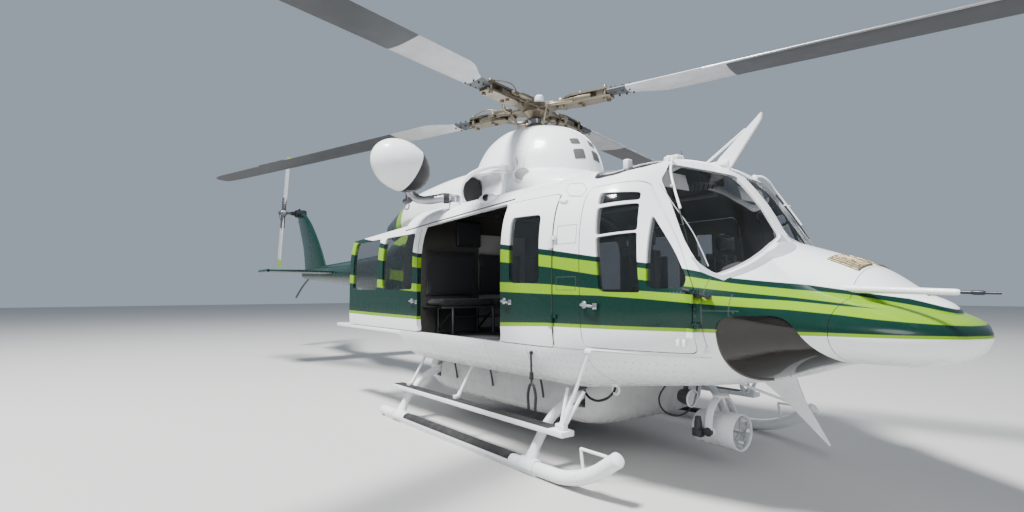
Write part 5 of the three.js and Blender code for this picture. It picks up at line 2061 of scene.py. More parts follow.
@dataclass(frozen=True)
class TailRotor:
    """The two-blade tail rotor on the right of the fin."""

    paints: Paints
    hub: Point = (-8.76, -0.4, 3.21)
    tilt: float = math.radians(12)
    # A blade from its root out: radius, chord, thickness, how far the leading edge is ahead of the axis
    blade: tuple[tuple[float, ...], ...] = (
        (0.10, 0.11, 0.060, 0.055),
        (0.20, 0.12, 0.056, 0.060),
        (0.38, 0.29, 0.036, 0.095),
        (1.26, 0.29, 0.026, 0.095),
        (1.295, 0.26, 0.018, 0.080),
    )

    def build(self) -> None:
        """Makes the rotor in its own frame, then turns it to its place."""
        place = Matrix.Translation(self.hub) @ Matrix.Rotation(self.tilt, 4, "Y")
        table = SmoothTable(self.blade)
        skins = []
        for way in (1, -1):
            rings = []
            for r in table.stations(0.08):
                chord, thick, lead = table.at(r)
                ring = []
                for along, up in foil(0.0, 1.0, thick / 2, 12):
                    ring.append((way * (-lead + along * chord), up, way * r))
                rings.append(ring)
            skins.append(Bench.skin("blade", rings))
        blades = Bench.merge("tail_blades", skins)
        blades.data.materials.append(self.paints.blade_root)
        blades.data.materials.append(self.paints.lime_band)
        for face in blades.data.polygons:
            face.material_index = int(abs(face.center.z) > 1.08)
        blades.data.transform(place)
        Bench.dress(blades, self.paints.blade_root, "tail_rotor", "white_paint", ("tail_rotor",), 40)
        parts = [Bench.turned(
            "hub", (0, 0.06, 0),
            ((0, 0.0), (0, 0.06), (0.02, 0.088), (0.07, 0.085), (0.10, 0.066), (0.14, 0.05), (0.142, 0.0)),
            (0, -1, 0), 32,
        )]
        parts.append(Bench.rod("shaft", (0, 0.169, 0), (0, 0.03, 0), 0.032, sides=24))
        for way in (1, -1):
            parts.append(Bench.block(
                "grip", (-0.05, -0.04, min(way * 0.05, way * 0.36)),
                (0.055, 0.036, max(way * 0.05, way * 0.36)), 0.012,
            ))
            for z in (0.24, 0.32):
                parts.append(Bench.rod("bolt", (0, -0.052, way * z), (0, 0.048, way * z), 0.012, sides=6))
            parts.append(
                Bench.rod("link", (way * 0.07, -0.09, 0.0), (way * 0.085, -0.03, way * 0.19), 0.008, sides=10)
            )
        parts.append(Bench.block("crosshead", (-0.09, -0.10, -0.016), (0.09, -0.082, 0.016), 0.004))
        hub = Bench.merge("tail_hub", parts)
        hub.data.transform(place)
        Bench.dress(hub, self.paints.dull, "tail_rotor", "steel", (), 35)


SKID_Y = 1.315
TUBE = 0.052


@dataclass(frozen=True)
class Gear:
    """The skids, the tubes that carry them and the steps."""

    paints: Paints
    tail_x: float = -1.12
    crosstubes: tuple[tuple[str, float], ...] = (("front", 1.49), ("aft", -0.73))
    step: tuple[float, float] = (-0.90, 1.87)

    def build(self) -> None:
        """Makes both sides and the crosstubes."""
        for side in Side:
            self.skid(side)
            self.make_step(side)
        for name, x in self.crosstubes:
            self.crosstube(name, x)

    def skid(self, side: Side) -> None:
        """A skid tube with its upturned toe, its wear shoe, its grips and the toe's bracket."""
        y = side.value * SKID_Y
        route = [
            (self.tail_x, y, TUBE), (0.4, y, TUBE), (1.69, y, TUBE), (1.90, y, TUBE + 0.014),
            (2.15, y, TUBE + 0.095), (2.39, y, 0.30),
        ]
        tube = Bench.tube("tube", route, TUBE, rings=9)
        cap = Bench.turned(
            "cap", (2.388, y, 0.2985),
            ((0, TUBE * 0.99), (0.012, TUBE * 0.9), (0.02, TUBE * 0.6), (0.023, 0)), (0.24, 0, 0.205), 32,
        )
        shoe = Bench.block("shoe", (self.tail_x + 0.10, y - 0.04, 0.0), (1.60, y + 0.04, 0.02), 0.006)
        plug = Bench.turned(
            "plug", (self.tail_x, y, TUBE), ((0, TUBE * 0.98), (0.008, TUBE * 0.8), (0.01, 0)),
            (-1, 0, 0), 32,
        )
        frame = []
        corner = ((2.075, y, 0.165), (2.055, y, 0.30), (2.30, y, 0.30))
        for a, b in zip(corner, corner[1:]):
            frame.append(Bench.rod("rim", a, b, 0.011, sides=12))
        piece = Bench.merge(f"skid_tube_{side.word}", [tube, cap, shoe, plug, *frame])
        Bench.dress(piece, self.paints.white, "airframe", "white_paint", (f"skid_{side.word}",), 40)
        strip = self.half_sleeve(f"skid_grip_{side.word}", side, -0.55, 1.28)
        Bench.dress(strip, self.paints.grip, "airframe", "dark_paint")

    def half_sleeve(self, name: str, side: Side, start: float, end: float) -> bpy.types.Object:
        """A strip of grip tape over the top of a skid tube."""
        y = side.value * SKID_Y
        rings = []
        for x in (start, end):
            outer = [
                (x, y + (TUBE + 0.0022) * math.cos(a), TUBE + (TUBE + 0.0022) * math.sin(a))
                for a in arc_angles(12, 168, 18)
            ]
            inner = [
                (x, y + (TUBE - 0.002) * math.cos(a), TUBE + (TUBE - 0.002) * math.sin(a))
                for a in arc_angles(168, 12, 18)
            ]
            rings.append(outer + inner)
        return Bench.skin(name, rings)

    def make_step(self, side: Side) -> None:
        """A long step with its black top, hung on struts with forked ends."""
        low_x, high_x = self.step
        low, high = sorted((side.value * 1.2, side.value * 1.325))
        board = Bench.block("board", (low_x, low, 0.33), (high_x, high, 0.372), 0.006)
        parts = [board]
        for x in (1.75, 0.30, -0.65):
            foot = Vector((x, side.value * 1.24, 0.35))
            head = Vector((x, side.value * 0.98, 0.80))
            way = (head - foot).normalized()
            reach = foot + way * ((0.62 - foot.z) / way.z)
            parts.append(Bench.rod("strut", foot, reach + way * 0.10, 0.014, sides=16))
            parts.append(Bench.rod("sleeve", foot + way * 0.02, foot + way * 0.10, 0.020, sides=16))
            parts.append(
                Bench.rod("pin", (x - 0.03, foot.y, 0.39), (x + 0.03, foot.y, 0.39), 0.008, sides=10)
            )
            parts.append(Bench.block(
                "clevis", (x - 0.024, foot.y - 0.022, 0.368), (x + 0.024, foot.y + 0.022, 0.405), 0.004,
            ))
        piece = Bench.merge(f"step_board_{side.word}", parts)
        Bench.dress(piece, self.paints.white, "airframe", "white_paint", (f"step_{side.word}",), 35)
        tape = Bench.block(
            f"step_tape_{side.word}", (low_x + 0.02, low + 0.006, 0.3712),
            (high_x - 0.16, high - 0.006, 0.3745),
        )
        Bench.dress(tape, self.paints.grip, "airframe", "dark_paint")

    def crosstube(self, name: str, x: float) -> None:
        """A bowed tube from skid to skid with its saddles, tapered sockets and bolts."""
        half = (
            (SKID_Y - 0.01, TUBE + 0.03), (1.235, 0.21), (1.05, 0.415), (0.82, 0.513), (0.50, 0.534),
            (0.16, 0.538),
        )
        route = [(x, -y, z) for y, z in half] + [(x, y, z) for y, z in reversed(half)]
        parts = [Bench.tube("tube", route, 0.038, rings=8)]
        for side in Side:
            y = side.value * SKID_Y
            profile = ((0, TUBE + 0.004), (0.01, TUBE + 0.012), (0.17, TUBE + 0.012), (0.18, TUBE + 0.004))
            saddle = Bench.turned("saddle", (x - 0.09, y, TUBE), profile, (1, 0, 0), 40)
            Bench.cut(
                saddle, Bench.block("above", (x - 0.2, y - 0.2, 0.045), (x + 0.2, y + 0.2, 0.3)),
                Cut.COMMON,
            )
            parts.append(saddle)
            foot = Vector((x, side.value * (SKID_Y - 0.012), TUBE + 0.03))
            head = Vector((x, side.value * 1.235, 0.21))
            parts.append(Bench.rod("socket", foot, foot + (head - foot) * 0.55, 0.055, 0.045, 32))
            for dx in (-0.07, 0.07):
                parts.append(Bench.rod(
                    "bolt", (x + dx, y - 0.045, TUBE + 0.044), (x + dx, y + 0.045, TUBE + 0.044), 0.008,
                    sides=6,
                ))
        piece = Bench.merge(f"crosstube_{name}_tube", parts)
        Bench.dress(piece, self.paints.white, "airframe", "white_paint", (f"crosstube_{name}",), 40)


def arc_angles(start: float, end: float, count: int) -> list[float]:
    """Angles from one to another in degrees, given in radians."""
    return [math.radians(start + (end - start) * k / count) for k in range(count + 1)]


@dataclass(frozen=True)
class Belly:
    """What hangs under the floor: the tank, the wire cutter, the landing lamp and the searchlight."""

    paints: Paints
    lamp: Point = (2.20, -0.245, 0.541)
    search: Point = (2.29, 0.0, 0.29)
    search_seat: float = 0.56

    def build(self) -> None:
        """Makes every piece."""
        self.tank()
        self.tank_fittings()
        self.cutter()
        self.landing_lamp()
        self.yoke()
        self.searchlight()

    def tank(self) -> None:
        """The belly tank, relieved over the crosstubes."""
        tank = Loft(
            (
                (1672, 560, 420, 470, 700, 3.0, 4.0),
                (1655, 640, 360, 455, 700, 3.2, 4.0),
                (1630, 690, 318, 450, 700, 3.4, 4.0),
                (1580, 760, 270, 445, 700, 3.4, 4.0),
                (1430, 820, 235, 440, 700, 3.4, 4.0),
                (-500, 850, 225, 440, 700, 3.4, 4.0),
                (-1000, 780, 290, 460, 700, 2.8, 4.0),
                (-1020, 740, 320, 470, 690, 2.8, 4.0),
            )
        )
        piece = tank.solid("tank_skin", quarter=24, step=0.10)
        for x in (1.49, -0.73):
            Bench.cut(piece, Bench.block("relief", (x - 0.06, -1.4, 0.43), (x + 0.06, 1.4, 0.8)), Cut.AWAY)
        Bench.dress(piece, self.paints.tank, "airframe", "white_paint", ("belly_tank",))

    def tank_fittings(self) -> None:
        """The straps that hold the tank, its hose and the searchlight's lead."""
        for side in Side:
            s = side.value
            parts = []
            for x in (1.12, 0.36, -0.30):
                route = [(x, s * 0.90, 0.66), (x, s * 0.875, 0.56), (x, s * 0.858, 0.46)]
                parts.append(Bench.tube("strap", route, 0.010))
            piece = Bench.merge(f"tank_straps_{side.word}", parts)
            Bench.dress(piece, self.paints.webbing, "airframe", "dark_paint")
        hose = (
            (1.56, -0.80, 0.57), (1.66, -0.82, 0.525), (1.78, -0.82, 0.53), (1.88, -0.80, 0.60),
            (1.90, -0.79, 0.66),
        )
        Bench.lead("tank_hose", hose, 0.010, self.paints.rubber, "airframe")
        cable = (
            (2.10, -0.30, 0.70), (2.03, -0.37, 0.62), (2.00, -0.40, 0.50), (2.05, -0.35, 0.41),
            (2.14, -0.26, 0.42), (2.19, -0.20, 0.54), (2.20, -0.17, 0.70),
        )
        Bench.lead("lamp_lead", cable, 0.007, self.paints.rubber, "airframe")

    def cutter(self) -> None:
        """The wire cutters over the windshield and under the chin, each a tapered blade with its brace."""
        upper = Bench.prism(
            "upper", ((2.28, 2.38), (2.40, 2.33), (2.69, 2.69), (2.70, 2.745), (2.33, 2.45)), Axis.Y,
            -0.011, 0.011, 0.012,
        )
        base = Bench.block("base", (2.20, -0.03, 2.385), (2.42, 0.03, 2.425), 0.008)
        brace = Bench.rod("brace", (2.15, 0, 2.40), (2.56, 0, 2.64), 0.010, sides=16)
        lower = Bench.prism(
            "lower", ((2.60, 0.745), (2.88, 0.80), (2.96, 0.59), (3.115, 0.325), (2.83, 0.58)), Axis.Y,
            -0.011, 0.011, 0.010,
        )
        stay = Bench.rod("stay", (2.35, 0, 0.690), (2.89, 0, 0.57), 0.010, sides=16)
        for name, parts in (
            ("wire_cutter_upper", (upper, base, brace)), ("wire_cutter_lower", (lower, stay)),
        ):
            piece = Bench.merge(name, parts)
            Bench.dress(piece, self.paints.white, "airframe", "white_paint", ())

    def landing_lamp(self) -> None:
        """The landing lamp: a black can, a pale rim, a bowl, and its lens."""
        x, y, z = self.lamp
        way = Vector((1, 0, -0.07))
        can = Bench.turned(
            "can", (x - 0.11, y, z + 0.008),
            ((0, 0.0), (0, 0.050), (0.02, 0.056), (0.10, 0.066), (0.10, 0.060), (0.04, 0.030), (0.03, 0.0)),
            way, 40,
        )
        arm = Bench.block("arm", (x - 0.075, y - 0.014, z), (x - 0.045, y + 0.014, 0.70), 0.004)
        Bench.dress(
            Bench.merge("landing_lamp_can", (can, arm)), self.paints.plastic, "airframe", "dark_paint",
        )
        rim = Bench.turned(
            "landing_lamp_rim", (x - 0.012, y, z),
            ((0, 0.066), (0.004, 0.0695), (0.014, 0.0695), (0.016, 0.064), (0.006, 0.062), (0, 0.066)),
            way, 40,
        )
        Bench.dress(rim, self.paints.paper, "airframe", "white_paint")
        bowl = Bench.turned("landing_lamp_bowl", (x - 0.07, y, z), (
            (0, 0.0), (0.002, 0.02), (0.02, 0.044), (0.06, 0.061), (0.062, 0.06), (0.022, 0.040),
            (0.006, 0.0),
        ), way, 40)
        Bench.dress(bowl, self.paints.reflector, "airframe", "steel")
        lens = Bench.turned(
            "landing_lamp_lens", (x - 0.008, y, z),
            ((0, 0.0), (0.0, 0.06), (0.004, 0.06), (0.008, 0.04), (0.010, 0.0)), way, 40,
        )
        Bench.dress(lens, self.paints.lens, "airframe", "tinted_glass")

    def yoke(self) -> None:
        """The searchlight's yoke: a turning head and a curved arch with its drive."""
        x, y, z = self.search
        top = self.search_seat - 0.0003
        outer = [(y + 0.185 * math.cos(a), z + 0.03 + 0.235 * math.sin(a)) for a in arc_angles(0, 180, 24)]
        inner = [(y + 0.166 * math.cos(a), z + 0.03 + 0.216 * math.sin(a)) for a in arc_angles(180, 0, 24)]
        outline = [
            (0.185, z - 0.025), *outer, (-0.185, z - 0.025), (-0.166, z - 0.025), *inner,
            (0.166, z - 0.025),
        ]
        arch = Bench.prism("arch", outline, Axis.X, x - 0.03, x + 0.03)
        Bench.modify(arch, "BEVEL", width=0.004, segments=2, limit_method="ANGLE")
        head = Bench.turned(
            "head", (x, y, top),
            ((0, 0.0), (0, 0.062), (0.006, 0.066), (0.016, 0.066), (0.022, 0.058), (0.022, 0.0)),
            (0, 0, -1), 32,
        )
        piece = Bench.merge("searchlight_arch", (arch, head))
        Bench.dress(piece, self.paints.white, "searchlight_yoke", "white_paint", ("searchlight_yoke",))
        gear = [
            Bench.block("box", (x - 0.12, y - 0.225, z - 0.045), (x - 0.035, y - 0.17, z + 0.02), 0.008),
            Bench.turned(
                "motor", (x - 0.08, y - 0.195, z - 0.02),
                ((0, 0.0), (0, 0.028), (0.08, 0.03), (0.13, 0.022), (0.135, 0.0)), (0, 0, 1), 20,
            ),
            Bench.turned(
                "pivot", (x, y - 0.168, z), ((0, 0.035), (0.02, 0.035), (0.026, 0.028), (0.026, 0.0)),
                (0, -1, 0), 24,
            ),
            Bench.turned(
                "pivot", (x, y + 0.168, z), ((0, 0.035), (0.02, 0.035), (0.026, 0.028), (0.026, 0.0)),
                (0, 1, 0), 24,
            ),
        ]
        Bench.dress(
            Bench.merge("searchlight_drive", gear), self.paints.plastic, "searchlight_yoke", "dark_paint",
        )

    def searchlight(self) -> None:
        """The searchlight's drum, its rim, its bright bowl with the arc lamp, and its lens."""
        x, y, z = self.search
        profile = (
            (-0.195, 0.0),
            (-0.195, 0.105),
            (-0.188, 0.122),
            (-0.17, 0.130),
            (-0.09, 0.132),
            (-0.088, 0.129),
            (-0.082, 0.129),
            (-0.08, 0.132),
            (0.05, 0.135),
            (0.06, 0.139),
            (0.176, 0.140),
            (0.18, 0.138),
            (0.178, 0.130),
            (0.12, 0.118),
            (0.04, 0.07),
            (0.03, 0.0),
        )
        body = Bench.turned("drum", (x, y, z), profile, (1, 0, 0), 56)
        drum = [body]
        for k in range(7):
            a = math.pi * (0.15 + 0.7 * k / 6)
            drum.append(Bench.rod(
                "rivet", (x + 0.066, y + 0.136 * math.cos(a), z + 0.136 * math.sin(a)),
                (x + 0.066, y + 0.1415 * math.cos(a), z + 0.1415 * math.sin(a)), 0.004, sides=8,
            ))
        for side in Side:
            drum.append(Bench.rod(
                "pin", (x, y + side.value * 0.13, z), (x, y + side.value * 0.1645, z), 0.03, sides=24,
            ))
        piece = Bench.merge("searchlight_drum", drum)
        Bench.dress(piece, self.paints.white, "searchlight_lamp", "white_paint", ("searchlight_lamp",), 40)
        bowl = Bench.turned("searchlight_bowl", (x, y, z), (
            (0.045, 0.0), (0.05, 0.05), (0.10, 0.104), (0.16, 0.126), (0.165, 0.124), (0.10, 0.100),
            (0.06, 0.045), (0.055, 0.0),
        ), (1, 0, 0), 48)
        Bench.dress(bowl, self.paints.reflector, "searchlight_lamp", "steel")
        arc = [Bench.turned(
            "arc", (x + 0.055, y, z),
            ((0, 0.018), (0.04, 0.018), (0.05, 0.010), (0.10, 0.009), (0.104, 0.0)), (1, 0, 0), 16,
        )]
        for k in range(3):
            a = math.pi / 2 + k * 2 * math.pi / 3
            arc.append(Bench.rod(
                "spoke", (x + 0.15, y, z), (x + 0.158, y + 0.122 * math.cos(a), z + 0.122 * math.sin(a)),
                0.004, sides=8,
            ))
        Bench.dress(Bench.merge("searchlight_arc", arc), self.paints.dull, "searchlight_lamp", "steel")
        lens = Bench.turned(
            "searchlight_lens", (x, y, z),
            ((0.166, 0.0), (0.166, 0.129), (0.170, 0.129), (0.173, 0.08), (0.174, 0.0)), (1, 0, 0), 48,
        )
        Bench.dress(lens, self.paints.lens, "searchlight_lamp", "tinted_glass")


@dataclass(frozen=True)
class Hoist:
    """The rescue hoist on the right of the roof."""

    paints: Paints
    post: tuple[float, float] = (0.0, -1.08)
    bends: tuple[Point, ...] = (
        (-0.06, -1.19, 2.322), (-0.15, -1.33, 2.302), (-0.23, -1.43, 2.335), (-0.262, -1.48, 2.43),
    )
    dome: Point = (-0.265, -1.56, 2.65)
    lead: tuple[Point, ...] = (
        (-0.02, -1.06, 2.340), (-0.06, -1.13, 2.378), (-0.13, -1.25, 2.358), (-0.20, -1.36, 2.348),
        (-0.24, -1.44, 2.400),
    )

    def build(self) -> None:
        """Makes the pedestal, the arm, the winch's dome with its dark rim, and the hook."""
        x, y = self.post
        pedestal = Bench.turned(
            "hoist_pedestal", (x, y, 2.14),
            ((0, 0.0), (0, 0.062), (0.136, 0.059), (0.1395, 0.057), (0.1395, 0.0)), (0, 0, 1), 32,
        )
        Bench.dress(pedestal, self.paints.white, "airframe", "white_paint")
        arm = Bench.tube("arm", ((x, y, 2.33), *self.bends), 0.040, rings=8)
        collar = Bench.turned(
            "collar", (x, y, 2.2803), ((0, 0.0), (0, 0.057), (0.06, 0.056), (0.075, 0.050), (0.078, 0.0)),
            (0, 0, 1), 32,
        )
        clamp = Bench.turned(
            "clamp", (-0.03, -1.135, 2.326), ((0, 0.0445), (0, 0.052), (0.055, 0.052), (0.055, 0.0445)),
            (-0.5, -1, -0.05), 32,
        )
        piece = Bench.merge("hoist_boom", (arm, collar))
        Bench.dress(piece, self.paints.steel, "hoist", "steel", ("hoist_arm",))
        Bench.dress(Bench.merge("hoist_clamp", (clamp,)), self.paints.dark_metal, "hoist", "steel")
        turn = Matrix.Translation(self.dome) @ Matrix.Rotation(math.radians(-24), 4, "X")
        rings = []
        for k in range(1, 36):
            a = math.pi * k / 36
            rings.append([
                (0.25 * math.sin(a) * math.cos(t), -0.32 * math.cos(a), 0.25 * math.sin(a) * math.sin(t))
                for t in full_turn(48)
            ])
        shell = Bench.skin("winch_dome", rings)
        shell.data.materials.append(self.paints.white)
        shell.data.materials.append(self.paints.rubber)
        for face in shell.data.polygons:
            face.material_index = int(face.center.y > 0.10)
        shell.data.transform(turn)
        Bench.dress(shell, self.paints.white, "hoist", "white_paint", ("hoist_winch",))
        motor = [
            Bench.block("case", (-0.30, -1.52, 2.38), (-0.20, -1.43, 2.47), 0.012),
            Bench.turned(
                "drum", (-0.33, -1.475, 2.30), ((0, 0.0), (0, 0.03), (0.10, 0.03), (0.105, 0.0)),
                (1, 0, 0), 24,
            ),
            Bench.rod("pipe", (-0.31, -1.47, 2.33), (-0.31, -1.47, 2.44), 0.010, sides=12),
        ]
        ring = [Bench.tube(
            "eye",
            [(-0.31 + 0.0, -1.47 + 0.032 * math.cos(a), 2.255 + 0.038 * math.sin(a)) for a in full_turn(14)],
            0.008, loop=True,
        )]
        Bench.dress(Bench.merge("hoist_motor", motor), self.paints.dull, "hoist", "steel")
        Bench.dress(Bench.merge("hoist_hook", ring), self.paints.steel, "hoist", "steel")
        Bench.lead("hoist_lead", self.lead, 0.007, self.paints.rubber, "hoist")


@dataclass(frozen=True)
class Interior:
    """What fills the cabin: floor, linings, seats, instrument panel and controls."""

    paints: Paints
    floor_top: float = 0.9153
    foot: float = 0.9155
    seat_y: float = 0.56
    voxel: float = 0.010
    swell: float = 0.014
    frames: int = 20
    pressure: float = 4.0
    channel_width: float = 0.011
    channel_depth: float = 0.28

    def build(self) -> None:
        """Makes every piece."""
        self.floors()
        self.linings()
        self.crew_seats()
        self.bench()
        self.panel()
        self.controls()

    def fitted(self, name: str, low: Point, high: Point, inset: float) -> bpy.types.Object:
        """A layer between two corners that reaches the hull's inner wall all round."""
        layer = HULL.solid(name, inset, quarter=18, step=0.12, high=3.3)
        return Bench.cut(layer, Bench.block("layer", low, high), Cut.COMMON)

    def floors(self) -> None:
        """The cabin floor with its raised cargo panel and the rings to lash loads to."""
        plate = self.fitted("cabin_floor", (-0.755, -1.4, 0.884), (2.89, 1.4, 0.915), WALL + 0.003)
        Bench.dress(plate, self.paints.floor, "airframe", "dark_paint")
        rings = []
        for x in (0.0, 0.4, 0.8, 1.2, 1.6):
            for y in (-0.95, -0.35, 0.35, 0.95):
                rings.append((
                    "turned", (x, y, 0.9205), ((0, 0.024), (0.0015, 0.024), (0.003, 0.018), (0.003, 0.0)),
                    (0, 0, 1), 16,
                ))
        panel = Bench.kit(
            "cargo_panel", ("block", (-0.25, -1.15, self.floor_top), (1.9, 1.15, 0.921), 0.002), *rings,
        )
        Bench.dress(panel, self.paints.dull, "airframe", "steel")

    def linings(self) -> None:
        """The bulkhead's lining, hatch and pad, and the ceiling's ribs, rails, lamps and grab handles."""
        wall = self.fitted(
            "bulkhead_lining", (-0.757, -1.4, self.floor_top), (-0.751, 1.4, 2.4), WALL + 0.003,
        )
        wall.data.materials.clear()
        wall.data.materials.append(self.paints.lining)
        wall.data.materials.append(self.paints.livery)
        for face in wall.data.polygons:
            face.material_index = int(face.normal.x < -0.5)
        Bench.dress(wall, self.paints.lining, "airframe", "dark_paint")
        hatch = Bench.kit(
            "bulkhead_hatch",
            ("block", (-0.752, -0.29, 0.95), (-0.738, 0.42, 2.06), 0.006),
            ("block", (-0.740, -0.17, 1.50), (-0.730, -0.15, 1.66), 0.004),
            ("block", (-0.740, 0.28, 1.50), (-0.730, 0.30, 1.66), 0.004),
        )
        Bench.dress(hatch, self.paints.hatch, "airframe", "white_paint")
        ribs = []
        for x in (1.10, 0.20, -0.70):
            rib = self.fitted("rib", (x - 0.025, -1.4, 2.14), (x + 0.025, 1.4, 2.5), WALL + 0.001)
            Bench.cut(rib, HULL.solid("void", WALL + 0.028, quarter=18, step=0.12, high=3.3), Cut.AWAY)
            ribs.append(rib)
        rails = [
            Bench.block("rail", (-0.72, y - 0.018, 2.262), (1.9, y + 0.018, 2.300), 0.005)
            for y in (-0.62, 0.62)
        ]
        Bench.dress(Bench.merge("ceiling_ribs", ribs + rails), self.paints.dull, "airframe", "dark_paint")
        lamps = [
            ("turned", (x, y, 2.308), ((0, 0.0), (0, 0.055), (-0.012, 0.055), (-0.028, 0.04), (-0.034, 0.0)))
            for x in (0.65, 1.5)
            for y in (-0.3, 0.3)
        ]
        Bench.dress(Bench.kit("ceiling_lamps", *lamps), self.paints.paper, "airframe", "white_paint")
        grab = [(
            "tube",
            ((x, -0.62, 2.265), (x + 0.02, -0.62, 2.20), (x + 0.13, -0.62, 2.20), (x + 0.15, -0.62, 2.265)),
            0.009,
        ) for x in (0.15, 0.95)]
        Bench.dress(Bench.kit("grab_handles", *grab), self.paints.rubber, "airframe", "dark_paint")
        pad = Bench.kit("bulkhead_pad", ("block", (-0.750, -0.62, 1.90), (-0.690, -0.29, 2.20), 0.02, 3))
        Bench.dress(pad, self.paints.plastic, "airframe", "dark_paint")

    def pad(self, name: str, low: Point, high: Point, seams: Sequence[tuple[int, float]]) -> bpy.types.Object:
        """A cushion blown up by a cloth simulation inside its box, with channels sewn in after.

        Args:
            name: The pad's name.
            low: The lowest corner of its box.
            high: The highest corner of its box.
            seams: Channels, each the axis it crosses and its place on that axis.

        Returns:
            The pad, not yet dressed.
        """
        swell = self.swell
        inner = [[v + swell * way for v in corner] for corner, way in ((low, 1), (high, -1))]
        piece = Bench.block(name, inner[0], inner[1], 0.024, 4)
        Bench.modify(piece, "REMESH", mode="VOXEL", voxel_size=self.voxel)
        rest = [v.co.copy() for v in piece.data.vertices]
        Bench.pick(piece)
        cloth = piece.modifiers.new("Cloth", "CLOTH")
        cloth.settings.use_pressure = True
        cloth.settings.uniform_pressure_force = self.pressure
        cloth.settings.effector_weights.gravity = 0.0
        cloth.point_cache.frame_start = 1
        cloth.point_cache.frame_end = self.frames
        for frame in range(1, self.frames + 1):
            bpy.context.scene.frame_set(frame)
        bpy.ops.object.modifier_apply(modifier=cloth.name)
        bpy.context.scene.frame_set(1)
        thin = min(range(3), key=lambda axis: high[axis] - low[axis])
        middle = (low[thin] + high[thin]) / 2
        for vertex, start in zip(piece.data.vertices, rest):
            move = vertex.co - start
            if move.length > 2 * swell:
                vertex.co = start + move.normalized() * 2 * swell
            for axis, place in seams:
                near = math.exp(-(((vertex.co[axis] - place) / self.channel_width) ** 2))
                vertex.co[thin] += (middle - vertex.co[thin]) * self.channel_depth * near
            vertex.co = [min(max(v, a), b) for v, a, b in zip(vertex.co, low, high)]
        Bench.modify(piece, "SUBSURF", levels=1, render_levels=1)
        return piece

    def dress_pad(self, piece: bpy.types.Object) -> None:
        Bench.dress(piece, self.paints.fabric, "airframe", "seat_fabric", (), 180)

    def crew_seats(self) -> None:
        """Two crew seats, each a shell with bolsters on a pedestal, two pads, a headrest and a harness."""
        y = -self.seat_y
        cushion = self.pad(
            "cushion", (2.035, y - 0.225, 1.205), (2.475, y + 0.225, 1.285), ((0, 2.15), (0, 2.36)),
        )
        back = self.pad("back", (1.985, y - 0.20, 1.292), (2.055, y + 0.20, 1.700), ((2, 1.42), (2, 1.58)))
        head = self.pad("head", (1.985, y - 0.13, 1.725), (2.055, y + 0.13, 1.885), ())
        shell = Bench.kit(
            "shell",
            ("block", (1.960, y - 0.235, 1.2160), (1.982, y + 0.235, 1.7100), 0.008),
            ("block", (1.960, y - 0.140, 1.7000), (1.982, y + 0.140, 1.8950), 0.008),
            ("block", (1.962, y - 0.240, 1.2300), (2.050, y - 0.205, 1.6600), 0.010),
            ("block", (1.962, y + 0.205, 1.2300), (2.050, y + 0.240, 1.6600), 0.010),
            ("block", (2.005, y - 0.235, 1.1760), (2.470, y + 0.235, 1.2020), 0.008),
            ("block", (2.060, y - 0.140, 0.9600), (2.380, y + 0.140, 1.1765), 0.020, 3),
            ("block", (2.050, y - 0.150, self.foot), (2.400, y - 0.110, 0.9650), 0.006),
            ("block", (2.050, y + 0.110, self.foot), (2.400, y + 0.150, 0.9650), 0.006),
            ("rod", (2.40, y - 0.16, 1.17), (2.47, y - 0.16, 1.165), 0.010, None, 12),
            (
                "turned", (2.465, y - 0.16, 1.165), ((0, 0.0), (0, 0.014), (0.018, 0.014), (0.02, 0.0)),
                (1, 0, 0), 12,
            ),
        )
        belts = Bench.kit(
            "belts",
            (
                "prism", ((y - 0.115, 1.30), (y - 0.072, 1.30), (y - 0.042, 1.70), (y - 0.085, 1.70)),
                Axis.X, 2.056, 2.060,
            ),
            (
                "prism", ((y + 0.115, 1.30), (y + 0.072, 1.30), (y + 0.042, 1.70), (y + 0.085, 1.70)),
                Axis.X, 2.056, 2.060,
            ),
            (
                "prism", ((2.07, y - 0.22), (2.12, y - 0.22), (2.20, y - 0.02), (2.15, y - 0.02)), Axis.Z,
                1.2862, 1.2900,
            ),
            (
                "prism", ((2.07, y + 0.22), (2.12, y + 0.22), (2.20, y + 0.02), (2.15, y + 0.02)), Axis.Z,
                1.2862, 1.2900,
            ),
            (
                "turned", (2.175, y, 1.2862), ((0, 0.030), (0.010, 0.030), (0.014, 0.022), (0.014, 0.0)),
                (0, 0, 1), 20,
            ),
        )
        mirror = Matrix.Scale(-1, 4, (0, 1, 0))
        for side in Side:
            way = None if side is Side.RIGHT else mirror
            frame = Bench.copy(shell, f"crew_seat_shell_{side.word}", way)
            Bench.dress(frame, self.paints.plastic, "airframe", "dark_paint", (f"crew_seat_{side.word}",))
            webbing = Bench.copy(belts, f"crew_seat_harness_{side.word}", way)
            Bench.dress(webbing, self.paints.webbing, "airframe", "seat_fabric")
            for part, piece in (("cushion", cushion), ("back", back), ("headrest", head)):
                self.dress_pad(Bench.copy(piece, f"crew_seat_{part}_{side.word}", way))
        for used in (shell, belts, cushion, back, head):
            bpy.data.objects.remove(used)

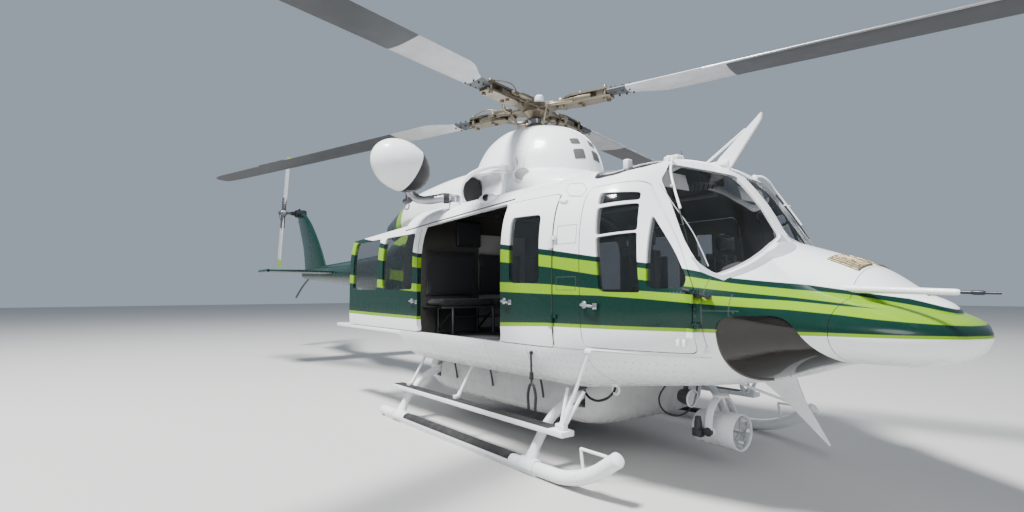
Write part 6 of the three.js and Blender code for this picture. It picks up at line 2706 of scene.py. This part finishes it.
    def bench(self) -> None:
        """The cabin's bench along the rear wall: three pads, three backs, a tubular frame and its belts."""
        width = 0.70
        cushion = self.pad("cushion", (-0.735, -0.348, 1.218), (-0.300, 0.348, 1.295), ((0, -0.52),))
        back = self.pad("back", (-0.745, -0.348, 1.300), (-0.672, 0.348, 1.862), ((2, 1.50), (2, 1.68)))
        for number, y in enumerate((-width, 0.0, width), start=1):
            for part, piece in (("cushion", cushion), ("back", back)):
                self.dress_pad(
                    Bench.copy(piece, f"bench_{part}_{number}", Matrix.Translation((0, y, 0))),
                )
        for used in (cushion, back):
            bpy.data.objects.remove(used)
        rows = [("block", (-0.740, -1.045, 1.196), (-0.305, 1.045, 1.217), 0.008)]
        for y in (-0.88, -0.35, 0.35, 0.88):
            rows.append(("rod", (-0.36, y, self.foot), (-0.36, y, 1.20), 0.018, None, 16))
            rows.append(("rod", (-0.68, y, self.foot), (-0.68, y, 1.20), 0.018, None, 16))
            rows.append(("rod", (-0.66, y, 0.96), (-0.38, y, 1.16), 0.012, None, 12))
            rows.append(
                ("turned", (-0.36, y, self.foot), ((0, 0.034), (0.008, 0.034), (0.014, 0.02), (0.014, 0.0)))
            )
        rows.append(("rod", (-0.36, -0.89, 1.10), (-0.36, 0.89, 1.10), 0.012, None, 12))
        Bench.dress(Bench.kit("bench_frame", *rows), self.paints.dull, "airframe", "steel", ("cabin_bench",))
        belts = []
        for y in (-width, 0.0, width):
            for way in (-1, 1):
                outline = (
                    (-0.64, y + way * 0.24), (-0.59, y + way * 0.24), (-0.50, y + way * 0.015),
                    (-0.55, y + way * 0.015),
                )
                belts.append(("prism", outline, Axis.Z, 1.2955, 1.2985))
            belts.append(("block", (-0.555, y - 0.022, 1.2955), (-0.505, y + 0.022, 1.306), 0.003))
        Bench.dress(Bench.kit("bench_belts", *belts), self.paints.webbing, "airframe", "seat_fabric")

    def panel(self) -> None:
        """The instrument panel with its hood, screens and dials, the console and the overhead switches."""
        face = ((-0.62, 1.15), (0.62, 1.15), (0.60, 1.50), (0.45, 1.545), (-0.45, 1.545), (-0.60, 1.50))
        board = Bench.kit(
            "instrument_board",
            ("prism", face, Axis.X, 2.822, 2.895, 0.03, 5),
            ("block", (2.560, -0.160, self.foot), (2.830, 0.160, 1.3000), 0.012),
            ("block", (2.800, -0.160, self.foot), (2.880, 0.160, 1.2000), 0.010),
        )
        Bench.dress(board, self.paints.plastic, "airframe", "dark_paint", ("instrument_panel",))
        hood = self.fitted("panel_hood", (2.70, -0.62, 1.40), (2.96, 0.62, 1.60), WALL + 0.004)
        arch = Bench.prism(
            "arch",
            ((-0.64, 1.38), (0.64, 1.38), (0.61, 1.535), (0.42, 1.585), (-0.42, 1.585), (-0.61, 1.535)),
            Axis.X, 2.6, 3.0, 0.06, 6,
        )
        Bench.cut(hood, arch, Cut.COMMON)
        hollow = Bench.prism(
            "hollow",
            ((-0.60, 1.3), (0.60, 1.3), (0.58, 1.52), (0.41, 1.568), (-0.41, 1.568), (-0.58, 1.52)),
            Axis.X, 2.6, 2.90, 0.04, 4,
        )
        Bench.cut(hood, hollow, Cut.AWAY)
        Bench.modify(hood, "BEVEL", width=0.006, segments=2, limit_method="ANGLE", angle_limit=0.6)
        Bench.dress(hood, self.paints.hood, "airframe", "dark_paint")
        rows, glass = [], []
        for y in (-0.47, -0.22, 0.22, 0.47):
            rows.append(("block", (2.812, y - 0.105, 1.30), (2.8225, y + 0.105, 1.50), 0.003))
            glass.append(("block", (2.8105, y - 0.085, 1.325), (2.8125, y + 0.085, 1.480)))
        for y in (-0.40, -0.28, -0.05, 0.05, 0.28, 0.40):
            rows.append((
                "turned", (2.8225, y, 1.235),
                ((0, 0.044), (0.010, 0.044), (0.012, 0.036), (0.006, 0.034), (0.006, 0.0)), (-1, 0, 0), 24,
            ))
        for k in range(6):
            for j in range(4):
                x, y = 2.585 + 0.042 * k, -0.115 + 0.072 * j
                rows.append(("block", (x, y, 1.299), (x + 0.026, y + 0.05, 1.309), 0.003, 1))
        Bench.dress(Bench.kit("instruments", *rows), self.paints.dark_metal, "airframe", "dark_paint")
        Bench.dress(Bench.kit("screens", *glass), self.paints.glass, "airframe", "tinted_glass")
        over = self.fitted("overhead_console", (1.96, -0.17, 2.255), (2.26, 0.17, 2.40), WALL + 0.002)
        switches = [
            (
                "rod", (2.0 + 0.045 * k, -0.12 + 0.06 * j, 2.256),
                (1.995 + 0.045 * k, -0.12 + 0.06 * j, 2.236), 0.005, None, 8,
            )
            for k in range(6)
            for j in range(5)
        ]
        over = Bench.merge("overhead_console", [over, Bench.kit("switches", *switches)])
        Bench.dress(over, self.paints.plastic, "airframe", "dark_paint")

    def controls(self) -> None:
        """Sticks, levers, pedals and sun visors for both seats."""
        rows, grips, visors = [], [], []
        for side in Side:
            y = side.value * self.seat_y
            rows.append(
                ("tube", ((2.60, y, self.foot), (2.61, y, 1.05), (2.585, y, 1.19), (2.545, y, 1.30)), 0.013)
            )
            grips.append(("tube", ((2.547, y, 1.295), (2.532, y, 1.35), (2.520, y, 1.42)), 0.021))
            rows.append((
                "turned", (2.60, y, self.foot), ((0, 0.06), (0.01, 0.06), (0.05, 0.03), (0.06, 0.0)),
                (0, 0, 1), 20,
            ))
            lever = y + 0.30
            rows.append(("tube", ((2.08, lever, 0.96), (2.25, lever, 1.10), (2.38, lever, 1.22)), 0.012))
            grips.append(("tube", ((2.37, lever, 1.21), (2.45, lever, 1.285)), 0.019))
            for way in (-0.11, 0.11):
                rows.append(("rod", (2.80, y + way, self.foot), (2.78, y + way, 1.05), 0.008, None, 10))
                grips.append(("block", (2.755, y + way - 0.045, 1.03), (2.775, y + way + 0.045, 1.10), 0.004))
            low, high = sorted((y - 0.20, y + 0.18))
            visors.append(
                ("prism", ((2.265, 2.275), (2.300, 2.150), (2.306, 2.152), (2.271, 2.277)), Axis.Y, low, high)
            )
        Bench.dress(Bench.kit("control_sticks", *rows), self.paints.dull, "airframe", "steel")
        Bench.dress(Bench.kit("control_grips", *grips), self.paints.rubber, "airframe", "dark_paint")
        Bench.dress(Bench.kit("sun_visors", *visors), self.paints.grey, "airframe", "steel")


@dataclass(frozen=True)
class Trim:
    """The small fittings on the outside: seals, hinges, handles, wipers, vents, aerials and lamps."""

    paints: Paints
    crew_hinges: tuple[float, ...] = (1.09, 1.30)
    panel_hinges: tuple[float, ...] = (1.12, 1.70)

    def build(self) -> None:
        """Makes every fitting."""
        self.hinges()
        self.handles()
        self.seals()
        self.wipers()
        self.roof()
        self.nose()
        self.struts()

    def hinges(self) -> None:
        """The knuckles of each hinge, half on door and half on frame, and the sliding doors' runners."""
        for side in Side:
            s = side.value
            frame = []
            for door, x, y, heights in (
                ("crew_door", 2.816, 1.102, self.crew_hinges),
                ("hinged_panel", 1.760, 1.318, self.panel_hinges),
            ):
                rows = []
                for z in heights:
                    skin = HULL.side(x, z) * s
                    for back, low, high, kit in ((-1, z, z + 0.06, rows), (1, z + 0.0603, z + 0.0903, frame)):
                        kit.append(("rod", (x, y * s, low), (x, y * s, high), 0.012, None, 20))
                        leaf = sorted((skin - 0.004 * s, y * s + 0.001 * s))
                        across = sorted((x, x + back * 0.045))
                        kit.append(("block", (across[0], leaf[0], low), (across[1], leaf[1], high), 0.002, 1))
                Bench.dress(
                    Bench.kit(f"{door}_hinges_{side.word}", *rows), self.paints.livery,
                    f"{door}_{side.word}", "white_paint",
                )
            Bench.dress(
                Bench.kit(f"frame_hinges_{side.word}", *frame), self.paints.livery, "airframe",
                "white_paint",
            )
            shift = SLIDE_OPEN if side is Side.RIGHT else 0.0
            low, high = sorted((1.266 * s, 1.290 * s))
            runners = [
                ("block", (x - shift, low, 0.9603), (x + 0.06 - shift, high, 1.0), 0.004)
                for x in (-0.6, 0.9)
            ]
            piece = Bench.kit(f"door_runners_{side.word}", *runners)
            Bench.dress(piece, self.paints.dark_metal, f"sliding_door_{side.word}", "dark_paint")

    def handles(self) -> None:
        """A handle in its dish on every door."""
        for side in Side:
            s = side.value
            shift = SLIDE_OPEN if side is Side.RIGHT else 0.0
            for door, x, z, length in (
                ("crew_door", 2.045, 1.285, 0.125),
                ("hinged_panel", 1.150, 1.30, 0.10),
                ("sliding_door", 0.960 - shift, 1.28, 0.12),
            ):
                y = HULL.side(x + shift * (door == "sliding_door"), z) * s
                middle = x + length / 2
                rows = [
                    (
                        "turned", (x + 0.022, y - 0.004 * s, z),
                        ((0, 0.026), (0.008, 0.026), (0.012, 0.02), (0.012, 0.0)), (0, s, 0), 24,
                    ),
                    ("rod", (x + 0.022, y, z), (x + 0.022, y + 0.026 * s, z), 0.010, None, 16),
                    ("tube", (
                        (x + 0.012, y + 0.024 * s, z), (middle, y + 0.028 * s, z - 0.004),
                        (x + length, y + 0.022 * s, z - 0.010),
                    ), 0.009),
                    (
                        "block", (x + length - 0.02, min(y - 0.004 * s, y + 0.006 * s), z - 0.03),
                        (x + length + 0.02, max(y - 0.004 * s, y + 0.006 * s), z + 0.012), 0.003,
                    ),
                ]
                piece = Bench.kit(f"{door}_handle_{side.word}", *rows)
                Bench.dress(piece, self.paints.steel, f"{door}_{side.word}", "steel")

    def along_side(self, side: Side, points: Sequence[tuple[float, float]], proud: float) -> list[Point]:
        """Points in x and z laid on one side of the hull."""
        return [(x, (HULL.side(x, z) + proud) * side.value, z) for x, z in points]

    def seals(self) -> None:
        """Rubber ahead of the hinged panel, gutters, sills and edges of the doors, and windshield sealant."""
        for side in Side:
            strip = self.along_side(side, [(1.7575, 0.985 + 0.075 * k) for k in range(16)], 0.001)
            rubber = Bench.tube(f"door_seal_{side.word}", strip, 0.0045, rings=2)
            Bench.dress(rubber, self.paints.rubber, "airframe", "dark_paint")
            gutter = self.along_side(side, [(-0.74 + 0.19 * k, 2.050 + 0.0107 * k) for k in range(11)], 0.002)
            Bench.dress(
                Bench.tube(f"door_gutter_{side.word}", gutter, 0.006, rings=2), self.paints.plastic,
                "airframe", "dark_paint",
            )
            sill = self.along_side(side, [(2.06 + 0.074 * k, 0.972) for k in range(11)], 0.0)
            Bench.dress(
                Bench.tube(f"sill_strip_{side.word}", sill, 0.007, rings=2), self.paints.white,
                "airframe", "white_paint",
            )
            shift = SLIDE_OPEN if side is Side.RIGHT else 0.0
            edge = [
                (x - shift, y, z)
                for x, y, z in self.along_side(side, [(1.098, 1.03 + 0.1 * k) for k in range(11)], -0.002)
            ]
            rubber = Bench.tube(f"door_edge_{side.word}", edge, 0.005, rings=2)
            Bench.dress(rubber, self.paints.rubber, f"sliding_door_{side.word}", "dark_paint")
            post = self.along_side(side, [(2.392 + 0.047 * k, 2.140 - 0.067 * k) for k in range(10)], 0.0005)
            Bench.dress(
                Bench.tube(f"post_seal_{side.word}", post, 0.004, rings=2), self.paints.sealant,
                "airframe", "dark_paint",
            )
        layer = Bench.cut(HULL.solid("layer"), NOSE_DECK.solid("deck", step=0.04), Cut.TOGETHER)
        Bench.modify(layer, "DISPLACE", strength=0.0025, mid_level=0.0)
        Bench.cut(layer, HULL.solid("inside", 0.03, quarter=20, high=INSET_SKIN_END_X), Cut.AWAY)
        for side in Side:
            foot = [(y * side.value, z) for y, z in (
                (0.03, 1.735), (0.03, 1.790), (0.10, 1.773), (0.955, 1.60), (0.975, 1.50), (0.93, 1.445),
                (0.90, 1.46),
            )]
            band = Bench.cut(
                Bench.copy(layer, f"screen_sealant_{side.word}"),
                Bench.prism("foot", foot, Axis.X, 2.6, 3.15), Cut.COMMON,
            )
            hole = [(y * side.value, z) for y, z in shifted(WINDSHIELD, -0.004)]
            Bench.cut(band, Bench.prism("hole", hole, Axis.X, 2.3, 3.2, 0.03), Cut.AWAY)
            Bench.dress(band, self.paints.sealant, "airframe", "dark_paint")
        bpy.data.objects.remove(layer)

    def wipers(self) -> None:
        """Two wipers, each an arm from the roof with its blade."""
        for side in Side:
            s = side.value
            arm = (
                (2.300, -0.60, 2.385), (2.345, -0.64, 2.372), (2.405, -0.735, 2.245),
                (2.470, -0.79, 2.115), (2.560, -0.845, 1.945),
            )
            rows = [("tube", [(x, -y * s, z) for x, y, z in arm], 0.009)]
            rows.append((
                "turned", (2.285, 0.60 * s, 2.355),
                ((0, 0.0), (0, 0.028), (0.02, 0.026), (0.04, 0.016), (0.045, 0.0)),
            ))
            rows.append(("tube", ((2.456, 0.765 * s, 2.125), (2.475, 0.83 * s, 2.118)), 0.007))
            Bench.dress(
                Bench.kit(f"wiper_arm_{side.word}", *rows), self.paints.white, "airframe", "white_paint",
            )
            blade = [
                (screen_station(y, z) + 0.014, y * s, z)
                for y, z in ((0.74, 2.22), (0.79, 2.08), (0.84, 1.94), (0.875, 1.82))
            ]
            Bench.dress(
                Bench.tube(f"wiper_blade_{side.word}", blade, 0.006, rings=2), self.paints.rubber,
                "airframe", "dark_paint",
            )

    def roof(self) -> None:
        """The round vent with its mesh, the beacon, a lamp, the roof's aerials and fairings, step covers."""
        way = (0.58, -0.68, 0.44)
        at = (0.578, -0.660, 2.518)
        rim = ((-0.06, 0.0), (-0.06, 0.084), (0.028, 0.084), (0.035, 0.077), (0.026, 0.071), (0.026, 0.0))
        Bench.dress(
            Bench.turned("round_vent", at, rim, way, 40), self.paints.paper, "airframe", "white_paint",
        )
        mesh = Bench.turned(
            "vent_mesh", at, ((0.022, 0.0), (0.022, 0.0705), (0.028, 0.0705), (0.030, 0.0)), way, 40,
        )
        Bench.dress(mesh, self.paints.screen, "airframe", "steel")
        beacon = Bench.kit(
            "beacon_fairing",
            ("turned", (0.47, -1.098, 2.248), (
                (0, 0.0), (0.03, 0.020), (0.10, 0.044), (0.20, 0.058), (0.28, 0.055), (0.33, 0.034),
                (0.345, 0.0),
            ), (1, -0.16, -0.13), 28),
            (
                "turned", (0.700, -1.163, 2.220),
                ((0, 0.0), (0, 0.044), (0.040, 0.044), (0.046, 0.040), (0.042, 0.034), (0.042, 0.0)),
                (0.62, -0.75, 0.18), 28,
            ),
        )
        Bench.dress(beacon, self.paints.white, "airframe", "white_paint")
        lens = Bench.turned(
            "beacon_lens", (0.700, -1.163, 2.220),
            ((0.0425, 0.0), (0.0425, 0.0335), (0.050, 0.031), (0.058, 0.018), (0.060, 0.0)),
            (0.62, -0.75, 0.18), 24,
        )
        Bench.dress(lens, self.paints.smoked, "airframe", "tinted_glass")
        lamp = Bench.turned(
            "formation_lamp", (1.735, -1.215, 2.068),
            ((0, 0.0), (0.03, 0.022), (0.07, 0.028), (0.11, 0.022), (0.13, 0.0)), (1, -0.10, -0.25), 24,
        )
        Bench.dress(lamp, self.paints.white, "airframe", "white_paint")
        aerials = Bench.kit(
            "roof_aerials",
            ("rod", (0.365, -0.55, 2.64), (0.360, -0.56, 2.76), 0.005, 0.003, 10),
            ("rod", (2.20, -0.30, 2.39), (2.18, -0.30, 2.50), 0.004, 0.002, 10),
            ("turned", (2.20, -0.30, 2.388), ((0, 0.022), (0.008, 0.022), (0.016, 0.010), (0.016, 0.0))),
        )
        Bench.dress(aerials, self.paints.plastic, "airframe", "dark_paint")
        boxes = Bench.kit(
            "roof_fairings",
            ("block", (2.12, -0.46, 2.375), (2.26, -0.36, 2.44), 0.02, 4),
            ("block", (2.065, -0.865, 2.285), (2.115, -0.805, 2.372), 0.012, 3),
            ("block", (2.02, -0.05, 2.378), (2.22, 0.05, 2.415), 0.012, 3),
        )
        Bench.dress(boxes, self.paints.paper, "airframe", "white_paint")
        for side in Side:
            s = side.value
            ring = (
                (1.774, 1.177, 2.148), (1.764, 1.126, 2.202), (1.897, 1.117, 2.190),
                (1.980, 1.160, 2.130), (1.966, 1.196, 2.074), (1.849, 1.206, 2.089),
            )
            cover = Bench.tube(
                f"step_cover_rim_{side.word}", [(x, y * s, z) for x, y, z in ring], 0.005, smooth=False,
                rings=2, loop=True,
            )
            Bench.dress(cover, self.paints.grey, "airframe", "white_paint")

    def nose(self) -> None:
        """Grilles on the nose, the pitot tube, the mirror's bracket and fairings over the lower hinges."""
        bars = []
        for middle in (-0.155, 0.155):
            for k in range(-3, 4):
                y = middle + 0.034 * k
                bars.append((
                    "tube",
                    [(x, y, NOSE_DECK.roof(x, y) + 0.003) for x in (3.255, 3.30, 3.345, 3.39, 3.43)],
                    0.0085,
                ))
            for x in (3.255, 3.43):
                edge = [
                    (x, middle + 0.034 * k, NOSE_DECK.roof(x, middle + 0.034 * k) + 0.003)
                    for k in range(-3, 4)
                ]
                bars.append(("tube", edge, 0.0065))
        for k in range(3):
            x = 3.66 + 0.03 * k
            z = NOSE_DECK.roof(x, 0.0)
            bars.append(("block", (x, -0.06, z - 0.008), (x + 0.010, 0.06, z + 0.004)))
        Bench.dress(Bench.kit("nose_grilles", *bars), self.paints.bronze, "airframe", "steel")
        tube = Bench.kit(
            "pitot_mast",
            ("rod", (3.40, -0.40, 1.392), (3.96, -0.40, 1.372), 0.024, 0.017, 24),
            (
                "turned", (3.955, -0.40, 1.3722),
                ((0, 0.017), (0.012, 0.015), (0.02, 0.009), (0.02, 0.0)), (1, 0, -0.033), 24,
            ),
        )
        Bench.dress(tube, self.paints.white, "airframe", "white_paint")
        tip = Bench.kit(
            "pitot_tip",
            ("rod", (3.965, -0.40, 1.3722), (4.143, -0.40, 1.366), 0.009, 0.0065, 16),
            (
                "turned", (4.02, -0.40, 1.3702),
                ((0, 0.0095), (0.01, 0.012), (0.05, 0.012), (0.06, 0.0085)), (1, 0, -0.033), 16,
            ),
        )
        Bench.dress(tip, self.paints.dark_metal, "airframe", "dark_paint")
        for side in Side:
            s = side.value
            bracket = Bench.kit(
                f"mirror_bracket_{side.word}",
                (
                    "tube",
                    ((2.745, 1.088 * s, 1.388), (2.83, 1.095 * s, 1.372), (2.915, 1.052 * s, 1.335)),
                    0.010,
                ),
                (
                    "block", (2.80, min(1.068 * s, 1.092 * s), 1.335),
                    (2.87, max(1.068 * s, 1.092 * s), 1.362), 0.005,
                ),
                ("rod", (2.895, 1.03 * s, 1.345), (2.905, 1.072 * s, 1.340), 0.013, None, 14),
            )
            Bench.dress(bracket, self.paints.rubber, "airframe", "dark_paint")
            covers = []
            for x, z in ((2.700, 1.052), (2.735, 1.052), (2.845, 1.015)):
                y = HULL.side(x, z) * s
                covers.append((
                    "block", (x, min(y - 0.01 * s, y + 0.012 * s), z - 0.02),
                    (x + 0.024, max(y - 0.01 * s, y + 0.012 * s), z + 0.025), 0.005,
                ))
            Bench.dress(
                Bench.kit(f"hinge_covers_{side.word}", *covers), self.paints.white, "airframe",
                "white_paint",
            )

    def struts(self) -> None:
        """The step's outer struts, the tether with its fork and the eye under the floor."""
        for side in Side:
            s = side.value
            head = (2.075, (HULL.side(2.075, 0.965) + 0.004) * s, 0.965)
            rows = [
                ("rod", (1.815, 1.262 * s, 0.385), head, 0.011, None, 16),
                ("rod", (1.83, 1.262 * s, 0.42), (1.90, 1.25 * s, 0.56), 0.017, None, 16),
                (
                    "block", (head[0] - 0.035, min(head[1] - 0.02, head[1] + 0.02), 0.945),
                    (head[0] + 0.03, max(head[1] - 0.02, head[1] + 0.02), 0.975), 0.006,
                ),
                (
                    "block", (1.795, min(1.24 * s, 1.285 * s), 0.371),
                    (1.845, max(1.24 * s, 1.285 * s), 0.41), 0.005,
                ),
                ("rod", (1.80, 1.232 * s, 0.385), (1.87, 1.10 * s, 0.64), 0.013, None, 16),
                ("rod", (1.76, 1.232 * s, 0.385), (1.69, 1.10 * s, 0.64), 0.013, None, 16),
            ]
            Bench.dress(
                Bench.kit(f"step_struts_{side.word}", *rows), self.paints.white, "airframe", "white_paint",
            )
        y = -HULL.side(1.50, 0.90)
        fork = Bench.kit(
            "tether_fork",
            ("turned", (1.50, y - 0.004, 0.905), ((0, 0.014), (0.016, 0.014), (0.02, 0.0)), (0, -1, 0), 16),
            (
                "prism", ((1.489, 0.915), (1.511, 0.915), (1.520, 0.66), (1.498, 0.66)), Axis.Y,
                y - 0.0165, y - 0.0125,
            ),
            ("tube", (
                (1.470, y - 0.015, 0.47), (1.472, y - 0.015, 0.62), (1.510, y - 0.015, 0.668),
                (1.548, y - 0.015, 0.62), (1.550, y - 0.015, 0.47),
            ), 0.011),
            ("block", (1.492, y - 0.026, 0.70), (1.524, y - 0.004, 0.76), 0.005),
        )
        Bench.dress(fork, self.paints.rubber, "airframe", "dark_paint")
        keel = HULL.keel(1.91, 0.80)
        eye = [(1.91 + 0.035 * math.cos(a), -0.80, keel - 0.035 + 0.035 * math.sin(a)) for a in full_turn(16)]
        lug = Bench.kit(
            "belly_eye", ("tube", eye, 0.008, False, 3, True),
            ("block", (1.885, -0.82, keel - 0.012), (1.935, -0.78, keel + 0.03), 0.006),
        )
        Bench.dress(lug, self.paints.white, "airframe", "white_paint")


def screen_station(y: float, z: float) -> float:
    """The station where the hull's front reaches a distance from the middle and a height."""
    low, high = 2.0, 3.4
    for _ in range(24):
        middle = (low + high) / 2
        low, high = (middle, high) if HULL.within(Vector((middle, y, z)), 0.0) else (low, middle)
    return low


@dataclass(frozen=True)
class Studio:
    """The floor, the lights and the camera."""

    eye: Point = (4.937 + MAST_X, -4.087, 1.381)
    yaw: float = 52.88
    pitch: float = 3.54
    roll: float = -0.09
    lens: float = 19.95

    def camera(self) -> None:
        """Places the camera as the photograph was taken."""
        data = bpy.data.cameras.new("camera")
        data.lens = self.lens
        data.sensor_width = 36.0
        data.clip_end = 500.0
        eye = bpy.data.objects.new("camera", data)
        bpy.context.scene.collection.objects.link(eye)
        turn = (
            Matrix.Rotation(math.radians(self.yaw), 4, "Z")
            @ Matrix.Rotation(math.radians(90.0 + self.pitch), 4, "X")
            @ Matrix.Rotation(math.radians(self.roll), 4, "Z")
        )
        eye.matrix_world = Matrix.Translation(self.eye) @ turn
        bpy.context.scene.camera = eye

    def floor(self) -> None:
        """Lays a plain pale floor."""
        Bench.clear()
        bpy.ops.mesh.primitive_plane_add(size=120.0, location=(0, 0, -0.0005))
        floor = bpy.context.object
        floor.name = "floor"
        finish = Finish("pale_floor", Base_Color=(0.50, 0.49, 0.475, 1.0), Roughness=0.75)
        floor.data.materials.append(finish.material)

    def light(self) -> None:
        """Hangs a soft key light, two fills and a pale sky."""
        world = bpy.data.worlds.new("studio")
        bpy.context.scene.world = world
        world.use_nodes = True
        sky_colour = (0.66, 0.77, 0.92, 1.0)
        sky_strength = 0.50
        background = world.node_tree.nodes["Background"]
        background.inputs["Color"].default_value = sky_colour
        background.inputs["Strength"].default_value = sky_strength
        lamps = (
            ("key", (1.0, -9.0, 19.0), 4.0, 13000.0),
            ("front", (18.0, -6.0, 8.0), 7.0, 1100.0),
            ("back", (-8.0, 14.0, 10.0), 9.0, 900.0),
        )
        for name, place, size, power in lamps:
            data = bpy.data.lights.new(name, "AREA")
            data.shape = "DISK"
            data.size = size
            data.energy = power
            lamp = bpy.data.objects.new(name, data)
            bpy.context.scene.collection.objects.link(lamp)
            lamp.location = place
            aim = Vector((MAST_X, 0, 1.5)) - Vector(place)
            lamp.rotation_euler = aim.to_track_quat("-Z", "Y").to_euler()


def plain_finishes(frame: dict) -> None:
    """Gives every node of the model a first finish by its slot.
    """
    slots = {row["node"]: row["material_slot"] for row in frame["record"]["subparts"]}
    made = {}
    for row in frame["record"]["materials"]:
        colour = [*row["base_color"][:3], 1.0]
        made[row["slot"]] = Finish(row["slot"], Base_Color=colour, Roughness=0.35).material
    for name, piece in frame["nodes"].items():
        piece.data.materials.clear()
        piece.data.materials.append(made[slots[name]])


def main() -> None:
    """Builds the helicopter and its studio."""
    logging.basicConfig(level=logging.INFO, format="%(name)s: %(message)s")
    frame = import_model()
    studio = Studio()
    studio.camera()
    studio.floor()
    studio.light()
    plain_finishes(frame)
    paints = Paints()
    Cabin(paints).build()
    Tail(paints).build()
    for assembly in (Powerplant, MainRotor, TailRotor, Gear, Belly, Hoist, Interior, Trim):
        assembly(paints).build()


if __name__ == "__main__":
    main()
